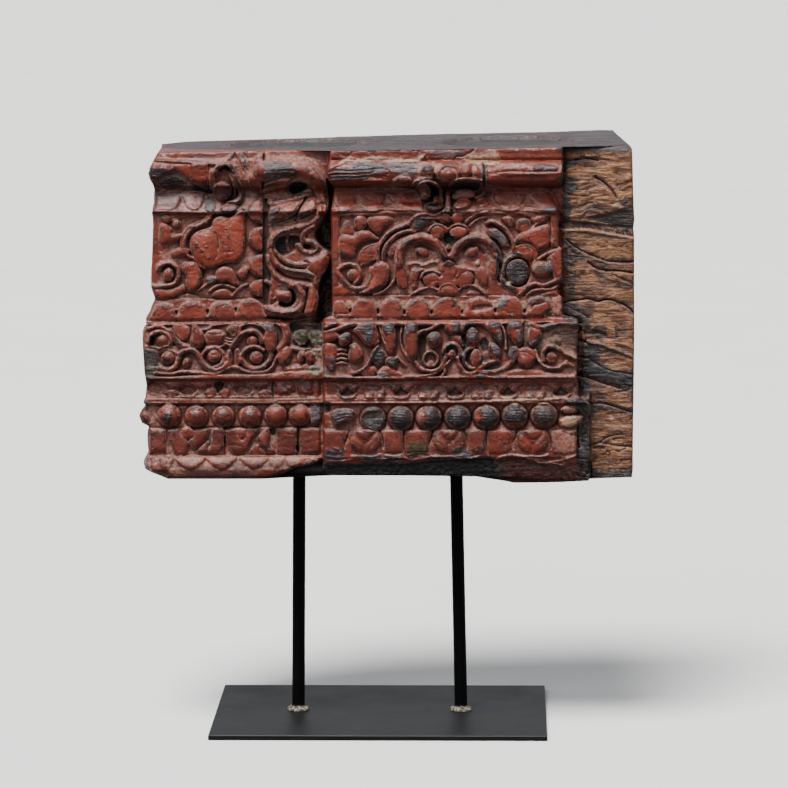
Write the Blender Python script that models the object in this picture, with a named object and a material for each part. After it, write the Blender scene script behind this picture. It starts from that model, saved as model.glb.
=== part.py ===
"""Corner fragment of a carved timber bracket, held up on a blackened steel stand.

Metres, +Z up, the carved front faces -Y, +X to the viewer's right.  The origin
is the centre of the foot plate's underside.

The block is described by its plan outline, by the profile of its courses
(fillet, roll, scalloped ledge, panel, domes, scroll band, chain band, beads,
tulips) and by the relief carved on them.  The relief is laid out on an
elevation drawing with its own units: u runs to the right, v runs down.
"""
import math

import bpy
import numpy as np

# ------------------------------------------------------------------ stand
PLATE_W, PLATE_D, PLATE_T = 0.260, 0.191, 0.004
PLATE_BEVEL = 0.0005
ROD_R = 0.005
ROD_SIDES = 24
GAP = 0.0003                      # clearance between touching pieces
WELD_R, WELD_H = 0.0088, 0.0034   # weld bead round each rod's foot
SOCKET_DEPTH = 0.022              # blind sockets in the block's underside
LEFT_FOOT, LEFT_TOP = (-0.0653, 0.0), (-0.0633, 0.0)
RIGHT_FOOT, RIGHT_TOP = (0.0631, 0.0), (0.0594, 0.0)

# ------------------------------------------------------------------ block
WALL_L = -0.061                   # panel plane of the left section (y)
WALL_R = -0.074                   # panel plane of the right section (y)
RAW_TOP, RAW_LOW = -0.068, -0.058  # uncarved timber on the right, top and foot
CORE = -0.0725                    # dark core step beside the lower courses
UNDERSIDE = 0.2045                # flat middle of the underside (z)
TOP_Z, TOP_SLOPE = 0.4515, 0.0165  # top surface: z = TOP_Z + TOP_SLOPE * x
WELL_R, WELL_DEPTH, WELL_RIM = 0.0535, 0.0026, 0.0035
WELLS = ((-0.0665, 0.0165), (0.0997, 0.0020))

# the drawing units of the two carved sections, in metres
UNIT_L, UNIT_R, UNIT_V = 0.000764, 0.000758, 0.000767
DATUM_L, DATUM_R = (233.0, -0.1099), (450.0, 0.0558)
DATUM_V = (297.0, 0.3404)
DROP_L, DROP_RAW = 0.0016, 0.0022  # the left and raw parts sit a little lower

GRID = 0.0021                     # spacing of the carved surface before it is thinned
BLOCK_TRIANGLES = 7000

MM = 0.001


def x_left(u):
    return DATUM_L[1] + (u - DATUM_L[0]) * UNIT_L


def x_right(u):
    return DATUM_R[1] + (u - DATUM_R[0]) * UNIT_R


def height(v):
    return DATUM_V[1] + (DATUM_V[0] - v) * UNIT_V


# ------------------------------------------------------------------ relief tools
def pillow(h, u, v, cu, cv, ru, rv, rise, turn=0.0):
    """A rounded boss: raises the surface to an elliptical dome."""
    a = math.radians(turn)
    du, dv = u - cu, v - cv
    p = (du * math.cos(a) + dv * math.sin(a)) / ru
    q = (-du * math.sin(a) + dv * math.cos(a)) / rv
    dome = rise * np.sqrt(np.clip(1.0 - p * p - q * q, 0.0, 1.0))
    np.maximum(h, dome, out=h)


def hollow(h, u, v, cu, cv, ru, rv, depth, turn=0.0):
    """An elliptical cut."""
    a = math.radians(turn)
    du, dv = u - cu, v - cv
    p = (du * math.cos(a) + dv * math.sin(a)) / ru
    q = (-du * math.sin(a) + dv * math.cos(a)) / rv
    h -= depth * np.clip(1.0 - p * p - q * q, 0.0, 1.0)


def ridge(h, u, v, path, width, rise):
    """A rounded rib along a path of points."""
    best = np.full(u.shape, 1e9)
    for (a0, b0), (a1, b1) in zip(path[:-1], path[1:]):
        da, db = a1 - a0, b1 - b0
        t = np.clip(((u - a0) * da + (v - b0) * db) / (da * da + db * db + 1e-9), 0.0, 1.0)
        np.minimum(best, np.hypot(u - a0 - t * da, v - b0 - t * db), out=best)
    rib = rise * np.sqrt(np.clip(1.0 - (best / width) ** 2, 0.0, 1.0))
    np.maximum(h, rib, out=h)


def arch(cu, cv, ru, rv, start, end, steps=14):
    """Points along an elliptical arc; angles in degrees, 90 is up."""
    return [(cu + ru * math.cos(math.radians(a)), cv - rv * math.sin(math.radians(a)))
            for a in np.linspace(start, end, steps)]


def spiral(cu, cv, r0, r1, start, turns, steps=20):
    """Points along a volute that winds in from r0 to r1."""
    out = []
    for k in range(steps):
        t = k / (steps - 1)
        a = math.radians(start) + 2.0 * math.pi * turns * t
        r = r0 + (r1 - r0) * t
        out.append((cu + r * math.cos(a), cv - r * math.sin(a)))
    return out


def row(first, pitch, count):
    return [first + pitch * k for k in range(count)]


# ------------------------------------------------------------------ course profiles
def course(v, *stations):
    """A profile given by pairs of drawing height and projection in mm."""
    vs = [s[0] for s in stations]
    ps = [s[1] for s in stations]
    return np.interp(v, vs, ps) * MM


def front_right(v):
    return course(v, (146, 3), (158, 3.5), (160, 1.5), (162, 6), (166, 9), (173, 11), (181, 9),
                  (186, 4), (188, -6), (192, -8.5), (203, -3.5), (209, 2.5), (211.5, 4), (213, 3),
                  (215, 0), (296, 0), (298, 1), (319, 1.5), (321, 7), (323, 9), (378, 9),
                  (380, 7), (382, 4), (395, 4), (397, 6.5), (403, 6.5), (405, 2), (428, 2),
                  (431, 3.5), (457, 3.5), (460, 1), (470, -2), (483, -6))


def front_left(v):
    return course(v, (146, 1), (158, 3), (161, 4.5), (165, 5), (180, 4), (186, 1), (190, -6),
                  (194, -6), (203, -2), (209, 3), (211.5, 4), (213, 3), (215, 0), (296, 0),
                  (299, 1), (321, 1.5), (323, 6), (325, 8), (366, 8), (368, 9), (379, 9),
                  (381, 4), (395, 4), (397, 6), (403, 6), (405, 2), (427, 2), (429, 3),
                  (455, 3), (457, 7), (464, 9.5), (470, 11), (476, 9), (480, 3))


def side_left(v):
    return course(v, (147, -5.7), (159, -0.8), (169, 2.7), (175, 3.8), (182, 2.7), (188, -0.4),
                  (205, -1.1), (225, 0.4), (275, 1.6), (298, -1.0), (318, 0), (325, 5.7),
                  (340, 8), (366, 7.2), (383, 5.7), (395, 5.7), (402, 8), (408, 3.5), (426, 3),
                  (452, 2.7), (458, 6.5), (465, 7.2), (472, 2.7), (479, -8))


def step_left(v):
    return course(v, (147, 5), (158, 5), (161, 3), (173, 4.5), (186, 2), (190, -8), (205, -2),
                  (211, 0), (318, 0), (321, 6.8), (483, 6.8))


def end_right(v):
    return course(v, (147, 0), (186, 0), (190, -9), (203, -7), (211, -4.5), (215, -2), (297, 0),
                  (318, 0), (321, 11), (330, 12), (370, 12), (382, 10), (397, 12), (430, 11),
                  (483, 11))


# ------------------------------------------------------------------ carving
PITCH_R, PITCH_L = 28.4, 26.4     # spacing of the beads on each section


def carve_right(u, v):
    """Relief of the right section, in drawing units and millimetres."""
    h = np.zeros(u.shape)
    mid = 448.5
    # rosette and leaves on the roll, at the centre line
    pillow(h, u, v, mid, 175, 8, 9, 5.5)
    pillow(h, u, v, mid - 15, 172, 7, 7, 4)
    pillow(h, u, v, mid + 17, 173, 8, 8, 4)
    pillow(h, u, v, 424.7, 191.5, 7, 9, 10)
    pillow(h, u, v, 464, 199, 12, 7, 8)
    pillow(h, u, v, 434, 205, 11, 4, 5)
    ridge(h, u, v, [(438, 184), (446, 197), (447, 212)], 5, 8)
    # scalloped ledge
    for c in (348, 372, 405, 511, 541):
        pillow(h, u, v, c, 199, 13.5, 12, 2.2)
    # panel: border, discs, double arches, heart, trefoil
    ridge(h, u, v, [(337, 215), (337, 294)], 3, 2.2)
    ridge(h, u, v, [(337, 214), (553, 214)], 2.5, 2)
    ridge(h, u, v, [(552, 214), (552, 262)], 3, 2.2)
    for side, disc, corner in ((-1, (360, 221.5), (357, 241)), (1, (524, 223.6), (537, 234))):
        pillow(h, u, v, disc[0], disc[1], 8, 8, 2.5)
        pillow(h, u, v, corner[0], corner[1], 16, 12, 2.5)
        ridge(h, u, v, arch(mid + side * 24, 256, 44, 40, 90 - side * 95, 90 + side * 12), 4, 3.6)
        ridge(h, u, v, arch(mid + side * 25, 257, 22, 21, 90 - side * 95, 90 + side * 85), 4, 4.4)
        pillow(h, u, v, mid + side * 25.5, 251.3, 7, 7, 4)
        pillow(h, u, v, mid + side * 17, 279, 9.5, 8, 3.2)
        ridge(h, u, v, [(mid + side * 46, 248), (mid + side * 47, 286)], 5, 2.8)
    pillow(h, u, v, mid, 234, 17, 9, 3)
    pillow(h, u, v, mid, 269, 7.5, 9, 4)
    pillow(h, u, v, mid, 291, 9, 6, 3)
    ridge(h, u, v, spiral(354, 274.4, 16, 7, 150, -0.9), 3.5, 3.6)
    pillow(h, u, v, 354, 274.4, 5.5, 5.5, 3)
    pillow(h, u, v, 380, 275, 8, 13, 3.6, 20)
    hollow(h, u, v, 498, 273, 7, 18, 4)
    pillow(h, u, v, 516.9, 272.3, 11.4, 12.8, 3)
    pillow(h, u, v, 540.7, 269, 11, 8, 3.4)
    ridge(h, u, v, [(500, 290), (528, 284), (560, 262)], 4, 3)
    # domes
    for c in (341, 364, 391, 419, 448, 480, 511, 539):
        pillow(h, u, v, c, 319, 13.2, 21, 2.8)
    # scroll band: volutes wound about their eyes, and leaves between them
    for cu, cv, r in ((355, 355.5, 13), (434, 340.6, 10), (430.7, 358.7, 10), (472.4, 335, 9),
                      (475.6, 356.6, 11), (523.6, 358.7, 11), (550, 356.6, 12)):
        ridge(h, u, v, arch(cu, cv, r, r, 0, 300), 3, 3.6)
        pillow(h, u, v, cu, cv, 5, 5, 3.8)
    for cu, cv, ru, rv, turn in ((368, 337, 6, 10, 30), (389, 341, 6, 15, 0), (410, 342, 6, 20, 5),
                                 (457, 335, 6, 13, 0), (496, 342, 6, 20, -5), (514, 336, 7, 14, 20),
                                 (538, 333, 10, 7, 0), (334, 338, 7, 12, 0), (566, 345, 8, 18, 0)):
        pillow(h, u, v, cu, cv, ru, rv, 4, turn)
    wave = [(c, 371 + 4 * math.sin((c - 323) / 17.0)) for c in np.linspace(326, 572, 40)]
    ridge(h, u, v, wave, 4, 3)
    # chain band: lens shaped cuts
    for c in row(347, 27, 9):
        hollow(h, u, v, c, 391, 10, 6, 2.6)
    # beads
    for k, c in enumerate((346.3, 373, 400.8, 429.6, 457.4, 486.2, 515, 544)):
        pillow(h, u, v, c, 417, 12.9 if k else 15.0, 12.8, 9.0 if k != 1 else 6.5)
    pillow(h, u, v, 566, 413, 9, 13, 5)
    # tulips and blocks
    for c in (365, 449, 532):
        ridge(h, u, v, arch(c, 436, 14, 20, 180, 360), 4, 3)
        pillow(h, u, v, c, 435, 6, 7, 2.6)
    for c in (404, 486):
        hollow(h, u, v, c, 446, 2.2, 16, 4)
    return h


def carve_left(u, v):
    """Relief of the left section, in drawing units and millimetres."""
    h = np.zeros(u.shape)
    # worn upper courses: broken end of the roll, roundel, half discs
    hollow(h, u, v, 166, 173, 18, 6, 4)
    hollow(h, u, v, 184, 182, 28, 9, 3)
    for c in (169, 193):
        pillow(h, u, v, c, 200, 12, 11, 2.6)
    pillow(h, u, v, 222, 191, 11, 11, 7)
    ridge(h, u, v, [(216, 172), (228, 164), (239, 182), (241, 204)], 4.5, 7.5)
    for c in (161, 181, 209, 238, 265, 288):
        pillow(h, u, v, 253, c, 11, 13, 4.6)
    # panel: leaves, double arch and volute
    pillow(h, u, v, 165, 218, 6, 4.5, 2.4)
    pillow(h, u, v, 176, 223, 6, 5.5, 2.6)
    pillow(h, u, v, 171, 234, 9, 13, 2.8, -25)
    ridge(h, u, v, arch(226, 257, 42, 41, 172, 75), 4.5, 4.6)
    pillow(h, u, v, 214, 243, 26, 20, 4.4, -30)
    ridge(h, u, v, spiral(169.5, 273.3, 17, 8, 120, -0.9), 4, 4)
    pillow(h, u, v, 169.5, 273.3, 6, 6, 4)
    pillow(h, u, v, 192, 274, 9, 18, 4.2, 15)
    pillow(h, u, v, 226, 275, 12, 8, 3)
    pillow(h, u, v, 222, 291, 15, 5, 2.6)
    # domes
    for c in (165, 191.5, 221.5, 251):
        pillow(h, u, v, c, 321, 13, 22, 2.8)
    # scroll band
    for cu, cv, r in ((163, 340, 11), (167.7, 357.6, 11), (213, 356, 11), (254, 341, 9),
                      (256.8, 357.6, 11)):
        ridge(h, u, v, arch(cu, cv, r, r, 20, 310), 3, 3.6)
        pillow(h, u, v, cu, cv, 5, 5, 3.8)
    for cu, cv, ru, rv, turn in ((180, 336, 6, 13, 30), (196, 337, 6, 12, 0), (216, 339, 8, 9, 0),
                                 (233, 331, 7, 8, 0), (270, 341, 6, 15, 10), (284, 336, 6, 14, 0),
                                 (295, 357, 13, 7, 0)):
        pillow(h, u, v, cu, cv, ru, rv, 4, turn)
    ridge(h, u, v, [(c, 373 + 3 * math.sin((c - 150) / 15.0)) for c in np.linspace(150, 285, 24)],
          4, 2.4)
    # chain, beads, tulips, hanging petals
    for c in row(165, 26.5, 5):
        hollow(h, u, v, c, 391, 10, 6, 2.4)
    for c in (169.8, 196.5, 223.9, 248.9, 275.6):
        pillow(h, u, v, c, 416, 12.2, 11.9, 9)
    pillow(h, u, v, 303, 415, 16, 11, 7)
    for c in (178, 239, 268):
        ridge(h, u, v, arch(c, 434, 12, 18, 180, 360), 4, 2.6)
        pillow(h, u, v, c, 434, 6, 6.5, 2.4)
    for c in (190, 223, 256):
        pillow(h, u, v, c, 460, 13, 10, 2.4)
    # curled leaf in high relief, hanging down beside the recess
    ridge(h, u, v, [(270, 171), (292, 165), (312, 170), (323, 184), (324, 206), (317, 228)], 11, 14)
    pillow(h, u, v, 283, 214, 14, 12, 12, -20)
    pillow(h, u, v, 309, 210, 11, 13, 12)
    pillow(h, u, v, 291, 236, 24, 9, 11, -15)
    ridge(h, u, v, [(276, 246), (284, 262), (300, 266), (312, 258)], 9, 10)
    pillow(h, u, v, 296, 276, 19, 9, 10, -15)
    ridge(h, u, v, arch(286, 297, 18, 15, 60, 300), 5, 11)
    pillow(h, u, v, 281, 297, 9, 7, 9)
    pillow(h, u, v, 312, 301, 8, 15, 12)
    hollow(h, u, v, 299, 189, 6, 5, 9)
    # deep recess against the right section
    down = 1.0 / (1.0 + np.exp(-(u - 322) / 2.2))
    span = np.clip((v - 158) / 6.0, 0, 1) * np.clip((384 - v) / 6.0, 0, 1)
    h -= 15 * down * span
    pit = np.clip(1 - ((u - 309) / 19.0) ** 2, 0, 1) * np.clip(1 - ((v - 344) / 30.0) ** 2, 0, 1)
    h -= 9 * pit
    return h


def carve_side(w, v):
    """Relief of the left return; w is the distance from the front corner in drawing units."""
    h = np.zeros(w.shape)
    for c in row(14, 27, 4):
        pillow(h, w, v, c, 199, 12, 11, 2.2)
        pillow(h, w, v, c, 321, 13, 22, 2.6)
        pillow(h, w, v, c, 416, 12.4, 12, 8)
        hollow(h, w, v, c + 13, 391, 9, 6, 2.2)
    ridge(h, w, v, arch(46, 268, 34, 40, 10, 170), 4.5, 3.8)
    ridge(h, w, v, spiral(46, 268, 20, 8, 200, -1.0), 4, 3.6)
    pillow(h, w, v, 46, 268, 7, 7, 3.8)
    for c in (24, 66):
        ridge(h, w, v, arch(c, 350, 13, 13, 0, 300), 3, 3.4)
        pillow(h, w, v, c, 350, 5, 5, 3.4)
        pillow(h, w, v, c + 19, 342, 6, 15, 3.4)
        ridge(h, w, v, arch(c, 434, 12, 18, 180, 360), 4, 2.4)
    return h


# ------------------------------------------------------------------ block surface
def foot_line(u):
    """Drawing height of the ragged lower edge along the front."""
    return np.interp(u, (150, 165, 270, 300, 322, 323, 395, 463, 494, 507, 524, 588, 589.5, 633),
                     (474, 478.5, 478.5, 472, 468, 475.5, 475.5, 476, 478, 482.5, 482.5, 480.5,
                      477, 477))


def block_rings():
    """Closed rings of points from the foot to the top, as an array (rows, columns, 3)."""
    rows = int(0.253 / GRID)
    vs = np.linspace(478.0, 148.0, rows)

    def span(a, b, n):
        return np.linspace(a, b, n, endpoint=False)

    fl, fr, sl = front_left(vs), front_right(vs), side_left(vs)
    st, en = step_left(vs), end_right(vs)
    corner_b = np.stack([x_left(153.5) - sl, WALL_L - fl], 1)
    raw_y = np.interp(vs, (148, 478), (RAW_TOP, RAW_LOW))
    edge_d = np.stack([x_right(332) - st, WALL_R - fr], 1)
    edge_e = np.stack([x_right(562) + en, WALL_R - fr], 1)
    low = np.clip((vs - 384) / 14.0, 0, 1)
    core_y = (raw_y - 0.0025) * (1 - low) + CORE * low
    core_x = edge_e[:, 0] + 0.0025 * (1 - low) + (x_right(589.5) - edge_e[:, 0]) * low
    back = [(0.1950, None), (0.1885, 0.024), (0.1854, 0.106), (0.172, 0.114), (0.142, 0.103),
            (0.110, 0.098), (0.050, 0.100), (-0.005, 0.095), (-0.031, 0.090), (-0.070, 0.072),
            (-0.123, 0.060), (-0.154, 0.056), (-0.1716, 0.032)]

    cols = []
    # left return, from the back to the front corner
    n = int(0.093 / GRID)
    a = np.repeat([back[-1]], len(vs), 0)
    for t in span(0, 1, n):
        c = a + (corner_b - a) * t
        w = (c[:, 1] - corner_b[:, 1]) / 0.00076
        blend = min(1.0, t * 6.0)
        x = a[:, 0] + (corner_b[:, 0] - a[:, 0]) * blend
        h = carve_side(w, vs) * MM * np.clip(w / 3.0, 0, 1) * blend
        cols.append((np.stack([x - h, c[:, 1]], 1), np.full(len(vs), DROP_L), np.full(len(vs), 153.0)))
    # left section
    n = int(0.131 / GRID)
    end = np.stack([edge_d[:, 0], corner_b[:, 1]], 1)
    last = None
    for t in np.linspace(0, 1, n):
        c = corner_b + (end - corner_b) * t
        u = (c[:, 0] - DATUM_L[1]) / UNIT_L + DATUM_L[0]
        h = carve_left(u, vs) * MM * np.clip(t * n / 2.0, 0, 1)
        item = (np.stack([c[:, 0], c[:, 1] - h], 1), np.full(len(vs), DROP_L), u)
        if t < 1:
            cols.append(item)
        last = item[0]
    # wall of the step up to the right section
    for t in span(0, 1, 5):
        c = last + (edge_d - last) * t
        cols.append((c, np.full(len(vs), DROP_L * (1 - t)), np.full(len(vs), 322.0 + t)))
    # right section
    n = int(0.180 / GRID)
    for t in span(0, 1, n):
        c = edge_d + (edge_e - edge_d) * t
        u = (c[:, 0] - DATUM_R[1]) / UNIT_R + DATUM_R[0]
        h = carve_right(u, vs) * MM * np.clip(min(t, 1 - t) * n / 1.5, 0, 1)
        cols.append((np.stack([c[:, 0], c[:, 1] - h], 1), np.zeros(len(vs)), u))
    # right end of the carving, core step, raw timber
    p = [edge_e,
         np.stack([edge_e[:, 0], core_y], 1),
         np.stack([core_x, core_y + 0.0004], 1),
         np.stack([core_x, raw_y], 1),
         np.stack([np.full(len(vs), back[0][0]), raw_y], 1)]
    for k, m in enumerate((4, 3, 4, 16)):
        for t in span(0, 1, m):
            c = p[k] + (p[k + 1] - p[k]) * t
            u = (c[:, 0] - DATUM_R[1]) / UNIT_R + DATUM_R[0]
            if k == 3 and t > 0:
                h = np.zeros(len(vs))
                hollow(h, u, vs + 0.10 * (u - 600), 600, 229, 60, 5, 2.6)
                hollow(h, u, vs - 0.55 * (u - 600), 600, 257, 34, 3.5, 2.0)
                hollow(h, u, vs, 600, 378, 60, 8, 2.2)
                hollow(h, u, vs, 600, 442, 60, 4, 1.8)
                c = c + np.stack([np.zeros(len(vs)), -h * MM], 1)
            cols.append((c, np.full(len(vs), DROP_RAW * min(1.0, k / 3.0)), u))
    # right side and back, sawn and split
    pts = [(back[0][0], None)] + list(back[1:])
    for k in range(len(pts) - 1):
        q0 = np.stack([np.full(len(vs), pts[k][0]),
                       raw_y if pts[k][1] is None else np.full(len(vs), pts[k][1])], 1)
        q1 = np.repeat([pts[k + 1]], len(vs), 0)
        m = max(1, int(np.hypot(*(q1[0] - q0[0])) / 0.012))
        for t in span(0, 1, m):
            c = q0 + (q1 - q0) * t
            wob = 0.0009 * np.sin(vs / 17.0 + 31.0 * c[:, 0]) * (0 if k == 0 and t == 0 else 1)
            cols.append((c + np.stack([wob, wob], 1), np.full(len(vs), DROP_RAW),
                         np.full(len(vs), 633.0)))
    grid = np.empty((len(vs), len(cols), 3))
    for j, (xy, drop, u) in enumerate(cols):
        z = height(vs) - drop
        top = TOP_Z + TOP_SLOPE * xy[:, 0]
        k = np.clip((168 - vs) / (168 - vs[-1]), 0, 1)
        z = z + k * (top - (height(vs[-1]) - drop))
        foot = height(foot_line(np.array([u[0]])))[0] - drop[0]
        k = np.clip((vs - 456) / (vs[0] - 456), 0, 1)
        z = z + k * (foot - (height(vs[0]) - drop))
        grid[:, j, :2] = xy
        grid[:, j, 2] = z
    return grid


def inset_ring(ring, amount, z):
    """The ring drawn in towards the middle line of the plan, at one height."""
    sx = np.clip(ring[:, 0], -0.10, 0.14)
    sy = np.full(len(ring), 0.008)
    out = ring.copy()
    out[:, 0] += (sx - ring[:, 0]) * amount
    out[:, 1] += (sy - ring[:, 1]) * amount
    out[:, 2] = z
    return out


# ------------------------------------------------------------------ scene helpers
def clear_scene():
    for ob in list(bpy.data.objects):
        bpy.data.objects.remove(ob, do_unlink=True)


def material(name, color, roughness, metallic=0.0):
    mat = bpy.data.materials.new(name)
    mat.use_nodes = True
    shader = mat.node_tree.nodes["Principled BSDF"]
    shader.inputs["Base Color"].default_value = (*color, 1.0)
    shader.inputs["Roughness"].default_value = roughness
    shader.inputs["Metallic"].default_value = metallic
    mat.diffuse_color = (*color, 1.0)
    return mat


def mesh_object(name, verts, faces, mat):
    me = bpy.data.meshes.new(name)
    me.from_pydata([tuple(map(float, p)) for p in verts], [], faces)
    me.validate()
    me.materials.append(mat)
    ob = bpy.data.objects.new(name, me)
    bpy.context.scene.collection.objects.link(ob)
    return ob


def turned(name, stations, centre_line, mat, sides=ROD_SIDES):
    """A round solid from (radius, z) stations, with its axis on a leaning line."""
    verts, faces = [], []
    for r, z in stations:
        cx, cy = centre_line(z)
        for k in range(sides):
            a = 2 * math.pi * k / sides
            verts.append((cx + r * math.cos(a), cy + r * math.sin(a), z))
    for i in range(len(stations) - 1):
        for k in range(sides):
            m = (k + 1) % sides
            faces.append((i * sides + k, i * sides + m, (i + 1) * sides + m, (i + 1) * sides + k))
    faces.append(tuple(range(sides - 1, -1, -1)))
    faces.append(tuple(range((len(stations) - 1) * sides, len(stations) * sides)))
    return mesh_object(name, verts, faces, mat)


def lean(foot, top):
    def line(z):
        t = (z - PLATE_T) / (UNDERSIDE - PLATE_T)
        return foot[0] + (top[0] - foot[0]) * t, foot[1] + (top[1] - foot[1]) * t
    return line


def cut(ob, cutter):
    cutter.hide_render = True
    cutter.display_type = 'WIRE'
    mod = ob.modifiers.new("cut_" + cutter.name, 'BOOLEAN')
    mod.operation = 'DIFFERENCE'
    mod.object = cutter


# ------------------------------------------------------------------ pieces
def make_block():
    grid = block_rings()
    rows, cols, _ = grid.shape
    low = inset_ring(grid[0], 0.10, UNDERSIDE)
    verts = list(low) + list(grid.reshape(-1, 3))
    faces = []

    def at(r, c):
        return r * cols + c % cols

    for r in range(rows):
        for c in range(cols):
            faces.append((at(r, c), at(r, c + 1), at(r + 1, c + 1), at(r + 1, c)))
    faces.append(tuple(range(cols - 1, -1, -1)))
    faces.append(tuple(range(rows * cols, (rows + 1) * cols)))
    wood = material("carved_timber", (0.20, 0.050, 0.032), 0.62)
    ob = mesh_object("carved_block", verts, faces, wood)
    thin = ob.modifiers.new("thin", 'DECIMATE')
    thin.decimate_type = 'COLLAPSE'
    thin.use_collapse_triangulate = True
    thin.ratio = BLOCK_TRIANGLES / (2.0 * rows * cols + 2 * cols)
    for k, (cx, cy) in enumerate(WELLS):
        z = TOP_Z + TOP_SLOPE * cx
        floor = z - WELL_DEPTH
        steps = [(WELL_R - WELL_RIM, floor), (WELL_R, z - 0.0004), (WELL_R + 0.0004, z + 0.004)]
        cutter = turned("well_cutter_%d" % (k + 1), steps, lambda zz, p=(cx, cy): p, wood, 48)
        for vert in cutter.data.vertices:
            vert.co.z += TOP_SLOPE * (vert.co.x - cx)
        cut(ob, cutter)
    for name, foot, top in (("left", LEFT_FOOT, LEFT_TOP), ("right", RIGHT_FOOT, RIGHT_TOP)):
        r = ROD_R + GAP
        steps = [(r, UNDERSIDE - 0.012), (r, UNDERSIDE + SOCKET_DEPTH)]
        cut(ob, turned(name + "_socket_cutter", steps, lean(foot, top), wood))
    return ob


def make_plate():
    steel = material("blackened_plate", (0.030, 0.031, 0.033), 0.42, 0.6)
    hx, hy, b = PLATE_W / 2, PLATE_D / 2, PLATE_BEVEL
    verts, faces = [], []
    for inset, z in ((b, 0.0), (0.0, b), (0.0, PLATE_T - b), (b, PLATE_T)):
        x, y = hx - inset, hy - inset
        verts += [(-x, -y, z), (x, -y, z), (x, y, z), (-x, y, z)]
    for r in range(3):
        for c in range(4):
            m = (c + 1) % 4
            faces.append((4 * r + c, 4 * r + m, 4 * r + 4 + m, 4 * r + 4 + c))
    faces.append((3, 2, 1, 0))
    faces.append((12, 13, 14, 15))
    return mesh_object("base_plate", verts, faces, steel)


def make_rod(name, foot, top):
    steel = material(name + "_steel", (0.018, 0.018, 0.020), 0.45, 0.5)
    z0 = PLATE_T + GAP
    stations = [(WELD_R, z0), (WELD_R * 0.97, z0 + WELD_H * 0.35),
                (WELD_R * 0.80, z0 + WELD_H * 0.75), (ROD_R + 0.0004, z0 + WELD_H),
                (ROD_R, z0 + WELD_H * 1.35), (ROD_R, UNDERSIDE + SOCKET_DEPTH - GAP)]
    ob = turned(name, stations, lean(foot, top), steel)
    ob.data.shade_smooth()
    ob.data.set_sharp_from_angle(angle=math.radians(40))
    return ob


clear_scene()
make_block()
make_plate()
make_rod("left_rod", LEFT_FOOT, LEFT_TOP)
make_rod("right_rod", RIGHT_FOOT, RIGHT_TOP)
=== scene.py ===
import bpy
import math
import numpy as np
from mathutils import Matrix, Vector
from mathutils.geometry import delaunay_2d_cdt


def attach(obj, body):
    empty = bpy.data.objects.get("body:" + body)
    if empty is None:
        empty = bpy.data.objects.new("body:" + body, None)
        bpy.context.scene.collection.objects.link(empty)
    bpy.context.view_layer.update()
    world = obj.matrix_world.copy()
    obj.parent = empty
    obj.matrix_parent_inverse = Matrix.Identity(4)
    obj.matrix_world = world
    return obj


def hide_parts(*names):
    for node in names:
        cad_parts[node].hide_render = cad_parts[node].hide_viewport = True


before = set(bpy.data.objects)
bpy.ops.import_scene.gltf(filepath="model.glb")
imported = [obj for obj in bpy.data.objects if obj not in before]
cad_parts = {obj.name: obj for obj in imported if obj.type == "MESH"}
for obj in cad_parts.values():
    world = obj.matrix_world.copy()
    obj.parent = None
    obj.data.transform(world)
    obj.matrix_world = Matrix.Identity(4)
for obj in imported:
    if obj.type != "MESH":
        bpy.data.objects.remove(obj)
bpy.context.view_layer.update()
MM = 0.001
# ------------------------------------------------------------------ drawing board for the carving
# The carving is drawn with strokes in picture units (u to the right, v down) on a height canvas in
# millimetres: flat-topped bosses, ribs, gouge cuts, domes.  Tints mark paint, bare wood, dust, moss, and in places
# painted shade and painted highlight.
def smooth(pts, closed=False, n=5):
    """Catmull-Rom points through a rough outline."""
    p = np.asarray(pts, float)
    if len(p) < 3:
        return p
    m = len(p)
    out = []
    t = np.linspace(0, 1, n, endpoint=False)[:, None]
    for i in range(m if closed else m - 1):
        a, b, c, d = (p[(i - 1) % m], p[i], p[(i + 1) % m], p[(i + 2) % m]) if closed else \
            (p[max(i - 1, 0)], p[i], p[i + 1], p[min(i + 2, m - 1)])
        out.append(0.5 * (2 * b + (c - a) * t + (2 * a - 5 * b + 4 * c - d) * t ** 2
                          + (3 * b - a - 3 * c + d) * t ** 3))
    out = np.concatenate(out)
    return out if closed else np.vstack([out, p[-1]])


def sstep(x):
    x = np.clip(x, 0.0, 1.0)
    return x * x * (3 - 2 * x)


def lattice(seed, n=257):
    return np.random.RandomState(seed).rand(n, n).astype(np.float32)


_LAT = {}


def noise(x, y, seed=1):
    """Smooth value noise between -1 and 1, one cell per unit."""
    if seed not in _LAT:
        _LAT[seed] = lattice(seed)
    g = _LAT[seed]
    xi, yi = np.floor(x).astype(int), np.floor(y).astype(int)
    fx, fy = x - xi, y - yi
    fx, fy = fx * fx * (3 - 2 * fx), fy * fy * (3 - 2 * fy)
    x0, x1, y0, y1 = xi % 257, (xi + 1) % 257, yi % 257, (yi + 1) % 257
    a = g[y0, x0] * (1 - fx) + g[y0, x1] * fx
    b = g[y1, x0] * (1 - fx) + g[y1, x1] * fx
    return (a * (1 - fy) + b * fy) * 2 - 1


def fbm(x, y, seed=1, octaves=3):
    out, amp = 0.0, 1.0
    for k in range(octaves):
        out = out + amp * noise(x * 2 ** k + 7.3 * k, y * 2 ** k - 3.1 * k, seed + k)
        amp *= 0.5
    return out / (2 - 0.5 ** (octaves - 1))


def ell(cu, cv, ru, rv, turn=0.0, n=20):
    a = np.linspace(0, 2 * np.pi, n, endpoint=False)
    t = math.radians(turn)
    x, y = ru * np.cos(a), rv * np.sin(a)
    return np.stack([cu + x * math.cos(t) - y * math.sin(t), cv + x * math.sin(t) + y * math.cos(t)], 1)


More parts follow.
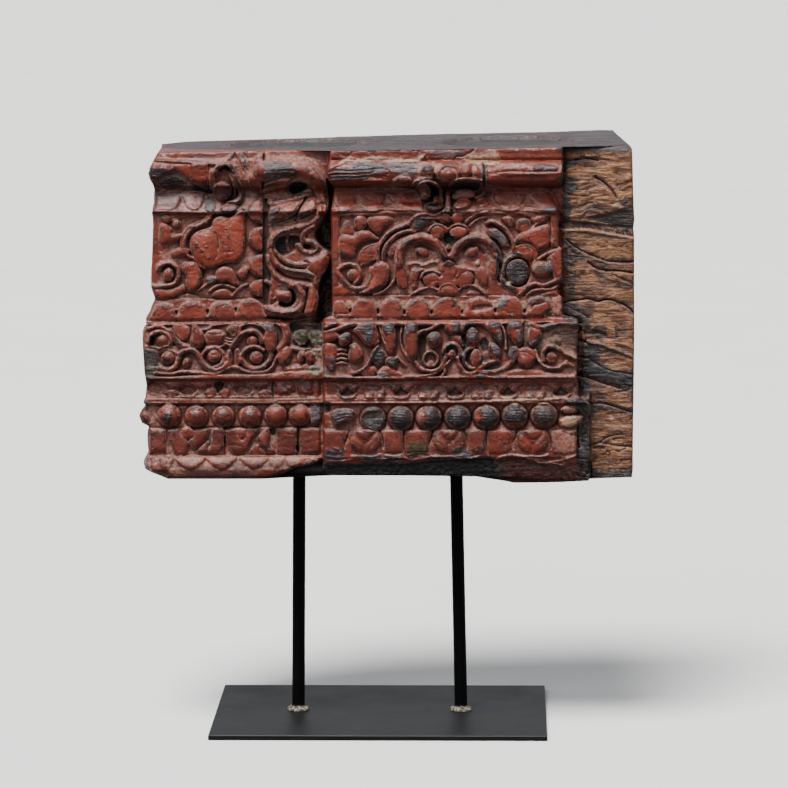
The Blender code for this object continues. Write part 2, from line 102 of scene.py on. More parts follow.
def arc(cu, cv, ru, rv, start, end, n=12):
    """Open arc; degrees, 0 right, 90 up."""
    a = np.radians(np.linspace(start, end, n))
    return np.stack([cu + ru * np.cos(a), cv - rv * np.sin(a)], 1)


class Board:
    TINTS = ("dark", "grey", "pink", "cream", "moss", "bright", "wood", "hole_and_shade", "soot_and_shade", "gold")

    def __init__(self, u0, u1, v0, v1, scale):
        self.u0, self.v0, self.s = u0, v0, scale
        self.nu, self.nv = int((u1 - u0) * scale) + 1, int((v1 - v0) * scale) + 1
        self.U, self.V = np.meshgrid(u0 + np.arange(self.nu) / scale, v0 + np.arange(self.nv) / scale)
        self.F = np.zeros(self.U.shape)
        self.T = {k: np.zeros(self.U.shape) for k in self.TINTS}
        self.rag = fbm(self.U / 2.3, self.V / 2.3, 11, 3)

    def win(self, p, pad):
        a = max(0, int((p[:, 0].min() - pad - self.u0) * self.s))
        b = min(self.nu, int((p[:, 0].max() + pad - self.u0) * self.s) + 2)
        c = max(0, int((p[:, 1].min() - pad - self.v0) * self.s))
        d = min(self.nv, int((p[:, 1].max() + pad - self.v0) * self.s) + 2)
        w = (slice(c, max(d, c)), slice(a, max(b, a)))
        return w, self.U[w], self.V[w]

    @staticmethod
    def seg(U, V, p, closed):
        """Distance to a polyline, and how far along it the nearest point lies (0..1)."""
        q = np.vstack([p, p[:1]]) if closed else p
        best = np.full(U.shape, 1e9)
        along = np.zeros(U.shape)
        n = len(q) - 1
        for i in range(n):
            a, b = q[i], q[i + 1]
            d = b - a
            t = np.clip(((U - a[0]) * d[0] + (V - a[1]) * d[1]) / (d @ d + 1e-9), 0, 1)
            e = (U - a[0] - t * d[0]) ** 2 + (V - a[1] - t * d[1]) ** 2
            m = e < best
            best = np.where(m, e, best)
            along = np.where(m, (i + t) / n, along)
        return np.sqrt(best), along

    @staticmethod
    def inside(U, V, p):
        r = np.zeros(U.shape, bool)
        q = np.roll(p, -1, 0)
        for (x0, y0), (x1, y1) in zip(p, q):
            if y0 == y1:
                continue
            c = ((y0 > V) != (y1 > V)) & (U < (x1 - x0) * (V - y0) / (y1 - y0) + x0)
            r ^= c
        return r

    def signed(self, pts, pad=2.5, n=5, raw=False):
        p = np.asarray(pts, float) if raw else smooth(pts, True, n)
        w, U, V = self.win(p, pad)
        d, _ = self.seg(U, V, p, True)
        return w, U, V, np.where(self.inside(U, V, p), d, -d)

    # strokes
    def boss(self, pts, level, edge=1.7, dome=0.5, reach=4.0, n=5, slope=(0, 0), add=False, raw=False):
        """Flat-topped boss with a steep side: the surface inside the outline is set to a level."""
        w, U, V, d = self.signed(pts, 2.5, n, raw)
        k = sstep((d + edge * 0.6) / edge)
        c = np.mean(np.asarray(pts, float), 0)
        top = level + dome * sstep(d / reach) + slope[0] * (U - c[0]) + slope[1] * (V - c[1])
        if add:
            self.F[w] += k * top
        else:
            self.F[w] = self.F[w] * (1 - k) + top * k

    def rib(self, path, width, level, crown=0.8, edge=1.3, n=5, taper=(1, 1), lift=(0, 0)):
        """Rounded rib along a path."""
        p = smooth(path, False, n)
        w, U, V = self.win(p, width)
        d, t = self.seg(U, V, p, False)
        hw = 0.5 * width * (taper[0] * (1 - t) + taper[1] * t)
        k = sstep((hw - d + edge * 0.6) / edge)
        top = level + lift[0] * (1 - t) + lift[1] * t - crown * np.clip(d / np.maximum(hw, 0.3), 0, 1.2) ** 2
        self.F[w] = self.F[w] * (1 - k) + top * k

    def cut(self, path, width, depth, n=5, taper=(1, 1)):
        """V gouge along a path."""
        p = smooth(path, False, n)
        w, U, V = self.win(p, width)
        d, t = self.seg(U, V, p, False)
        hw = 0.5 * width * (taper[0] * (1 - t) + taper[1] * t)
        self.F[w] -= depth * np.clip(1 - d / np.maximum(hw, 0.2), 0, 1)

    def dome(self, cu, cv, ru, rv, rise, base=0.0, turn=0.0, power=0.5):
        p = ell(cu, cv, ru, rv, turn)
        w, U, V = self.win(p, 1)
        t = math.radians(turn)
        a = ((U - cu) * math.cos(t) + (V - cv) * math.sin(t)) / ru
        b = (-(U - cu) * math.sin(t) + (V - cv) * math.cos(t)) / rv
        r = a * a + b * b
        top = base + rise * np.clip(1 - r, 0, 1) ** power
        self.F[w] = np.where(r < 1, np.maximum(self.F[w], top), self.F[w])

    def pit(self, pts, depth, soft=2.0, n=5):
        """Hollow with sloping sides."""
        w, U, V, d = self.signed(pts, 1.0, n)
        self.F[w] -= depth * sstep(d / soft)

    def tint(self, name, pts, amount=1.0, soft=1.2, rag=1.0, n=4, take=None):
        """Mark a patch of surface; rag makes its border broken."""
        w, U, V, d = self.signed(pts, 3.0, n)
        k = amount * sstep((d + rag * 1.5 * self.rag[w]) / soft + 0.5)
        self.T[name][w] = np.maximum(self.T[name][w], k)
        if take:
            self.T[take][w] *= 1 - k

    def streak(self, name, path, width, amount=1.0, rag=0.6, n=4):
        p = smooth(path, False, n)
        w, U, V = self.win(p, width + 2)
        d, _ = self.seg(U, V, p, False)
        k = amount * sstep((0.5 * width - d + rag * 1.5 * self.rag[w]) / 1.2 + 0.5)
        self.T[name][w] = np.maximum(self.T[name][w], k)

    def sample(self, arr, u, v):
        x = np.clip((u - self.u0) * self.s, 0, self.nu - 1.001)
        y = np.clip((v - self.v0) * self.s, 0, self.nv - 1.001)
        i, j = x.astype(int), y.astype(int)
        fx, fy = x - i, y - j
        return ((arr[j, i] * (1 - fx) + arr[j, i + 1] * fx) * (1 - fy)
                + (arr[j + 1, i] * (1 - fx) + arr[j + 1, i + 1] * fx) * fy)


def blur(a, r):
    """Box blur, twice."""
    for _ in range(2):
        for ax in (0, 1):
            pad = [(0, 0), (0, 0)]
            pad[ax] = (r + 1, r)
            c = np.cumsum(np.pad(a, pad, mode="edge"), axis=ax)
            if ax == 0:
                a = (c[2 * r + 1:, :] - c[:-2 * r - 1, :]) / (2 * r + 1)
            else:
                a = (c[:, 2 * r + 1:] - c[:, :-2 * r - 1]) / (2 * r + 1)
    return a
# ------------------------------------------------------------------ left section
def volute(b, eye, er, ring, width, level, eye_level=None):
    """Scroll: a ring path around a raised eye."""
    b.rib(ring, width, level, 0.9)
    b.dome(eye[0], eye[1], er, er, 1.4, (level - 1.2) if eye_level is None else eye_level)


def draw_left(b):
    F = b.F
    # ground levels: panel and scroll band are sunk behind their carving
    box = lambda u0, u1, v0, v1: [(u0, v0), (u1, v0), (u1, v1), (u0, v1)]
    b.boss(box(146, 262, 214.5, 298.5), -1.3, 1.5, 0, raw=True)
    b.boss(box(140, 322, 324.5, 377), -2.5, 1.6, 0, raw=True)
    b.boss(box(140, 322, 382.5, 396), -1.2, 1.2, 0, raw=True)
    # --- top edge: fillet, pale ridge, broken end of the roll
    b.rib([(153, 159.8), (175, 161.2), (200, 163.2), (214, 163.6), (219, 162.6), (231.5, 156.5), (234.5, 149.5)],
          4.2, 1.6, 1.4)
    b.cut([(178.7, 152.7), (177.2, 159)], 2.0, 0.8)
    b.cut([(181.7, 148.8), (179, 153)], 1.6, 0.6)
    b.cut([(236.5, 148), (235, 155), (240, 163), (243.5, 171)], 3.4, 2.2)
    b.cut([(242, 151), (246.5, 160), (247, 170)], 2.6, 1.8)
    b.boss([(149, 166), (156, 163), (168, 164.5), (174, 169), (173, 176), (164, 180), (153, 181), (148.6, 174)],
           1.4, 2.2, 0.8)
    b.boss([(153, 184), (160, 179), (173, 171), (181, 175), (191, 181), (199, 186.5), (210, 190), (211.5, 192.5),
            (196, 193), (182, 191.5), (168, 190.5), (156, 187.5)], -2.4, 2.4, 0.4)
    for k in range(6):
        v = 175 + 2.6 * k
        b.cut([(158 + 2 * k, v + 2), (172 + 3 * k, v - 1), (184 + 4 * k, v + 3.5)], 1.5, 0.8)
    b.boss([(191, 164.5), (207.5, 164), (208, 188), (201, 186.5), (191.5, 180)], 1.9, 1.6, 0.3)
    b.boss([(174, 165.5), (189.5, 165.5), (190, 178.5), (182, 174), (175.5, 170.5)], 0.9, 1.6, 0.3)
    b.cut([(208.7, 164), (208.4, 188)], 2.0, 2.2)
    b.boss([(209.5, 171), (215, 170.5), (214.5, 188), (209.8, 188.5)], 1.8, 1.4, 0.3)
    # --- roundel with its curl
    b.rib([(215, 173), (218, 167.5), (224, 164.2), (229.5, 165.2), (233, 172), (236, 180), (239.8, 188), (241, 195),
           (237.5, 200.5), (229, 204)], 5.2, 6.6, 1.2)
    b.cut([(219, 170), (223.5, 167), (229, 169), (233.8, 175.3)], 3.0, 4.0)
    b.dome(222.3, 190.9, 9.8, 9.8, 6.2, 2.2)
    b.cut([(225.4, 165.7), (229, 169), (233.8, 173.3)], 1.8, 2.0)
    b.boss([(229, 173), (236, 181), (236.5, 193), (233.5, 198), (232.6, 186)], 3.0, 1.5, 0.2)
    # --- column of half discs
    for v0, v1, r in ((153.5, 167, 8), (168, 194, 15), (197, 224, 15.5), (226.4, 251.7, 15), (254, 277.7, 14.5),
                      (279.2, 296.8, 13.5)):
        m, h = (v0 + v1) / 2, (v1 - v0) / 2
        pts = [(263.2, v0)] + [(263.2 - r * math.cos(math.radians(a)), m + h * math.sin(math.radians(a)))
                               for a in np.linspace(-88, 88, 9)] + [(263.2, v1)]
        b.boss(pts, 3.0, 1.5, 0.7, 4, n=2)
    b.cut([(263.6, 154), (263.6, 297)], 2.2, 2.6)
    # --- scalloped ledge under the roll
    b.boss([(156, 197), (160, 192.5), (168, 192.4), (181, 192), (181.5, 198), (179, 204.5), (172, 210.5), (157, 211),
            (154.5, 205)], 1.4, 1.4, 0.5)
    b.boss([(183.2, 192), (204, 192), (204.2, 200), (200.5, 207), (194, 210.4), (187, 207), (183.4, 200)], 1.5, 1.4, 0.5)
    b.boss([(205.5, 195), (213, 196), (215.5, 203), (213, 210), (206, 210.5), (204.5, 203)], 0.4, 1.6, 0.3)
    b.rib([(153.5, 211.8), (176, 212), (200, 213), (211, 214.6)], 3.0, 1.6, 0.8)
    b.boss([(220.4, 208), (226, 203.6), (233, 203), (238.3, 204.8), (235, 209.5), (228, 212.3), (222, 212)], 2.6, 1.4, 0.6)
    b.cut([(209, 219), (214, 216.4), (221, 215.2), (229, 216), (238, 212.6), (244, 210)], 2.6, 2.4)
    # --- panel: leaves, double arch, volute
    b.boss([(160.5, 219.5), (163.5, 215.8), (168.8, 215.7), (171.4, 218.8), (168.5, 222.6), (163, 223)], 1.7, 1.2, 0.5)
    b.dome(176.7, 224, 4.6, 4.8, 2.0, 0.2)
    b.boss([(160.3, 223.8), (166, 224), (171.2, 228.5), (171.6, 233.6), (177, 234.4), (182.5, 234.2), (180, 238),
            (175.6, 241.7), (168, 244.8), (161, 242.5), (160, 233)], 1.9, 1.3, 0.7)
    b.boss([(213, 221), (217, 217.6), (222, 216.4), (228.6, 217.8), (234, 215), (241, 210.6), (244.6, 214), (244.8, 232), (244.4, 250),
            (240.6, 257), (236, 262.6), (227, 262.6), (220, 264.6), (213, 267.4), (204, 267), (198, 262.6), (193.6, 257), (190.6, 250),
            (190.2, 242), (193, 235), (199, 231), (207, 229), (211.4, 226.6)], 2.6, 1.8, 1.0, 8)
    # raised double rim along its upper left side
    b.rib([(184.6, 250), (184, 242.6), (186, 235.4), (190.6, 229.4), (197.4, 225.4), (204.6, 222.4), (209.6, 218.4), (211.4, 213)],
          3.4, 2.3, 0.8, 1.6)
    b.rib([(181.6, 249), (181, 241.6), (183.2, 234.6), (188.4, 227.8), (196, 223), (203.6, 219.8), (208, 215.6)], 1.8, 1.7, 0.6)
    b.cut([(189, 249), (189.4, 241), (192.4, 234.4), (199, 229.6), (207, 227), (212, 222.6)], 1.5, 1.1)
    b.cut([(179.4, 249), (179, 241), (181.4, 233.4), (187, 226), (195, 221.4), (203, 218.2), (207, 214)], 1.2, 0.6)
    # oval boss and open crack in its middle
    b.boss([(197.6, 237), (203, 232.6), (210, 232.4), (215.6, 237), (218, 245), (217.6, 255), (213, 262.6), (206.6, 264.6), (200.4, 261.4),
            (196, 254), (194.8, 245)], 3.3, 2.4, 1.1, 7)
    b.cut([(214.6, 232.6), (217.2, 237), (218.6, 243), (218.2, 248.6)], 2.0, 2.4)
    b.cut([(218.2, 248), (217.6, 255), (214, 262)], 1.2, 0.6)
    b.streak("hole_and_shade", [(216, 236), (218.2, 242), (218.8, 248.6)], 0.8, 0.8, 0.5)
    b.cut([(204, 247), (209, 253), (211, 260)], 1.1, 0.5)
    b.cut([(198.6, 248), (203, 254.6), (206, 262)], 1.0, 0.45)
    b.cut([(229.4, 223), (228.8, 229), (229.4, 234)], 0.9, 0.4)
    b.cut([(224, 239), (223.4, 245), (224.4, 252)], 0.9, 0.45)
    for k in range(3):
        b.rib([(171, 220.4 - 3 * k), (181, 217.6 - 2.2 * k), (194, 216 - 1.4 * k), (207, 215.6 - 1.2 * k)], 2.2, 0.9 + 0.5 * k, 0.7)
    b.boss([(172, 252.6), (177, 248.6), (185, 247.6), (189.6, 250.6), (186, 255.4), (178, 257), (172, 256)], 1.4, 1.4, 0.6)
    b.boss([(188.6, 262.2), (193, 261.6), (197.6, 265), (201.2, 272), (201.3, 281), (197.8, 287.6), (192.4, 291.2),
            (187.6, 289.6), (185.4, 283), (186.3, 277.7), (183.3, 272.3), (181.5, 267.4), (184, 263)], 2.7, 1.6, 0.9)
    b.rib([(184.5, 249), (188.5, 256), (195, 259.6), (200.5, 266), (204.5, 268.4)], 2.6, 2.5, 0.9)
    b.rib([(158.5, 270), (160.5, 266), (165, 263.4), (170, 263.2), (175.6, 266), (178.4, 271), (178.6, 277), (175.5, 282),
           (169.5, 285.2), (161, 286.6), (151.5, 287.2)], 4.0, 2.5, 1.1)
    b.cut([(161.5, 272), (164, 267.8), (169.5, 266.4), (174, 269), (175, 275), (172, 281), (165, 283)], 2.0, 1.2)
    b.dome(168.7, 274.6, 5.0, 6.8, 2.3, 0.4)
    b.boss([(147, 289.5), (168, 289.6), (178, 287), (183.5, 284.6), (185, 291), (178, 295), (169, 298.2), (152, 299)],
           1.2, 1.4, 0.4)
    b.cut([(204, 269.5), (203.6, 277.5)], 2.2, 2.4)
    b.boss([(206, 280), (208.5, 276.6), (213.5, 276), (217, 279), (214.5, 283), (209, 283.4)], 1.4, 1.4, 0.5)
    b.boss([(215.9, 272), (218.5, 268.6), (224, 266.6), (230.5, 268.2), (234.5, 273), (236.4, 279), (238.7, 285.3),
            (233, 284.6), (227.6, 281.4), (221.5, 282.4), (217, 280), (215.6, 275.6)], 2.5, 1.5, 0.7)
    b.boss([(237.4, 274.5), (240.6, 269.2), (246.5, 266.2), (248.3, 270), (246.5, 276), (242.2, 280)], 2.1, 1.3, 0.5)
    b.rib([(209.5, 291.6), (214, 287.4), (221, 285.2), (228.5, 286), (235.3, 288.6)], 2.8, 2.0, 0.9)
    b.rib([(232.6, 296.6), (236.5, 291), (241, 287.4), (247, 284.4)], 2.8, 2.0, 0.9)
    b.rib([(197.4, 292), (202, 287.8), (206, 285), (209, 282.8)], 2.6, 2.0, 0.9)
    b.boss([(212, 296), (216, 290.6), (224, 289), (230, 291.5), (231.5, 297.4), (221, 298)], 1.0, 1.5, 0.3)
    b.cut([(150, 300.2), (163, 300.1), (172, 298.6), (178, 295.4), (185.6, 293), (194.7, 294), (206.2, 298.3), (233, 298.9),
           (262, 298)], 1.9, 1.8)
    # --- deep recess next to the right section
    down = sstep((b.U - 314) / 6.0) * sstep((b.V - 178) / 7.0) * sstep((326 - b.V) / 10.0)
    F[...] = F * (1 - down) + (-13.0 + 2.0 * b.rag) * down
    # --- curled leaf in high relief beside the recess: its mass first
    b.boss([(264.5, 161), (272, 158.5), (284, 157.4), (296, 157.6), (306, 160), (314, 164.4), (320.5, 171), (325.5, 181),
            (328.5, 194), (329, 206), (325.5, 216), (320, 226), (315.4, 234), (318, 241), (323, 247), (329, 251.4), (329.6, 261),
            (326, 269.4), (321.6, 275), (319.6, 284), (319.4, 298), (316, 311), (309.6, 317), (302, 315.6), (292, 318),
            (278, 316.6), (266, 313), (265, 290), (265, 262), (265.4, 232), (264.4, 200)], 4.6, 3.0, 1.6, 6)
    b.boss([(265, 200), (269, 204), (268.6, 226), (269.4, 250), (271, 268), (268.6, 296), (266.6, 314), (264.4, 314), (264, 250)],
           -1.2, 1.6, 0)
    # the hook: a thick roll that turns over and comes down on the right
    b.rib([(264, 171.4), (276, 170), (289, 169.4), (300, 170), (309, 173.6), (316, 180), (320.4, 189), (322.4, 199),
           (321.6, 209)], 19.5, 12.6, 5.4, 2.4, taper=(1.05, 0.66), lift=(0, -1.2))
    for q in ([(267, 167), (280, 165.4), (293, 165.6)], [(270, 171.6), (283, 170.4), (296, 171.6)],
              [(268, 176.4), (280, 175.4), (293, 177.6), (297, 178.4)], [(300, 164), (310, 168.4), (317, 176)]):
        b.cut(q, 1.5, 0.7)
    b.cut([(297, 158.6), (306, 160.4), (313, 164.6), (320, 170.6), (325, 178)], 2.6, 2.2)
    b.cut([(296, 166), (295.4, 174), (297, 180)], 1.6, 0.8)
    # lips under the hook
    b.boss([(264.6, 184), (272, 181.6), (281, 179.6), (289, 179), (292, 181), (287, 184.4), (276, 186), (266, 188)], 8.4, 1.6, 0.9)
    b.rib([(265, 191), (274, 190), (283, 188), (289.6, 186.4)], 4.8, 7.8, 1.4)
    b.rib([(267.6, 197), (274, 198.4), (281, 196.8), (286, 194.6)], 5.0, 5.8, 1.2)
    b.pit([(288.6, 185.6), (294, 182), (302, 181.6), (308, 185), (305, 190), (300, 193.4), (293, 194.4), (288.4, 190.4)], 9.0, 2.4)
    # pale ridge and two lobes
    b.rib([(270, 202.6), (280, 201), (290, 198.8), (300, 195.6), (309.6, 192.4)], 6.0, 8.8, 1.5, 1.6)
    b.boss([(270, 210), (277, 206), (288, 203.4), (298, 202), (303.6, 200.4), (301, 206), (297.6, 212), (290, 216.8), (281, 219.8),
            (271, 223), (269, 217)], 9.6, 2.2, 2.4, 5)
    b.boss([(301, 208), (305, 202.6), (310, 198.4), (315, 197.6), (317.6, 203), (316, 209), (310, 212.8), (303, 215.6), (297, 219.4),
            (298, 213)], 10.4, 2.0, 2.0, 4)
    b.cut([(306.4, 197.4), (301.4, 205), (298.2, 212), (295, 220)], 2.4, 3.4)
    b.cut([(276, 214.6), (280, 209.6), (283, 205.4)], 1.6, 1.1)
    b.rib([(270, 225), (279, 223.8), (289, 220.4), (297, 217)], 3.4, 6.6, 1.0)
    b.rib([(299, 221.6), (306, 219.4), (312, 216), (316.4, 212)], 3.6, 7.6, 1.0)
    # long band that sweeps back to the left and down
    b.rib([(321, 207), (318.4, 217), (311.6, 223.4), (301, 227), (291, 229), (281, 232), (274, 237.4), (270.8, 244.6), (271, 253)],
          9.0, 10.4, 3.2, 1.9, taper=(0.9, 0.85))
    b.cut([(314, 224.6), (304, 229.4), (294, 231.6)], 1.4, 0.8)
    # hollow of the eye and the curl inside it
    b.pit([(277, 239), (283, 236), (292, 235), (299, 236.4), (300.4, 243), (297, 249), (290, 254.4), (283, 256.4), (277, 251.6),
           (275, 245)], 5.0, 2.4)
    b.rib([(287.6, 237), (286.6, 244), (288.6, 251)], 3.0, 3.4, 1.0)
    b.rib([(314, 226.6), (307, 230), (303, 234.6), (303.6, 240), (309.4, 241.8), (315, 244), (318.4, 248.4), (315.6, 252.6),
           (309, 253.2), (302.4, 250.6), (297.6, 245.6)], 5.4, 9.8, 2.0, 1.6)
    b.pit([(302.6, 246.6), (305.4, 243.8), (309.6, 245.2), (311.6, 248), (308, 249.6), (304, 249)], 4.4, 1.5)
    # broad lobe on the right
    b.boss([(305, 258.4), (312, 255), (320, 251.8), (328.8, 252.4), (329.6, 261), (327, 270), (322, 277.6), (318.8, 286), (312, 286),
            (310, 277), (305.6, 271), (303, 264.6)], 7.6, 3.0, 3.0, 9, slope=(-0.06, 0.02))
    b.cut([(315, 254.4), (318.6, 263), (317.6, 275)], 1.6, 0.8)
    # folds that fan out below the eye
    b.rib([(275, 251), (281, 258.6), (289, 263.2), (298, 265.4), (306, 264.6)], 6.0, 8.6, 2.2, 1.6, taper=(0.6, 1.0))
    b.rib([(270.8, 250), (273.6, 259.6), (280, 266.8), (289, 270.4), (299, 271.8), (307, 273), (312.6, 276)], 7.2, 10.2, 2.8, 1.7,
          taper=(0.7, 0.9))
    b.rib([(267.8, 256), (269.8, 266.6), (275, 275.4), (283, 281.4), (293, 284.2), (304, 285.2), (312.4, 288)], 6.6, 8.8, 2.4, 1.7,
          taper=(0.7, 1.0))
    b.cut([(277, 269.6), (285, 275.6), (295, 278.6), (306, 279.8), (313, 282)], 3.0, 3.2)
    b.cut([(280, 262), (288, 267), (298, 268.6), (307, 268.6)], 1.8, 1.8)
    # lower scroll: band of strands, eye, blade
    b.rib([(292, 284.6), (299, 289.6), (303.2, 297), (302.6, 305), (296.6, 310.8), (286, 313), (272, 311.4), (266, 308.6)],
          9.6, 9.4, 2.6, 1.8, taper=(0.8, 0.7))
    b.cut([(297.6, 286), (303.4, 293), (305, 301.4), (300.6, 309), (292, 314.2)], 1.5, 1.1)
    b.cut([(293.4, 289), (298.4, 295), (299.4, 302), (294.4, 307.8), (285, 310.4)], 1.6, 1.2)
    b.pit([(280, 301), (287, 303), (291.6, 300), (291.4, 293.6), (288, 288.6), (292.4, 288.8), (296, 294.6), (296.2, 301),
           (292.4, 305.6), (285.6, 307.6), (279, 305.6)], 6.5, 1.8)
    b.boss([(271, 293), (277, 291.4), (284, 291.2), (289.6, 293.4), (291, 297.4), (287, 301), (281, 301.4), (276.6, 298.6),
            (271.6, 299)], 7.6, 1.6, 1.2)
    b.cut([(276.4, 295.6), (276, 300.6), (272, 304.4)], 1.8, 2.2)
    b.boss([(276.6, 290), (278, 286.4), (283, 285.4), (288, 287.2), (288.6, 291)], 5.2, 1.4, 0.6)
    b.rib([(266.6, 281.4), (271, 284.4), (273.6, 289.6), (273.4, 296)], 4.4, 6.6, 1.6)
    b.boss([(309, 290), (313, 288.4), (317.4, 293.4), (318.8, 301), (316.6, 309.4), (312.4, 315.4), (308.4, 317), (304.4, 312.6),
            (307, 304.6), (308.4, 296.6)], 8.4, 1.9, 1.6, 4)
    b.cut([(307.6, 288), (306.6, 297), (305, 305), (302.6, 312)], 2.6, 3.4)
    b.cut([(312.8, 292), (313.4, 301), (310, 311.4)], 1.3, 0.7)
    b.cut([(266, 316.6), (280, 318.4), (294, 319), (304, 318), (314, 317)], 3.0, 3.0)
    # --- domes
    for u0, u1, v0, v1 in ((152, 175.6, 303.6, 321), (177.6, 207, 301.4, 320.6), (208.6, 235.6, 302, 319.4),
                           (236.4, 265.6, 298.4, 318.6)):
        c, r = (u0 + u1) / 2, (u1 - u0) / 2
        pts = [(u0 + 0.4, v1)] + [(c - r * math.cos(math.radians(a)), v1 - 4 - (v1 - v0 - 4) * math.sin(math.radians(a)))
                                 for a in np.linspace(8, 172, 9)] + [(u1 - 0.4, v1)]
        b.boss(pts, 2.8, 1.5, 0.5, 4, n=2)
        b.cut([(p[0], p[1]) for p in pts[1:-1]], 1.2, 0.25)
    for u, v in ((176.4, 309), (207.6, 308), (236, 306)):
        b.boss([(u - 4, 301), (u + 4, 301), (u + 0.3, v + 1), (u - 0.3, v + 1)], 0.2, 1.4, 0, raw=True)
        b.pit([(u - 1.2, v + 2), (u + 1.2, v + 2), (u + 1, v + 5), (u - 1, v + 5)], 2.8, 1.0)
    b.cut([(148, 321.4), (200, 321), (265, 319), (292, 318)], 2.0, 1.6)
    # --- scroll band
    b.rib([(143, 322.6), (170, 323.6), (200, 322.4), (240, 321), (276, 320)], 3.2, 0.4, 0.8)
    b.rib([(148.6, 342), (151, 335), (158.2, 331.6), (166, 334.2), (170.8, 340.4), (169.4, 347.4)], 4.4, 2.0, 1.5)
    b.rib([(149, 328.6), (158, 326.2), (165.4, 329), (171, 334.4), (173, 340)], 3.6, 1.2, 1.1)
    b.dome(162.6, 340.6, 6.4, 6.2, 3.4, -1.6)
    b.rib([(146, 346.6), (156, 348), (166, 348.6), (176, 349.4)], 2.6, 0.6, 0.8)
    b.pit([(149.7, 337), (152.5, 335.4), (154.6, 339), (153.8, 345), (150.6, 344.6)], 3.0, 1.4)
    b.rib([(170, 330.6), (174, 338.6), (180, 344.4), (188, 347.8)], 6.4, 2.2, 1.6, taper=(0.8, 1.0))
    b.boss([(172.5, 326), (183, 325), (190, 328), (188.5, 336), (184, 341), (178, 337)], -0.6, 1.6, 0.5)
    b.boss([(192.6, 324), (197, 325.6), (200.5, 330), (204, 334), (204, 342.7), (201.4, 347.4), (196, 348.4),
            (191.4, 345.4), (190.2, 340), (192.2, 334)], 1.4, 1.7, 1.6, 4)
    b.cut([(194.5, 329), (192.8, 338), (194, 346)], 1.8, 1.1)
    b.cut([(199.6, 331), (199.2, 339), (198.4, 346)], 1.2, 0.5)
    b.rib([(201.6, 330), (208, 329), (213.6, 325), (223.4, 323)], 3.2, 0.9, 0.9)
    b.boss([(205.4, 333), (212, 329.4), (221, 330.4), (226.4, 335), (224.6, 341), (217, 345.4), (208.6, 345.6), (205, 341)],
           0.4, 1.7, 1.2, 4)
    b.cut([(207, 333.6), (214, 334.4), (223, 333.4)], 1.3, 0.8)
    b.rib([(206, 347.4), (213, 346.2), (220, 346.8), (226.6, 344)], 2.6, 0.8, 0.9)
    b.boss([(226.6, 329.6), (230.4, 325.6), (236, 322.8), (241, 328), (240.3, 332), (235.4, 339), (232.3, 339),
            (228.8, 333)], 1.9, 1.5, 0.7)
    b.pit([(230.6, 332), (233.4, 330.4), (236, 332.4), (233.4, 336.4)], 2.0, 1.4)
    for k in range(3):
        b.rib([(224.5, 337.6 + 3 * k), (229.6, 339 + 3 * k), (235.4, 337.6 + 3 * k)], 2.2, 0.4, 0.8)
    b.rib(arc(166.8, 358.8, 11.2, 11.0, -20, 338, 18), 5.2, 1.8, 1.6)
    b.dome(168, 357.8, 7.0, 6.8, 3.6, -1.7)
    b.rib([(178.6, 360), (180.6, 353), (185.6, 350), (191.4, 349.8), (196.4, 352), (200, 357), (203, 363),
           (208, 368), (214.6, 369.8), (221.6, 368.4), (227, 364)], 6.0, 2.2, 1.8, taper=(0.8, 1.0))
    b.boss([(182.4, 363), (184.6, 358.6), (188.6, 357.6), (190.8, 361), (188.8, 366.6), (184.2, 367.6)], 0.6, 1.5, 1.1)
    b.rib(arc(213.2, 357.4, 10.8, 9.8, 160, -80, 16), 3.8, 1.9, 1.4)
    b.dome(214, 355.8, 7.2, 7.2, 3.8, -1.7)
    b.cut([(209, 352), (213, 355), (218, 354)], 1.4, 0.8)
    b.boss([(223, 356), (226, 355), (227.4, 359), (225, 362.4), (222.8, 360)], 0.4, 1.2, 0.4)
    b.boss([(227.4, 351.4), (231.4, 350.6), (232.4, 358), (231.4, 366.4), (228, 366.6)], 0.8, 1.5, 0.8)
    b.boss([(234.6, 350), (239, 349), (240.6, 356), (239.4, 364), (235.6, 366)], 0.2, 1.6, 0.7)
    b.boss([(160, 350), (172, 345.6), (180, 347.4), (178, 352), (170, 349.6), (161, 352)], -0.8, 1.6, 0.3)
    b.boss([(142.6, 349), (149, 347), (158, 351), (158.6, 366), (153, 378), (145, 383)], -1.2, 2.2, 0.6)
    b.rib([(157, 373), (170, 374), (184, 371.6), (205, 373.4), (215.7, 373.4), (226.2, 368.9), (236, 367), (247, 371.4),
           (262, 372.2), (270.7, 368.4), (276, 358.8), (280, 352.4), (287, 347.6)], 3.2, 1.2, 0.9)
    b.boss([(143, 376.5), (170, 376.8), (200, 375), (222, 374.6), (262, 374.4), (300, 371), (322, 370), (322, 380),
            (143, 380.5)], 0.9, 1.2, 0.3, raw=True)
    b.rib([(238.6, 330), (242, 325.6), (247.8, 323), (255, 323.2), (262.6, 327)], 2.8, 1.2, 0.8)
    b.rib([(232, 347), (236.4, 340), (241, 334.4), (248, 331.4), (255, 331.4), (260, 335.4), (261.6, 342)], 4.8, 2.2, 1.6)
    b.boss([(263, 326), (267, 323.2), (273, 323), (273.6, 328), (268.6, 330.4), (263.6, 330)], 1.0, 1.4, 0.6)
    b.dome(252.4, 341, 5.8, 5.6, 3.2, -1.8)
    b.rib([(241.8, 359), (243.6, 352), (249, 348), (256.5, 347), (263.6, 350)], 4.0, 2.0, 1.5)
    b.rib([(241.6, 359), (245.6, 365), (253, 368.4), (261.6, 367.4), (268.6, 362), (271.6, 355)], 5.0, 2.0, 1.6)
    b.dome(256.4, 357.4, 7.2, 7.0, 3.8, -1.8)
    b.cut([(251, 354), (256, 356.4), (261.6, 354.4)], 1.4, 0.9)
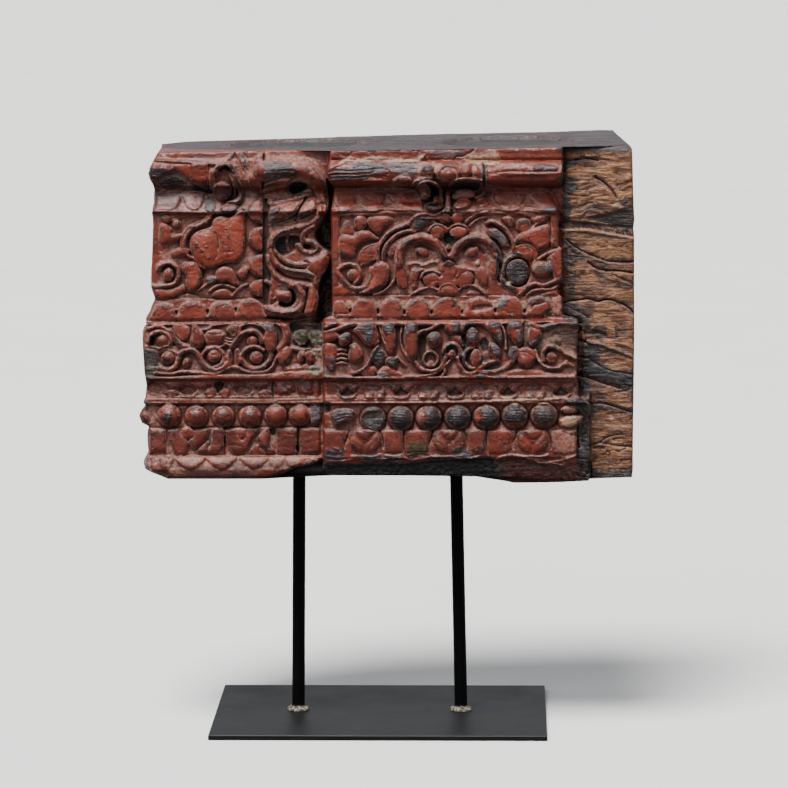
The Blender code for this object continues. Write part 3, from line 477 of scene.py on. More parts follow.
    b.boss([(267.6, 327.6), (271, 325.4), (274.7, 328.2), (277, 335.8), (276.5, 344.7), (274.3, 351.2), (270.7, 355),
            (267.3, 351.2), (265.4, 346), (263.6, 339.6), (265, 332.6)], 2.0, 1.5, 0.9)
    b.rib([(279.6, 321.8), (284, 327), (286.4, 334.6), (284.6, 342), (279.4, 348.8)], 7.4, 2.0, 2.0)
    b.boss([(278, 357), (282, 350.4), (288, 347.8), (292, 350), (290.4, 357.4), (286, 363.6), (280, 364)], 1.6, 1.5, 0.8)
    b.boss([(297.5, 356), (300, 351), (303.6, 350), (305.2, 354), (303.4, 360.6), (299.6, 362.8)], 1.4, 1.4, 0.7)
    b.boss([(306, 352), (310, 351), (314, 355), (313, 362), (308, 364.4), (305.8, 358)], 0.8, 1.5, 0.6)
    b.boss([(286, 366), (300, 364.6), (318, 365.6), (320, 371), (300, 372), (286, 371)], -0.6, 1.6, 0.4)
    b.pit([(289, 323), (296, 319.5), (312, 318.5), (322, 321), (323.6, 332), (322.5, 345), (314, 350), (302, 349),
           (293, 345), (290.6, 333)], 5.5, 3.2)
    b.boss([(293, 333), (299, 330), (306, 331.6), (309, 338), (304.4, 345), (296, 345)], -4.4, 3.2, 0.6, 4)
    b.boss([(310, 333), (317, 330.4), (322.4, 333), (322.4, 346), (316, 349), (311, 343)], -4.4, 3.2, 0.6, 4)
    b.rib([(291, 348), (300, 350.4), (309, 349.6)], 3.0, 0.4, 1.0)
    F[...] += 0.9 * fbm(b.U / 3.4, b.V / 2.8, 301, 3) * sstep((b.U - 284) / 8.0) * sstep((b.V - 319) / 4.0) * sstep((384 - b.V) / 6.0)
    # --- chain band: petals, lens cuts, diamonds
    for c, w in ((174, 11.5), (201, 11.3), (259, 11)):
        b.boss([(c - w, 382.4), (c, 381.4), (c + w, 382.2), (c + w * 0.6, 386), (c, 389), (c - w * 0.6, 386.4)],
               1.5, 1.2, 0.3)
    for c in (187.6, 243.4):
        b.boss([(c - 8.5, 390), (c - 3, 386), (c + 3, 386), (c + 8.5, 390), (c + 3.5, 394), (c - 3.5, 394.2)],
               -3.4, 1.3, 0)
        b.rib([(c - 9, 393), (c - 4, 396.6), (c + 4, 396.6), (c + 9, 393)], 2.4, 0.8, 0.7)
    b.boss([(147, 388.5), (151, 385), (158, 386), (162, 390), (156, 394), (149, 393)], -2.8, 1.3, 0)
    b.boss([(212.4, 388), (219, 381.6), (226, 387.6), (218.6, 394.4)], -3.6, 1.3, 0)
    b.rib([(211, 381.6), (214.4, 388.4), (218, 394.6), (223.6, 388.4), (227.4, 381.6)], 1.9, 1.0, 0.6)
    b.boss([(204.4, 393), (208, 389), (213.4, 387.8), (217, 391.6), (214, 396), (207, 396.8)], 1.0, 1.2, 0.6)
    b.boss([(219, 391.8), (223, 388.4), (228.4, 389), (230.6, 393), (227, 396.4), (221.4, 396)], 1.0, 1.2, 0.6)
    b.boss([(165, 393), (169, 390), (175, 390), (178.6, 393.4), (173, 396.6), (167, 396.4)], 0.8, 1.2, 0.5)
    b.boss([(258, 393), (263, 389.6), (270, 390.4), (272.4, 395), (266, 397.4), (260, 396.6)], 0.8, 1.2, 0.5)
    for q in ([(274.6, 384), (281, 379), (290, 379.4), (295, 385), (290, 393), (281, 396), (275.4, 392)],
              [(296, 382), (304, 378.4), (312, 381), (314, 389), (308, 395.6), (299, 395)],
              [(313, 385), (318, 382), (321, 388), (318.6, 396), (313.6, 395)]):
        b.boss(q, 0.9, 1.6, 0.9)
    b.cut([(273.6, 381), (272.4, 389), (273.6, 400)], 2.2, 2.0)
    b.cut([(283, 386), (289, 391), (296, 392)], 2.0, 1.1)
    b.cut([(301, 383), (306, 390), (311, 391)], 1.8, 1.0)
    b.cut([(145, 397.4), (200, 398.4), (262, 398.4), (320, 397)], 1.7, 1.0)
    b.cut([(145, 401.4), (200, 401.8), (262, 401.8), (318, 400.6)], 1.5, 0.8)
    # --- beads
    b.cut([(142, 405.6), (262, 404.6), (320, 404.6)], 2.6, 1.6)
    for c, cv, ru, rv, h in ((143.8, 416.4, 6, 8.6, 5), (169.2, 415.4, 12.2, 12, 8.2), (196.4, 416.2, 12, 11.8, 8.2),
                             (223.4, 416.4, 11.6, 11.4, 8.2), (250, 416.4, 11.8, 11.6, 8.2), (275.7, 415.2, 11.9, 11.7, 8.2),
                             (300, 414.8, 12, 11.2, 7.4)):
        b.dome(c, cv, ru, rv, h, -0.4)
        b.cut(arc(c, cv, ru + 0.8, rv + 0.8, 0, 360, 26), 2.0, 0.9, n=2)
    b.boss([(309, 408), (315, 404.6), (321, 407), (322, 416), (318, 424), (312, 424), (310, 416)], 3.0, 2.4, 0.8)
    b.boss([(145, 406), (151, 403.4), (156, 408), (157, 417), (154, 424), (149, 425.4), (148.6, 416)], 0.6, 2.2, 0.5)
    b.cut([(150, 404), (152, 412), (150.6, 422)], 2.0, 1.2)
    # --- tulip band
    b.cut([(141, 427.6), (200, 427.2), (260, 426.8), (320, 426.6)], 2.0, 1.6)
    b.boss([(149, 429), (322, 428.4), (322, 455), (149, 455.4)], -0.8, 1.5, 0, raw=True)
    b.boss([(150.4, 429.6), (165.6, 429.4), (166, 452.6), (150.4, 453)], 1.0, 1.5, 0.4, raw=True)
    b.boss([(168, 430.4), (173, 429), (179.2, 429), (180.4, 434.4), (184, 438), (188, 442.2), (187.6, 449.2),
            (185.5, 453.8), (179.9, 455.4), (175, 452.6), (171.6, 446), (168.7, 438)], 1.6, 1.5, 0.6)
    b.dome(187.3, 432.6, 6.7, 6.6, 1.4, 0.6)
    b.boss([(194.2, 431), (201, 429), (208.2, 429), (207.3, 436.8), (202.4, 442.4), (196.8, 447.3), (193.2, 449.4),
            (189.6, 443.8), (189.2, 440.3), (193, 437.4)], 1.6, 1.5, 0.6)
    b.boss([(208.7, 441), (203, 445.4), (196.8, 451.2), (201.7, 454.3), (208, 450)], 1.2, 1.3, 0.4)
    b.boss([(213, 428.8), (223.6, 428.4), (223.8, 444), (220, 451), (213, 453.8), (207.6, 451.4), (211.6, 443)], 1.5, 1.5, 0.5)
    b.cut([(224.9, 428), (224.9, 455)], 1.9, 2.2)
    b.boss([(226.2, 429), (252, 429), (252.6, 438), (249, 447), (242, 453.6), (234, 453.6), (228, 446), (226, 437)],
           1.5, 1.5, 0.6)
    b.cut([(236.6, 429), (237.4, 435), (241.6, 440), (246, 435.6), (247.2, 429)], 1.7, 1.4)
    b.boss([(247.8, 429.2), (258, 428.8), (257, 433.4), (252, 436.4), (248.6, 434)], 1.8, 1.2, 0.4)
    b.boss([(257.5, 444.6), (261.4, 449), (265, 453.4), (253, 453.4), (249.4, 452)], 0.4, 1.3, 0.3)
    b.boss([(257.4, 438), (261.7, 432.6), (267.3, 428.6), (269.6, 434.6), (268.6, 440.3), (271, 446), (274.3, 451.8),
            (268.7, 453.2), (262.6, 448.6), (258.7, 443)], 1.7, 1.5, 0.6)
    b.pit([(269.6, 428.4), (275, 428), (275, 434), (271.6, 435.4)], 2.4, 1.4)
    b.boss([(277, 428), (296.8, 427.6), (296.8, 454), (277, 454)], 1.3, 1.5, 0.4, raw=True)
    b.cut([(298.4, 427), (298, 440), (298, 454)], 2.2, 2.6)
    b.pit([(295.4, 446), (298.4, 444.6), (300, 449), (298, 452), (295.6, 450)], 2.4, 1.2)
    b.boss([(300, 428.2), (320.6, 427.6), (320.6, 453), (300, 454.4)], 1.2, 1.5, 0.4, raw=True)
    F[...] += 0.35 * fbm(b.U / 9.0, b.V / 2.2, 303, 3) * sstep((b.V - 428) / 2.0) * sstep((456 - b.V) / 2.0)
    # --- hanging petals on the lower roll
    for c, v, w, h in ((190.4, 456.8, 14.5, 12.4), (221.6, 456.8, 13.6, 12.4), (254, 456.4, 13.4, 12.2)):
        b.boss([(c - w, v), (c + w, v - 0.6), (c + w * 0.84, v + h * 0.45), (c + w * 0.4, v + h * 0.84), (c, v + h),
                (c - w * 0.4, v + h * 0.84), (c - w * 0.84, v + h * 0.48)], 1.4, 1.3, 0.4)
    b.boss([(161, 457), (173.4, 457), (171.4, 465), (166, 469.6), (161.4, 468)], 1.1, 1.4, 0.4)
    b.boss([(268.6, 456), (282, 455.4), (286, 458), (281, 465), (274.4, 468), (270, 463)], 1.0, 1.4, 0.4)
    b.boss([(286.6, 456.4), (308, 455.2), (304, 461), (296, 465.4), (289.4, 466)], 0.8, 1.4, 0.4)
    b.cut([(146, 456.4), (200, 455.8), (262, 455.4), (320, 454.6)], 1.8, 1.4)
    # the underside has split away towards the right, leaving a hollow that is painted black as shade
    away = sstep((b.V - np.interp(b.U, (258, 272, 284, 294.6, 312, 323), (479, 475.6, 472, 466.6, 463, 457.6))) / 3.0)
    away *= sstep((b.U - 262) / 10.0) * (b.U < 326)
    F[...] -= 8.0 * away
    b.T["hole_and_shade"] = np.maximum(b.T["hole_and_shade"], away)
    b.boss([(143.5, 460), (147, 455), (151, 459), (150.6, 468), (158, 472), (166, 475), (164, 480), (150, 476),
            (143, 470)], -2.6, 2.4, 0.5)


def tint_left(b):
    g = lambda pts, a=1.0, s=1.4, r=1.0, t=None: b.tint("grey", pts, a, s, r, take=t)
    d = lambda pts, a=1.0, s=1.4, r=1.0, t=None: b.tint("dark", pts, a, s, r, take=t)
    d([(153, 186), (158, 180), (166, 176), (173.3, 171.6), (181.7, 175.4), (191, 181.6), (198.6, 186.8), (210, 190),
       (211.6, 192), (197, 192.4), (181.7, 191), (168, 190), (156, 187)])
    d([(150, 168), (160, 167), (173, 170.6), (168, 177), (155, 179), (149.4, 175)], 0.75, 2, 1.4)
    d([(242, 152), (246.4, 152), (247.4, 168), (243.6, 170)], 0.9)
    d([(225, 166), (229, 166.4), (234, 173), (232, 174.4)], 0.8)
    g([(205, 195), (214, 195.6), (215.6, 204), (213, 210.6), (205.6, 210)], 0.8, 1.5, 1.2)
    g([(226, 219), (231, 219), (230, 240), (228.6, 253), (225, 252), (225.6, 236)], 0.4, 1, 1.6)
    g([(206, 277), (212, 275.6), (217, 279), (213, 283.4), (207.6, 283)], 0.9)
    g([(265, 162), (278, 160.6), (290, 163), (293, 170), (288, 172.6), (277, 173.4), (276, 178), (270, 181), (265, 180)], 0.95, 1.5, 1.0)
    d([(274, 175), (284, 172.6), (293, 172), (296, 168), (297.4, 172), (294, 179), (284, 177.4), (274, 181)], 0.8, 1.6, 1.2)
    g([(300, 161), (309, 164), (317, 171), (321, 178), (317, 178), (309, 169.4)], 0.4, 1.5, 1.4)
    # pale pink on the upper ridges of the hook: dust, and a painted highlight
    b.tint("pink", [(272, 158), (297, 158.6), (298, 166), (284, 167), (276, 163)], 0.5, 1.5, 1.6)
    b.tint("pink", [(273, 203), (292, 198), (310, 192), (313, 196), (301, 204), (286, 205)], 0.6, 1.5, 1.2)
    b.tint("pink", [(281, 208), (297, 203), (296, 210), (286, 217), (279, 219)], 0.5, 1.5, 1.2)
    b.tint("pink", [(300, 210), (308, 201), (314, 199), (316, 206), (308, 211), (300, 214)], 0.55, 1.5, 1.2)
    b.tint("pink", [(276, 231), (300, 225), (316, 218), (314, 224), (298, 230), (280, 236)], 0.4, 1.5, 1.4)
    g([(268.6, 224), (268.8, 214), (272, 209.6), (279, 208.6), (276, 216), (275, 224)], 0.85, 1.5, 1.0)
    d([(270, 224), (278, 222), (287, 219), (292, 212), (295, 212), (294, 220), (284, 224.4), (270, 227)], 0.85, 1.4, 1.0)
    g([(297, 219), (304, 216), (312, 212.6), (312, 215), (304, 220), (297, 222)], 0.7, 1.3, 1.0)
    g([(277, 286), (286, 285), (289, 290.4), (278, 290.6)], 0.8, 1.3, 1.0)
    d([(274, 238), (281, 235.4), (286, 238), (286, 252), (281, 257), (275, 250)], 0.85, 1.6)
    d([(288, 236), (295, 235.6), (296, 244), (290, 247)], 0.8, 1.6)
    g([(276, 241), (280, 239), (281, 250), (277, 250)], 0.5, 1.6)
    # painted shade: the deep recess beside the right section is tinted dark
    b.tint("dark", [(321, 180), (327, 184), (334, 196), (334, 318), (318, 318), (319, 280), (329, 266), (330, 250), (320, 240), (316, 233),
                    (326, 218), (330, 206), (327, 190)], 0.9, 2, 0.8)
    b.tint("moss", [(316, 229), (322, 226), (324, 236), (320, 240), (316, 238)], 0.95, 2, 1.5)
    b.tint("moss", [(324, 236), (331, 236), (332, 248), (325, 247)], 0.6, 2, 2.0)
    b.tint("moss", [(321, 216), (330, 212), (331, 230), (322, 230)], 0.35, 2, 2.5)
    g([(321, 246), (331, 246), (331, 251), (322, 251)], 0.6, 1.4, 1.2)
    # painted shade in the hollow under the hook
    d([(286, 185), (297, 181.6), (311, 184), (305, 193), (290, 196)], 0.9, 2)
    d([(142, 352), (150, 349.6), (158.6, 354), (158, 368), (152, 384), (144.6, 384)], 0.95, 1.6, 1.4)
    b.tint("moss", [(147, 366), (155, 362), (156, 376), (149, 380)], 0.5, 2, 2.0)
    d([(149.7, 336), (154.4, 335.6), (154, 345), (150, 345)], 0.9)
    g([(263, 324), (273, 322.6), (273.6, 328), (264, 330.6)], 0.95)
    g([(266, 327), (272, 326), (275, 330), (270, 333)], 0.6)
    d([(262, 353), (268, 353.6), (268, 360), (262.6, 360)], 0.6)
    d([(289.6, 320), (300, 317.6), (322, 319), (322, 344), (312, 350), (299, 348), (291, 340)], 0.9, 2)
    b.tint("moss", [(296, 331), (306.4, 331), (306, 342), (298, 343)], 0.9, 2, 1.8)
    b.tint("moss", [(312, 334), (322.4, 333), (322.6, 356), (314, 355)], 0.85, 2, 1.8)
    b.tint("moss", [(307, 366.4), (322.4, 366.4), (322.4, 375.4), (308, 375)], 0.9, 2, 1.8)
    g([(278, 384), (287, 380), (290, 388), (283, 394), (277, 391)], 0.5, 1.6, 1.5)
    g([(298, 382), (307, 380), (312, 386), (306, 393), (299, 391)], 0.5, 1.6, 1.5)
    d([(165, 413), (170, 412.6), (171.4, 420), (167.4, 423), (164.6, 419)], 0.95)
    d([(189, 408), (196, 404.6), (204, 408), (200, 409.6), (193, 409.6)], 0.8)
    g([(247, 412), (253, 412), (253, 418), (247.6, 418)], 0.6)
    g([(309, 408), (318, 404.8), (322, 410), (321.4, 422), (313, 424.6), (310, 418)], 0.85, 1.6, 1.2)
    g([(292, 405), (303, 403.6), (308, 408), (300, 409)], 0.4)
    b.tint("pink", [(144.6, 404), (156, 403.6), (157, 425), (149, 425.6)], 0.9, 1.6, 1.4)
    d([(144, 455), (149, 453), (151, 460), (150, 470), (160, 473.4), (168, 476), (168, 481), (148, 480), (142, 470)], 1, 1.6, 1.4)
    g([(146, 470), (154, 471.6), (166, 476), (160, 478), (148, 474)], 0.5, 1.4, 1.4)
    b.tint("pink", [(314, 463), (324, 462), (325, 470), (316, 470)], 0.8, 1.4, 1)
    for q in ([(178, 457), (200, 456.4), (201, 462), (192, 467), (184, 466)], [(210, 457), (234, 456), (234, 461), (222, 462), (211, 461)],
              [(168, 463), (180, 467), (188, 471), (200, 465), (210, 463), (216, 469), (224, 471), (236, 465), (243, 462), (250, 468),
               (262, 469), (262, 474), (240, 476), (200, 477), (172, 476)], [(262, 458), (300, 455), (318, 456), (300, 463), (280, 470), (262, 468)]):
        b.tint("pink", q, 0.85, 1.8, 1.6)
    b.tint("cream", [(166, 464), (178, 466), (186, 471), (178, 475), (168, 473)], 0.45, 1.8, 2.0)
    b.tint("cream", [(198, 464), (208, 461), (212, 467), (204, 469)], 0.35, 1.8, 2.0)
    b.tint("cream", [(262, 463), (276, 464), (284, 470), (270, 472)], 0.35, 1.8, 2.2)
    # pale pink along the ledge and the top of the lower roll that face up: dust, and a painted highlight
    b.tint("pink", [(150, 397), (230, 398), (320, 397), (320, 403), (240, 403.6), (200, 402), (150, 404)], 0.7, 1.6, 1.8)
    b.tint("pink", [(158, 370.6), (200, 370.8), (230, 369), (276, 370), (270, 374), (200, 373.6), (158, 373.6)], 0.7, 1.2, 1.2)
    b.tint("pink", [(184, 388.6), (200, 389), (196, 395), (180, 394)], 0.6, 1.4, 1.2)
    b.tint("cream", [(238, 389), (250, 389), (254, 393), (236, 393)], 0.5, 1.4, 1.2)
    d([(143, 402), (148, 401), (148, 409), (143, 409)], 0.9, 1.4, 1.0)
    g([(207, 438), (211, 437), (212, 443), (208, 444)], 0.8, 1.2, 1.0)
    for c in (250.6, 223, 196):
        g([(c - 5, 412), (c + 4, 412), (c + 3.4, 416), (c - 4, 417)], 0.6, 1.2, 1.4)
    d([(321, 402.8), (330.6, 402.6), (330, 413), (322, 413)], 1.0, 1.4, 0.6)
    g([(192, 164.6), (207, 164), (207.4, 167.4), (192, 168)], 0.3)
    for c, q in ((165, 304), (191.5, 302), (221.5, 303), (251, 299.4)):
        g([(c - 8, q + 2.4), (c, q - 0.6), (c + 8, q + 2), (c + 6, q + 4), (c - 5, q + 4.4)], 0.45, 1.2, 1.6)
    # bright paint on the large leaf, the crescent and the half discs, with chips
    b.tint("bright", [(213, 222), (228, 218.6), (243, 213), (244, 250), (236, 261), (213, 266), (203, 265), (193, 254), (192, 240),
                      (200, 232), (211, 229)], 0.62, 2.6, 2.4)
    b.tint("bright", [(187, 264), (194, 262.6), (199.6, 271), (199.6, 281), (194, 289), (188, 287)], 0.55, 2.0, 1.8)
    b.tint("bright", [(309, 291), (314, 291), (317, 300), (314, 312), (309, 314), (308, 304)], 0.6, 1.8, 1.6)
    for v0, v1 in ((172, 190), (202, 219), (230, 248), (258, 274), (283, 294)):
        b.tint("bright", [(250, v0 + 2), (261, v0), (261.6, v1), (251, v1 - 2)], 0.38, 2.2, 2.0)
    for u, v, ru, rv in ((196.6, 245.6, 1.7, 3.2), (203, 236, 2.2, 1.1), (206.4, 241.6, 1.3, 1.5), (200, 251.6, 2.4, 1.3), (211, 236, 1.2, 1.6),
                         (205.6, 247, 1.2, 1.2), (209, 258, 1.0, 1.2), (226, 229, 1.2, 2.4), (228.6, 236.6, 1.2, 3.0), (227.4, 246, 1.1, 2.0),
                         (223.6, 242, 1.0, 1.6), (240, 206.4, 4.0, 1.5), (234, 211, 5.0, 1.2), (236, 168, 2.0, 2.6), (192.4, 226.6, 1.6, 1.1),
                         (188, 237.6, 1.0, 2.0), (206, 299.6, 2.0, 0.9)):
        d(ell(u, v, ru, rv), 0.9, 1.0, 0.9)
    b.tint("pink", [(170, 213), (206, 211.6), (207, 217), (190, 222), (176, 226), (170, 221)], 0.12, 1.8, 1.6)
    # pale pink on the raised double rim: dust, and a painted highlight
    b.tint("pink", [(184, 247), (182.6, 240), (186, 233), (194, 226), (206, 220.4), (209, 223), (198, 228.4), (190, 235.6), (187.6, 247)],
           0.55, 1.4, 1.4)
    b.tint("pink", [(160, 251), (170, 249), (171, 259), (161, 259)], 0.7, 1.6, 1.4)
    # painted shade in the lee of each course, under the overhangs and along the underside, broken up by noise
    V = b.V
    b.T["soot_and_shade"] = np.maximum(0.72 * sstep((V - 426) / 3.0) * sstep((458 - V) / 3.0), 0.45 * sstep((V - 185) / 2.0) * sstep((196 - V) / 5.0) * (b.U < 262))
    b.T["soot_and_shade"] = np.maximum(b.T["soot_and_shade"], 0.32 * sstep((V - 379) / 2.0) * sstep((404 - V) / 3.0))
    b.T["soot_and_shade"] = np.maximum(b.T["soot_and_shade"], 0.6 * sstep((V - 462) / 4.0) * sstep((164 - b.U) / 6.0))
    b.T["soot_and_shade"] = np.maximum(b.T["soot_and_shade"], 1.0 * sstep((V - 459) / 4.0))
    b.T["soot_and_shade"] = np.maximum(b.T["soot_and_shade"], 1.25 * sstep((V - 188) / 3.0) * sstep((216 - V) / 3.0) * sstep((258 - b.U) / 6.0))
    b.T["soot_and_shade"] = np.maximum(b.T["soot_and_shade"], 0.38 * sstep((164 - V) / 4.0) * sstep((262 - b.U) / 6.0))
    b.T["soot_and_shade"] = np.maximum(b.T["soot_and_shade"], 0.30 * sstep((V - 316) / 3.0) * sstep((380 - V) / 3.0))
    b.T["soot_and_shade"] *= np.clip(0.8 + 0.9 * noise(b.U / 16.0, V / 8.0, 77), 0, 1)
# ------------------------------------------------------------------ right section and raw end
def draw_right(b):
    F = b.F
    box = lambda u0, u1, v0, v1: [(u0, v0), (u1, v0), (u1, v1), (u0, v1)]
    b.boss(box(336, 560, 215, 295.5), -1.2, 1.5, 0, raw=True)
    b.boss(box(320, 582, 322, 376), -2.9, 1.6, 0, raw=True)
    # --- top edge: worn bright ridge, roll split along its length
    b.rib([(338, 164.4), (346.7, 159.9), (360, 160.6), (378, 159.4), (398, 160.6), (417.5, 160.4), (424, 156.2)], 3.4, 2.6, 1.2)
    b.cut([(334, 152), (342, 155), (347, 158.6)], 2.0, 0.8)
    b.cut([(352, 152), (349.5, 155.5), (345, 160)], 2.2, 1.0)
    b.cut([(399, 150), (400.4, 158.6)], 1.4, 0.6)
    b.cut([(419, 150), (418, 157)], 1.4, 0.6)
    b.rib([(326, 176), (329, 170), (337, 165), (345, 163)], 3.0, 1.2, 1.0)
    b.cut([(328, 172.4), (336, 170.4), (350, 171), (366, 169.6), (378, 168.6)], 2.6, 2.0, taper=(1.2, 0.3))
    b.cut([(329, 178.6), (342, 177.6), (356, 178), (367, 176.4)], 2.4, 2.0, taper=(1.2, 0.3))
    b.cut([(330, 174.9), (345, 174.4), (364, 173.4), (375, 172.6)], 1.2, 0.9)
    for k, (u, v) in enumerate(((368, 167), (374, 172), (382, 169), (390, 174), (398, 168), (405, 173), (412, 170), (384, 177),
                                (396, 178), (362, 166), (371, 177), (418, 166))):
        b.cut([(u - 3.5, v + 0.7), (u, v - 0.6), (u + 3.5, v + (k % 3 - 1) * 0.7)], 1.6, 0.8)
    b.dome(402.6, 181, 9, 5, 3.2, 1.6)
    b.boss([(362, 181), (372, 178.6), (384, 180.4), (390, 183.6), (374, 185.4)], 1.0, 1.5, 0.5)
    # stepped crack across the top
    b.cut([(473.6, 148), (472, 151.6), (467.2, 154.8), (463.2, 156.3), (455.4, 157), (454.4, 161.6), (451.6, 164)], 2.6, 2.0)
    b.cut([(418, 150), (423, 154), (428, 158), (431, 163)], 2.0, 1.0)
    b.boss([(464, 156.6), (472, 153.6), (486, 152.8), (499, 153), (501, 158), (497, 165), (485, 164.4), (474, 165), (466, 162)],
           0.8, 1.6, 0.5)
    b.cut([(477, 153), (483, 158), (491, 161), (500, 160.6)], 1.8, 0.8)
    # rosette on the roll and its leaves
    b.boss([(421, 171), (424, 166.4), (429, 165.2), (433.6, 168), (433.8, 173.4), (430.4, 177), (425, 176.6)], 3.4, 1.6, 1.4)
    b.boss([(434, 166), (440, 160), (448, 158.6), (456, 161), (460, 167), (458, 178), (452, 183), (444, 183.4), (437, 179),
            (434, 172)], 1.4, 1.8, 0.6)
    b.dome(448.4, 175.6, 6.6, 6.6, 3.2, 2.2)
    b.rib(arc(448.4, 175.2, 9.8, 10, 200, -20, 12), 2.6, 3.0, 1.0)
    b.boss([(461, 161.4), (467, 159.6), (471.4, 164), (471, 172), (467, 176), (461.6, 175)], 2.4, 1.5, 0.9)
    b.boss([(472.4, 168), (477.4, 166.6), (480.4, 171), (480, 178), (474, 178.4)], 2.0, 1.4, 0.7)
    b.cut([(483, 163), (484.4, 172), (484, 185)], 3.4, 3.0)
    b.boss([(488, 176), (499.4, 175.6), (500, 184.4), (488.4, 185)], 1.2, 1.3, 0.4)
    b.rib([(449.6, 185.6), (454, 181.6), (460, 179.4), (467.2, 178.6), (474.2, 179.6), (481.2, 180.6)], 2.8, 3.8, 1.0)
    b.pit([(454, 184.6), (462, 181.8), (474, 182), (480.6, 184), (478, 190), (466, 190.8), (456, 189)], 4.0, 2.0)
    # arch and hanging bead
    b.rib([(417.6, 188), (420.4, 184), (425, 181.8), (431, 182.4), (436.6, 185.4), (440, 190), (441.4, 196)], 3.4, 9.4, 1.2)
    b.rib([(413, 185), (418, 181), (424, 178.6), (431, 178)], 4.4, 4.0, 1.2)
    b.pit([(427, 186), (431.6, 184.8), (436, 188), (436.8, 195), (433, 196), (431.6, 190)], 4.4, 1.6)
    b.dome(424.8, 192, 6.4, 8.4, 6.2, 6.0)
    b.boss([(434, 196), (439, 194.6), (443.6, 198), (442.4, 204), (436, 204), (432.6, 200)], 4.4, 1.6, 0.7)
    b.boss([(424.4, 206), (428, 202.6), (434, 201.8), (440.4, 203.2), (443.8, 206), (440.6, 208.8), (434, 210), (427.6, 209)],
           5.4, 1.5, 0.8)
    b.boss([(452, 197), (456, 191), (463, 188.8), (471, 190), (475.4, 194), (472, 198), (463, 198.8), (455, 200)],
           6.8, 1.6, 1.0, slope=(0, -0.12))
    b.boss([(453.6, 205), (458, 199.8), (464.4, 198.4), (471, 201), (469, 205.8), (462, 208.4), (455.4, 208.4)], 5.4, 1.5, 0.8)
    b.rib([(447.6, 194), (448, 201), (448, 210)], 5.2, 6.4, 1.2)
    b.cut([(441.6, 210.6), (447, 209.2), (452.6, 210.8)], 3.0, 2.4)
    b.rib([(476, 197.6), (481.6, 195.4), (485.4, 191.4), (490, 190)], 3.2, 5.0, 1.0)
    b.boss([(478, 199), (484, 197.6), (489, 200), (488, 205.6), (481, 207), (476.4, 204)], 3.0, 1.5, 0.6)
    # right half of the roll: patch, long crack, rounded end
    b.cut([(497, 172.6), (510, 171.4), (530, 171.8), (546, 171.2), (557, 171.8)], 1.8, 1.6)
    b.cut([(505, 166.6), (520, 165.6), (533, 166.4)], 1.4, 0.8)
    b.cut([(509, 177.6), (526, 177.2), (541, 177.8)], 1.3, 0.6)
    b.rib([(509, 174.8), (524, 174), (546, 174.2)], 1.8, 1.1, 0.6)
    b.boss([(534.6, 166), (545, 165.2), (556, 166.8), (556, 170), (545, 170.8), (535, 170.4)], 0.9, 1.2, 0.3)
    # --- scalloped ledge
    for pts in ([(333.6, 190), (356, 190), (356.2, 198), (352, 205.6), (344, 209.4), (337, 207.6), (333.6, 201)],
                [(357.2, 190), (385, 190), (385.2, 199), (380.6, 206), (372.6, 209), (364.6, 206.4), (358.2, 199.6)],
                [(386.4, 190), (416, 190), (421, 200), (421, 208.6), (408, 208.8), (396, 204.4), (389, 198)],
                [(494, 189), (525.4, 189), (525.6, 198), (520.6, 205), (510, 208.6), (500, 206), (494.6, 199)],
                [(527, 189), (545, 189), (551, 197), (557, 205.8), (548, 208.6), (538, 206), (530, 200), (527, 194)]):
        b.boss(pts, 1.7, 1.4, 0.5)
    for q in ([(331, 210.6), (345, 210.4), (358, 207.4), (372, 210.8), (386, 207), (398, 209.4), (422, 210.6)],
              [(476, 210.4), (494, 207.6), (510, 210.8), (526, 206.6), (540, 209.6), (557, 209.6)]):
        b.rib(q, 2.6, 1.7, 0.8)
    b.cut([(337, 214.6), (347, 213), (358, 212.4), (372, 213.4), (383, 211), (400, 211.8), (421, 211.4)], 2.0, 1.9)
    b.cut([(480, 212.4), (500, 211.4), (520, 211.6), (534, 213.4)], 2.0, 1.6)
    b.rib([(331, 213.4), (345, 215.6), (360, 215), (380, 214.4), (400, 215.4)], 2.4, 0.9, 0.6)
    b.rib([(500, 214.6), (520, 215), (536, 216.4), (549, 216)], 2.4, 0.9, 0.6)
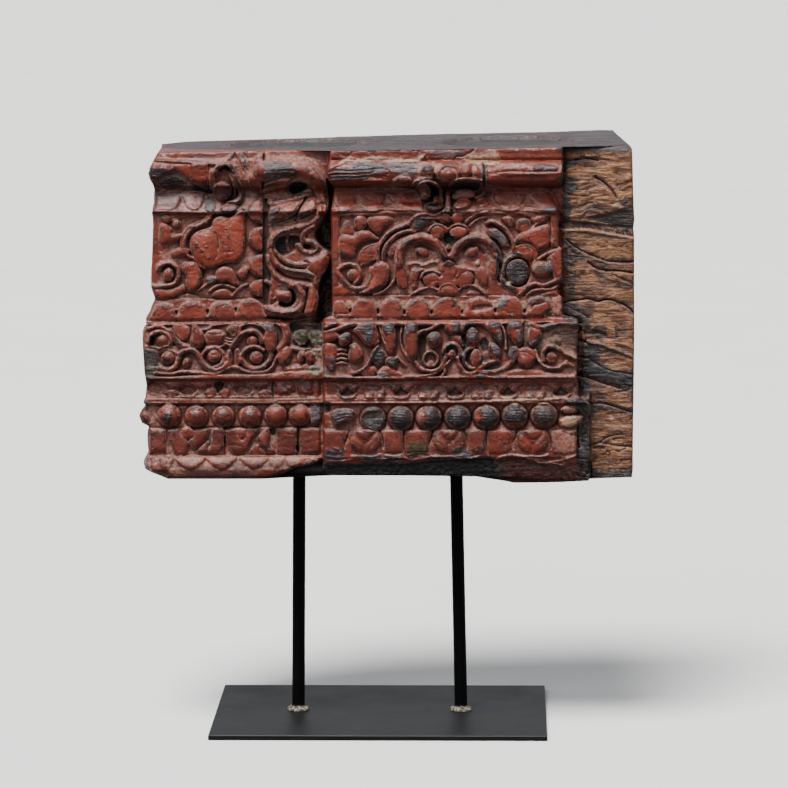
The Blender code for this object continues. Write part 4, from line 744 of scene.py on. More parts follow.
    # --- panel, left half
    b.boss(box(332.6, 340, 212, 294.5), 0.9, 1.4, 0.3, raw=True)
    b.cut([(340.4, 217), (339.2, 240), (339, 262), (338.6, 292)], 1.8, 1.7)
    b.cut([(336, 221), (335.4, 240), (336, 258)], 1.4, 0.7)
    b.boss([(354.2, 223), (355.6, 217.8), (360, 216.2), (365.6, 218), (367.2, 224), (364.4, 229), (358.4, 230.2), (355, 227.6)],
           1.9, 1.3, 0.6)
    b.boss([(368.8, 217.6), (380, 216.2), (390, 217), (392.4, 221), (384, 227), (378.6, 234.4), (372, 230), (368.6, 225)],
           2.0, 1.5, 0.6)
    b.boss([(341, 235), (342.4, 227), (346, 220.6), (350, 222), (353.8, 229.6), (353.8, 235)], 1.5, 1.4, 0.5)
    b.boss([(340.8, 236.2), (353, 236), (356.4, 232.4), (363.3, 230.4), (370, 232), (375.6, 236), (378.6, 239.4),
            (369.6, 240), (363, 242.2), (357.8, 245.8), (355.2, 250.6), (354.2, 256), (340.6, 256)], 2.2, 1.4, 0.8)
    b.boss([(359, 258), (360.4, 252.6), (364.5, 248), (371, 245.2), (378.6, 243.4), (380.4, 249), (379, 256), (374, 261),
            (367, 263.6), (360.6, 263)], 0.9, 1.5, 0.5)
    b.rib([(359.2, 261), (360.2, 253.7), (364.2, 248.4), (371, 245.2), (379, 243.2)], 2.2, 1.4, 0.7)
    b.rib([(378.4, 262), (377.8, 254), (379, 246.4), (382.4, 240.6), (386.6, 235.2), (392.6, 230.4), (401.5, 226.8),
           (408.5, 223.4), (417, 221)], 4.0, 3.2, 1.1)
    b.rib([(383.4, 259.4), (383.6, 252), (386, 245.6), (390, 240.8), (395.8, 235.6), (404.7, 231.8), (414.6, 230.4)],
          4.2, 3.0, 1.1)
    b.boss([(386.6, 254), (388.4, 247), (392.6, 242), (399, 238), (407, 235), (412, 234), (405, 239.6), (399, 244.6),
            (394.6, 251), (391.4, 257)], 0.8, 1.6, -0.2)
    b.cut([(387, 256), (389, 248), (393.6, 242), (400, 237.4), (409, 233.8)], 2.2, 1.4)
    b.rib([(409, 224.6), (412, 219.4), (417.4, 215.6), (425, 214.6), (434, 215.6), (440.6, 213.4), (445, 209.6)], 3.4, 3.4, 1.0)
    b.rib([(411.4, 227), (414, 222), (420, 218.6), (428, 218.4), (436, 218.8), (444, 215)], 3.0, 2.8, 0.9)
    b.boss([(412, 222), (417, 218.6), (425, 219.4), (437, 221.6), (437, 224), (426, 224.4), (419, 230.6), (412.6, 230)],
           0.9, 1.4, 0.3)
    b.rib([(399.4, 268), (399, 258), (400.2, 250.5), (404, 244.4), (410.5, 240), (418, 237.4), (427, 238.2), (434.6, 241.6),
           (440.6, 248.6), (445, 257)], 8.6, 4.2, 2.0, 1.6)
    b.cut([(396.6, 262), (396.6, 252), (400.4, 243.6), (408, 237.6), (418, 234.6), (428, 235.4), (436, 239)], 1.8, 1.7)
    b.cut([(401, 253.6), (405, 247), (411, 243), (418.6, 240.6), (428, 242), (435, 247)], 1.3, 0.5)
    b.boss([(405.6, 262), (406.4, 253), (411, 247.6), (417, 244.6), (424, 244.8), (431, 248.6), (436.6, 256), (440, 262),
            (430, 263.6), (416, 265), (407, 264)], -1.3, 1.8, -0.3)
    b.pit([(413, 247.4), (420, 243.8), (429, 245.6), (436, 251.6), (432, 252), (424, 248), (416, 249)], 1.5, 1.6)
    b.dome(421.6, 252.4, 7.4, 5.4, 2.3, -0.9, 24, 0.6)
    b.cut([(414.6, 252), (417.4, 256.4), (423, 258.6), (428.6, 256.4)], 1.4, 0.8)
    b.rib([(409, 264.6), (416, 263.4), (423, 265.8), (432, 262.4), (440, 263.4)], 2.4, 0.5, 0.7)
    b.boss([(397.6, 269), (402, 267.6), (405.4, 270), (407, 280), (406.4, 288), (400, 288.4), (396.6, 280)], 2.0, 1.5, 0.6)
    b.cut([(409, 268), (411, 277), (411.4, 288)], 1.8, 1.2)
    b.boss([(411.6, 271), (418, 268.6), (424.6, 269.6), (422.6, 274), (417.6, 279), (416.6, 286), (413, 290), (410.8, 282)],
           1.2, 1.5, 0.5)
    # left volute
    b.rib([(338, 271), (341.6, 267), (346, 264.8), (351, 264.4), (356.6, 267.2), (359.6, 273.4), (359, 279.4), (355, 283.4)],
          4.2, 2.4, 1.1)
    b.rib([(337.8, 272.8), (342.4, 279.4), (345.6, 284), (351, 287.6), (358.2, 288.8), (364.6, 287.2), (369.6, 282.6),
           (371.6, 275.6), (371.2, 269)], 5.0, 2.8, 1.3)
    b.dome(353, 275, 6.2, 6.4, 2.8, 0.0)
    b.cut([(362.6, 267), (365, 273.6), (363.4, 280.4), (358.6, 284.4)], 1.7, 1.0)
    b.boss([(372.4, 268), (376, 263.4), (381, 261.6), (386.4, 263.4), (389.2, 268.4), (389.2, 275), (387, 282),
            (382.6, 287.6), (376, 291.6), (367, 293.4), (359, 292.8), (366, 289.6), (370.6, 284.4), (373.6, 276)],
           3.0, 1.6, 1.2, 4)
    b.rib([(361.6, 264.6), (368.6, 263), (372.6, 258.4)], 2.6, 1.4, 0.8)
    b.rib([(395.4, 268), (395, 276), (392.6, 282.6), (387.8, 288.4), (381, 292.6), (374, 294.6)], 3.0, 2.4, 0.9)
    b.boss([(334, 286), (342, 284.4), (347, 289), (356, 293), (352, 295.6), (335, 295.6)], 0.4, 1.5, 0.4)
    # --- panel, centre
    b.boss([(438.6, 216), (444.4, 213.6), (450.4, 216), (450.4, 221.4), (444.4, 223.4), (438.8, 221)], 2.2, 1.4, 0.6)
    b.boss([(452, 215.4), (458, 213.6), (463, 216.6), (462, 222), (455.6, 223.4), (452, 220.6)], 1.8, 1.4, 0.6)
    b.rib([(466, 222), (471.6, 217.4), (479, 213.8), (487, 213)], 2.8, 2.0, 0.9)
    b.rib([(470, 226), (476, 220.8), (482, 217.8), (488, 217.4)], 2.6, 1.6, 0.9)
    b.boss([(430.4, 232), (433, 227.4), (438, 225.8), (444, 227.6), (448.4, 231), (444, 236.4), (440, 238.4), (433.6, 236.6)],
           2.2, 1.2, 0.3)
    b.rib([(428.6, 231), (432, 226.4), (438, 224.4), (444, 226.6), (448, 229.6)], 2.0, 2.9, 0.6)
    b.boss([(449.4, 231), (454, 227.6), (460, 226.6), (466, 229.4), (467.4, 233.6), (462, 237), (455.6, 238.2), (451, 236)],
           2.2, 1.2, 0.3)
    b.rib([(448.6, 229.4), (452.6, 225.8), (458.6, 224.4), (464.6, 226), (467.6, 230.6)], 2.0, 2.9, 0.6)
    b.pit([(442, 233), (446.6, 231.6), (451, 235), (454.4, 239), (450, 246.4), (445, 243.6), (443, 238)], 2.2, 1.8)
    b.dome(448.7, 247, 3.0, 3.4, 2.0, -0.6)
    b.rib([(452, 258), (455.2, 250.4), (459.6, 244.4), (466, 239.8), (474.5, 237.4), (483.4, 238.8), (490.6, 243.6),
           (495.6, 251), (497.4, 260)], 8.0, 4.2, 2.0, 1.6)
    b.cut([(450, 252), (455.6, 242.6), (463, 237), (473, 234.2), (484, 235.6), (493, 240.6), (499.4, 249)], 1.8, 1.7)
    b.cut([(456, 253.6), (461.4, 246.4), (468, 242.4), (475.6, 241), (484, 243.6)], 1.3, 0.5)
    b.boss([(459, 262), (460.4, 253), (465, 247), (472, 244), (480, 245.4), (486.6, 250), (489.4, 257), (489, 264), (478, 264.6),
            (466, 263.6)], -1.3, 1.8, -0.3)
    b.pit([(461, 254), (463.6, 247.4), (470, 243.8), (480, 245.6), (486, 251), (484, 256), (479, 251), (470, 246.6), (465, 250)], 1.5, 1.6)
    b.boss([(465, 254.6), (467, 249.6), (471.6, 247), (477.6, 246.6), (478.2, 251.6), (475, 256), (469.4, 257.4)], 0.7, 1.7, 0.9)
    b.cut([(465.6, 255.6), (468.4, 250.6), (473.6, 248.2)], 1.1, 0.5)
    b.dome(477.6, 263.4, 3.0, 2.6, 1.8, -1.0)
    b.boss([(491, 261), (496, 258.6), (498.6, 264), (498.4, 275), (494, 279.6), (491, 272)], 1.8, 1.4, 0.5)
    b.cut([(495, 252), (499, 256), (499.4, 268), (497.6, 277), (500, 282)], 4.2, 2.0)
    b.rib([(487, 223), (491, 221.4), (497, 223.6), (504.6, 229), (509.6, 235.6), (513.4, 243), (514.4, 252)], 3.8, 3.0, 1.1)
    b.boss([(488, 229.4), (495, 228.4), (502, 233), (507, 240), (508.6, 247), (503, 248), (497, 240), (490, 236)],
           1.6, 1.5, 0.5)
    b.cut([(486, 226.6), (494, 226), (502, 230.4), (508, 237), (511.4, 246)], 1.6, 1.5)
    b.cut([(489, 238.4), (496, 242), (501.4, 250), (503.4, 258)], 2.0, 1.8)
    # trefoil
    b.boss([(437, 262.6), (443, 259.6), (449, 258.8), (455, 261), (462, 265.6), (471, 268.4), (476, 270.6), (478, 279), (474, 288),
            (462, 291), (440, 290), (424, 289.4), (419, 283), (419.4, 274), (424, 270.4), (433, 270)], -0.9, 1.5, 0.0)
    b.boss([(441.8, 271), (442.4, 266.4), (445.4, 263), (449, 262), (452.8, 264.2), (454.8, 269), (454.4, 275), (451.6, 279.6),
            (446.6, 281.4), (443, 277.6)], 1.7, 1.0, 0.1)
    b.boss([(441, 276), (455, 275), (458, 282), (454, 287), (444, 287), (438, 284)], 1.5, 1.6, 0.0)
    b.rib([(441.6, 270), (443.4, 264.4), (448, 261), (452.8, 263.2), (455.2, 269), (455, 275)], 1.9, 2.7, 0.6)
    b.cut([(439.6, 262), (438.8, 267), (440, 273)], 1.6, 1.0)
    b.cut([(455.6, 269), (455.6, 275), (452.8, 280)], 1.2, 0.9)
    b.boss([(423, 279), (427, 274.4), (433, 273.2), (438, 275.6), (440, 281), (436.4, 286), (430, 287.4), (425, 285)], 1.5, 1.0, 0.1)
    b.cut([(421, 276.6), (423.4, 283), (428.4, 288)], 2.2, 2.0)
    b.rib([(421, 278), (422.6, 273.8), (427, 271.4), (433, 270.8), (439.6, 273.6)], 2.0, 2.6, 0.7)
    b.boss([(456, 284), (457.6, 277), (462.4, 272.8), (468.4, 271.4), (472.6, 274.6), (473, 280.6), (468.6, 285.4),
            (462, 287.4)], 1.6, 1.0, 0.15)
    b.cut([(455, 287), (463, 288.6), (470.6, 285.4), (474.6, 279), (473.4, 272.6)], 2.0, 1.8)
    b.rib([(456.4, 277), (460.4, 272.6), (466, 270), (471.4, 270.4)], 1.9, 2.5, 0.6)
    b.boss([(454.6, 266), (461, 266.2), (470.6, 269), (463, 270.6), (458, 274.6), (456.2, 271)], 1.9, 1.2, 0.4)
    b.boss([(439.4, 295), (440.6, 289.4), (444.6, 286), (449, 284.8), (453.6, 286.4), (457.4, 290.6), (458.4, 295.4)],
           1.5, 1.5, 0.7)
    b.rib([(438.4, 293), (441, 287), (447, 283.6), (453, 285), (458, 290)], 2.0, 2.2, 0.8)
    b.rib([(457.6, 291.6), (462.6, 287.6), (469.6, 285.4), (476.6, 287.2), (482, 290.8), (487, 295)], 2.4, 2.2, 0.8)
    b.rib([(411.6, 295), (417, 291.4), (424, 288.8), (431.6, 287.6), (438, 290)], 2.6, 2.0, 0.8)
    b.boss([(466, 295), (470, 291), (476, 291.6), (479.6, 295)], 0.8, 1.4, 0.3)
    b.boss([(476, 270), (481, 267.6), (486.6, 271), (488.6, 279), (486.6, 286.4), (481, 284), (477, 277.4)], 1.0, 1.5, 0.5)
    # --- panel, right half: disc, leaf, plug in its hollow
    b.boss([(516.4, 226), (518, 220.4), (523, 218.4), (528.6, 220), (530.4, 225.4), (527.6, 231), (521.4, 232.4), (517.4, 230)],
           1.9, 1.3, 0.7)
    b.boss([(502, 217.6), (511, 217), (514.6, 221.4), (512, 226.4), (507, 224.6)], 1.6, 1.4, 0.4)
    b.boss([(532, 217.6), (547, 217.4), (544, 220.6), (536, 223.6), (532.6, 222)], 1.4, 1.4, 0.4)
    b.rib([(543.4, 220.6), (536, 224.6), (530.4, 230)], 2.8, 1.6, 0.8)
    b.boss([(515.6, 243), (516.2, 237.6), (520.8, 233), (528.3, 230.4), (535, 227.8), (548, 225), (550, 234), (550, 243),
            (544, 248.6), (536.6, 250.6), (534, 247), (529, 243.8), (522, 243)], 2.4, 1.5, 1.0)
    b.boss([(514.6, 251.4), (516.4, 246.6), (523, 244.4), (530.8, 246.2), (536, 251.8), (534.6, 258.2), (528, 260), (520, 258)],
           1.0, 1.5, 0.6)
    b.rib([(514.4, 252.6), (517, 247), (523.4, 244.8), (531, 246.4), (536.4, 252), (535.6, 259.4)], 2.4, 1.8, 0.8)
    b.boss(box(551, 558.4, 212, 247), 0.9, 1.4, 0.3, raw=True)
    b.cut([(550.2, 218), (550.4, 232), (550, 246)], 1.7, 1.5)
    b.boss([(501, 276), (503, 266), (507, 258.4), (515, 254), (521, 255.6), (512, 259.6), (506, 268), (504.6, 277)], 0.9, 1.5, 0.5)
    b.boss([(500, 279.4), (504, 278.4), (510, 284), (518, 287.4), (526, 284.6), (529.4, 278), (531.4, 281), (528, 288), (518, 292),
            (507, 288.4)], 1.2, 1.5, 0.6)
    b.pit([(504.6, 268), (508, 260.6), (514.6, 257), (523, 257.6), (529.6, 263.6), (530.4, 275), (526.4, 283.6), (517, 287.4),
           (509, 284.4), (504.6, 277)], 2.6, 1.5)
    b.boss([(506, 272.4), (508, 264.6), (513, 260.4), (519.4, 259.2), (525.6, 262.6), (528.6, 270), (527.6, 278.4),
            (522.6, 284), (515.4, 285.4), (509, 281.4)], 1.7, 1.4, 0.6, slope=(0.03, -0.06))
    for k in range(8):
        b.cut([(507, 283 - 3.1 * k), (517, 277.4 - 3.1 * k), (528, 270.6 - 3.1 * k)], 0.9, 0.5)
    b.dome(509, 283.4, 2.6, 2.0, 1.4, -1.0)
    b.dome(517.4, 290, 4.0, 2.8, 1.8, -0.6)
    b.boss([(531.6, 268), (534.6, 263), (541, 261.2), (548, 263.4), (551.8, 269), (548.6, 275), (541.4, 277.2), (534, 274.6)],
           2.6, 1.8, 1.2)
    b.dome(549, 267.4, 4.6, 5.4, 2.2, 1.4)
    b.rib([(534.4, 262.4), (540, 258), (547.4, 253.6), (556, 250.4), (563, 248.4)], 3.2, 1.6, 0.9)
    b.boss([(547.4, 258), (554, 252.6), (563, 249.6), (563, 280), (556, 281), (552.4, 272), (549, 264)], 1.5, 1.7, 0.6)
    b.cut([(551.6, 256), (556, 262), (558, 272)], 1.8, 0.9)
    b.rib([(518.6, 295), (522.6, 291.6), (528.3, 286.4), (535, 283.8), (543, 285.4), (551.2, 282.6), (560, 278.4)],
          3.8, 2.4, 1.1)
    b.rib([(527, 295.6), (533, 291), (541, 289.4), (550, 289.6), (559, 286)], 3.0, 1.6, 0.9)
    b.boss([(541, 295.8), (546, 292.6), (557.6, 290), (557.6, 296)], 0.6, 1.4, 0.3)
    b.cut([(334, 296.2), (362, 295.6), (391, 295), (420, 294.8), (449, 296.4), (480, 295), (512, 296), (557, 296)], 1.7, 1.3)
    # --- domes
    for k, (u0, u1, top) in enumerate(((334.6, 349.4, 300.6), (351, 377.4, 298), (379, 403.6, 298.2), (405.4, 431, 298),
                                       (433, 461.5, 297), (462.6, 495, 297.6), (496.4, 523.6, 297), (525.7, 551.6, 296))):
        v1 = 319.6 - 0.012 * (u0 - 334)
        if k == 0:
            pts = [(335, v1 - 0.6), (335, 304), (339, 301.6), (345, 304.4), (348.6, 309.6), (349, v1 - 0.8)]
            b.boss(pts, 2.6, 1.4, 0.4, 4, n=2)
            b.cut([(335, 314), (349, 314)], 1.4, 1.2)
            continue
        c, r = (u0 + u1) / 2, (u1 - u0) / 2
        pts = [(u0 + 0.6, v1)] + [(c - r * math.cos(math.radians(a)), v1 - 4 - (v1 - top - 4) * math.sin(math.radians(a)))
                                 for a in np.linspace(8, 172, 9)] + [(u1 - 0.6, v1)]
        if k in (5, 7):
            pts[2] = (pts[2][0] + 3, pts[2][1] + 1)
        b.boss(pts, 2.9, 1.5, 0.5, 4, n=2)
        b.cut(pts[1:-1], 1.3, 0.3)
    b.pit([(470, 309), (478, 305), (490, 304.4), (494, 308), (484, 311.6), (474, 313)], 1.7, 2.0)
    b.pit([(506, 313), (511, 311.4), (514.6, 313), (511, 315)], 1.0, 1.2)
    b.cut([(530, 309.6), (534, 305), (539, 304.4), (545, 302)], 2.6, 1.3)
    b.pit([(541, 315.6), (546, 309.6), (553, 308), (557, 313), (549, 318)], 2.2, 2.0)
    for u, v in ((350, 309), (378, 310), (404.4, 311), (431.6, 311), (462, 311), (495.2, 309), (524.6, 310)):
        b.boss([(u - 3.6, 301), (u + 3.6, 301), (u + 0.4, v - 1), (u - 0.4, v - 1)], 0.4, 1.4, 0, raw=True)
        b.pit([(u - 1.4, v), (u + 1.4, v - 0.6), (u + 1.2, v + 3.4), (u - 1.2, v + 3.6)], 2.8, 1.0)
    b.boss([(552.6, 299), (562, 298), (563, 316), (556, 317), (552, 310)], 1.0, 2.0, 0.6)
    b.cut([(334, 320.6), (390, 320), (450, 319), (520, 317.6), (562, 316)], 2.0, 1.8)
    # --- scroll band, left part
    b.boss([(323, 320), (326, 317.4), (334, 317.6), (341, 321.6), (352, 322), (430, 320.6), (520, 318.4), (560, 316.4),
            (577, 313.6), (578.6, 318), (560, 321), (520, 323.6), (430, 325.4), (350, 326), (323, 324.6)], 0.6, 1.4, 0.3, n=3)
    b.rib([(323, 328), (331, 325), (338, 322.6)], 3.6, 1.4, 0.9)
    b.rib([(324, 333.4), (334, 330.4), (344, 326.6), (354, 323.6)], 4.6, 1.5, 1.0)
    b.boss([(323.2, 335.6), (330, 332.4), (338, 333.4), (338.4, 338), (331, 341.6), (323.2, 342)], 1.0, 1.5, 0.6)
    b.boss([(339, 338), (342, 334), (347.6, 332.6), (351, 335.6), (350.4, 341), (346, 345.4), (341, 346), (338.8, 342)],
           1.9, 1.4, 0.8)
    b.boss([(323.2, 344.4), (334, 344), (337.4, 350), (336, 358), (332.6, 370.4), (327.6, 366), (323.4, 358)], 0.9, 1.6, 0.6)
    for k in range(4):
        b.rib([(336.6, 351 + 4.4 * k), (341, 349.6 + 4.4 * k), (346, 350.6 + 4.4 * k)], 2.8, 0.3, 0.9)
    b.boss([(348.4, 356), (350.4, 347.6), (354, 344.4), (358.6, 348.4), (361.4, 355), (359.6, 361), (353.6, 363), (349.4, 360.6)],
           1.9, 1.5, 0.9)
    b.rib([(350, 345.6), (355.4, 344.2), (360.4, 349.6), (362, 356)], 2.2, 1.2, 0.7)
    b.boss([(353, 331), (358, 326), (363, 322.6), (373.4, 322.4), (377.6, 331), (378.4, 341), (372, 346.6), (366, 345),
            (360, 338)], 1.9, 1.6, 0.8)
    b.cut([(358, 329), (364, 336), (370, 345)], 1.8, 1.3)
    b.rib([(373, 323.6), (376.6, 332), (378.4, 341.4), (375, 344.6)], 2.0, 2.2, 0.7)
    b.boss([(382.8, 325), (389.4, 322.2), (393, 324), (395.8, 334), (395.4, 346), (392, 354.6), (387.8, 351), (385.2, 341),
            (382.6, 332)], 2.0, 1.5, 0.9)
    b.rib([(379.6, 327), (382, 336), (385.6, 346), (390, 354)], 1.8, 0.9, 0.6)
    b.boss([(405.4, 325), (409, 322.2), (416.6, 322.6), (417.6, 330), (417.4, 346), (415.6, 357), (412.4, 362.6), (408, 358),
            (405, 348), (403.6, 336)], 2.1, 1.6, 0.9)
    b.rib([(401.6, 328), (400.4, 339), (403, 350), (408.4, 359.6)], 1.9, 0.9, 0.6)
    b.rib([(417.6, 333.6), (422, 331.4), (429, 329.6), (436, 325.8), (440, 323.6)], 3.6, 1.6, 1.0)
    b.boss([(370.2, 357), (374.4, 350), (378.4, 346.8), (384.4, 351), (387.4, 356.4), (383, 363), (378.6, 367.4), (373, 362)],
           -0.4, 1.5, 0.5)
    b.boss([(385.4, 362), (389.6, 357), (396.6, 357.4), (397.4, 363), (395, 368.8), (389, 367)], 0.3, 1.5, 0.6)
    b.rib([(397.4, 357), (401, 361.6), (405.4, 366)], 2.2, 0.8, 0.7)
    b.rib([(353.4, 373.4), (361, 370.6), (367.4, 365.6), (371.4, 357.6), (374, 350.6), (378.4, 346)], 3.4, 1.5, 0.9)
    b.pit([(419, 337), (423, 334), (426.6, 338), (426, 350), (425.4, 362), (420.4, 361), (418, 350)], 2.6, 1.6)
    b.boss([(427, 338), (429.4, 333.4), (434, 331.4), (439.4, 333.4), (441.4, 338.4), (439, 344.4), (434, 347.8), (429.4, 345)],
           1.6, 1.5, 1.2)
    b.rib(arc(430.6, 359.2, 7.2, 7.4, 0, 345, 14), 2.6, 1.2, 0.9)
    b.dome(430.6, 363.6, 3.2, 3.0, 1.8, -0.6)
    b.rib([(415.6, 362), (419, 367.4), (425, 370.4), (434, 370.8), (440.6, 367.4), (444.6, 361), (446.6, 355)], 3.8, 1.8, 1.0)
    b.rib([(405, 377), (415, 376.4), (427, 375.4), (436, 373), (443.6, 367.6), (449.6, 361)], 2.6, 1.5, 0.9)
    b.boss([(361, 374.6), (367, 367.6), (374, 366.4), (376.6, 372), (372, 375.4)], -0.6, 1.4, 0.3)
    b.boss([(377.6, 373), (384, 366.4), (394, 370), (403.6, 375.8), (388, 377.4), (379, 377.4)], -0.2, 1.4, 0.4)
    # scroll band, right part
    b.boss([(444.6, 326), (448, 321.6), (454, 320.2), (459.6, 322.4), (460.8, 328), (457, 333.6), (450.6, 334.6), (446, 331.4)],
           1.7, 1.5, 1.0)
    b.rib([(443.4, 352), (446, 346), (451, 343.4), (456, 344.6), (460, 349.6), (460.6, 356)], 4.2, 1.5, 1.1)
    b.dome(452, 354.4, 4.0, 5.0, 1.6, -1.4)
    b.boss([(451, 336.4), (458, 335.4), (463.4, 339), (464, 347), (459, 343), (453, 341)], 0.4, 1.5, 0.5)
    b.rib([(443.6, 364), (445, 371), (441, 377)], 2.6, 1.0, 0.8)
    b.rib([(457.4, 358), (460, 365.4), (465, 372.4), (473, 375)], 3.2, 1.3, 0.9)
    b.rib([(461.6, 330), (464, 324.4), (471, 321.8), (481, 322.4), (488.4, 327.4), (494, 334)], 5.2, 1.6, 1.2)
    b.pit([(460.4, 338), (463.6, 334), (466.6, 336), (466.4, 344), (462.6, 346)], 2.4, 1.4)
    b.boss([(466.6, 337), (468.4, 330.4), (472.6, 327.4), (477, 331), (478.6, 338), (476.6, 344.6), (472.4, 347.6),
            (468, 344)], 1.9, 1.5, 1.3)
    b.rib(arc(474.6, 358, 11, 10.6, 95, 330, 14), 3.6, 1.5, 1.0)
    b.boss([(470.4, 358), (472.4, 351.4), (476.6, 349.2), (480.6, 353), (481, 360.6), (477.4, 366.6), (472.6, 365.4)],
           1.9, 1.5, 1.0)
    b.pit([(479, 341), (484, 337), (489, 341), (488.6, 350), (484, 352), (480, 347)], 2.0, 1.6)
    b.boss([(488.6, 327), (490, 321.8), (498, 321.6), (500.8, 329), (502.4, 338), (500.4, 345.6), (497.4, 341), (493, 336)],
           2.0, 1.6, 0.9)
    b.boss([(488.6, 346), (492, 342.6), (498, 346), (500.8, 352), (498.6, 358.6), (495, 361.6), (491.4, 357), (489, 351)],
           1.4, 1.5, 0.8)
    b.rib([(500.6, 323.6), (504, 330), (506, 338), (506, 350)], 2.0, 0.8, 0.6)
    b.boss([(508, 323), (514, 320.4), (521, 321), (522.6, 329), (523, 338), (520, 346.6), (515, 344.6), (510.6, 338),
            (507.4, 331)], 2.0, 1.6, 0.9)
    b.boss([(510, 349), (514.6, 346), (519, 349.6), (516, 358), (511.6, 362), (508.6, 356)], 1.2, 1.5, 0.7)
    b.rib([(464, 373.4), (474, 373), (482, 367.4), (489.6, 362.6), (498, 361)], 4.0, 1.6, 1.1)
    b.rib([(480, 371.6), (492, 372.4), (504, 368.8), (512, 361.4), (516.6, 354)], 5.0, 1.4, 1.2)
    b.boss([(516.6, 353), (520, 347.8), (527, 347.6), (534, 351), (536, 358), (531, 366), (525.4, 367.4), (519, 363.4)],
           1.2, 1.5, 0.6)
    b.boss([(518.4, 359), (522, 354.2), (528, 355.4), (530.6, 361), (526.4, 366.6), (520.6, 364.8)], 1.8, 1.4, 0.9)
    b.cut([(520, 351.6), (527, 352.6), (533, 357)], 1.4, 0.8)
    b.boss([(523.4, 323), (530, 322.4), (529, 333), (526.6, 344), (524.4, 344)], -2.8, 1.4, 0)
    b.boss([(528.4, 330), (533, 325), (540, 329), (541.4, 335), (538, 341.6), (532, 346.4), (529, 344), (528, 337)], 1.5, 1.5, 0.8)
    b.cut([(528, 345), (534, 340), (541, 337)], 1.8, 1.1)
    b.rib([(531, 324), (540, 327.6), (550, 326), (562, 322.4), (577, 326)], 5.6, 1.6, 1.4)
    b.dome(556, 341, 6.4, 4.4, 1.8, -2.4)
    b.rib([(543.6, 361), (542.8, 353.6), (546.4, 348), (552.4, 346.4), (559, 349), (565, 353.4), (576.6, 358.6)], 3.8, 1.5, 1.1)
    b.dome(551.4, 357.6, 5.6, 5.8, 2.4, -1.8)
    b.cut(arc(551, 356.6, 3.4, 3.6, 60, 330, 10), 1.4, 0.9)
    b.rib([(535, 350.6), (538.4, 359), (543, 365.4), (551, 368.6), (560, 367.6), (566.4, 361.6)], 3.2, 1.4, 1.0)
    b.rib([(560.6, 366), (567, 363.4), (573, 366)], 3.2, 0.8, 0.9)
    b.boss([(494, 375), (503, 371.8), (516, 369.4), (532, 369.6), (548, 372.6), (566, 374.4), (566, 377.6), (494, 377.6)],
           -0.6, 1.3, 0.6)
    b.boss([(323, 375.6), (352, 377), (400, 378.4), (450, 376.4), (480, 374.4), (500, 377), (568, 375.6), (577, 373), (577, 379),
            (540, 380), (460, 380.6), (400, 382), (323, 383)], 1.2, 1.3, 0.3, raw=True)
    b.cut([(323, 383.2), (380, 382.4), (440, 380.6), (500, 379.8), (576, 379.8)], 2.2, 2.0)
    # --- chain band
    b.boss(box(324, 578, 385.4, 399.6), -1.0, 1.2, 0, raw=True)
    for c in (347.5, 401, 455, 508, 561):
        b.boss([(c - 13, 384.4), (c - 6, 384.6), (c, 387.4), (c + 6, 384.6), (c + 13, 384.4), (c + 9, 390), (c + 8, 393),
                (c, 398.8), (c - 8, 393), (c - 9, 390)], 1.3, 1.3, 0.3, n=3)
        b.boss([(c - 7.4, 393.6), (c - 3, 390), (c, 386.2), (c + 3, 390), (c + 7.6, 393), (c + 3, 396), (c - 3.4, 396.2)],
               -2.1, 1.5, 0, n=3)
        b.rib([(c - 9, 394.4), (c - 4, 398.4), (c + 4, 398.2), (c + 9, 394)], 2.2, 1.3, 0.7)
    for c in (374.5, 428, 481, 534):
        b.boss([(c - 8, 391), (c - 6, 386.6), (c + 1, 384.8), (c + 7, 387.2), (c + 5, 390.6), (c - 2, 390.6)], -2.2, 1.3, 0)
        b.boss([(c + 1.6, 396), (c + 4, 391.6), (c + 8.4, 390), (c + 11.6, 392.6), (c + 9, 398), (c + 4, 399.6)], 1.5, 1.4, 0.8)
        b.boss([(c - 10, 396), (c - 6.4, 392.6), (c - 1.6, 393.6), (c - 0.6, 398.4), (c - 6, 399.8)], 0.8, 1.3, 0.5)
    b.cut([(324, 401.4), (400, 401.2), (480, 399.4), (570, 397)], 1.8, 1.0)
    b.rib([(331, 404.4), (420, 403.4), (500, 401), (566, 399)], 3.0, 0.9, 0.9)
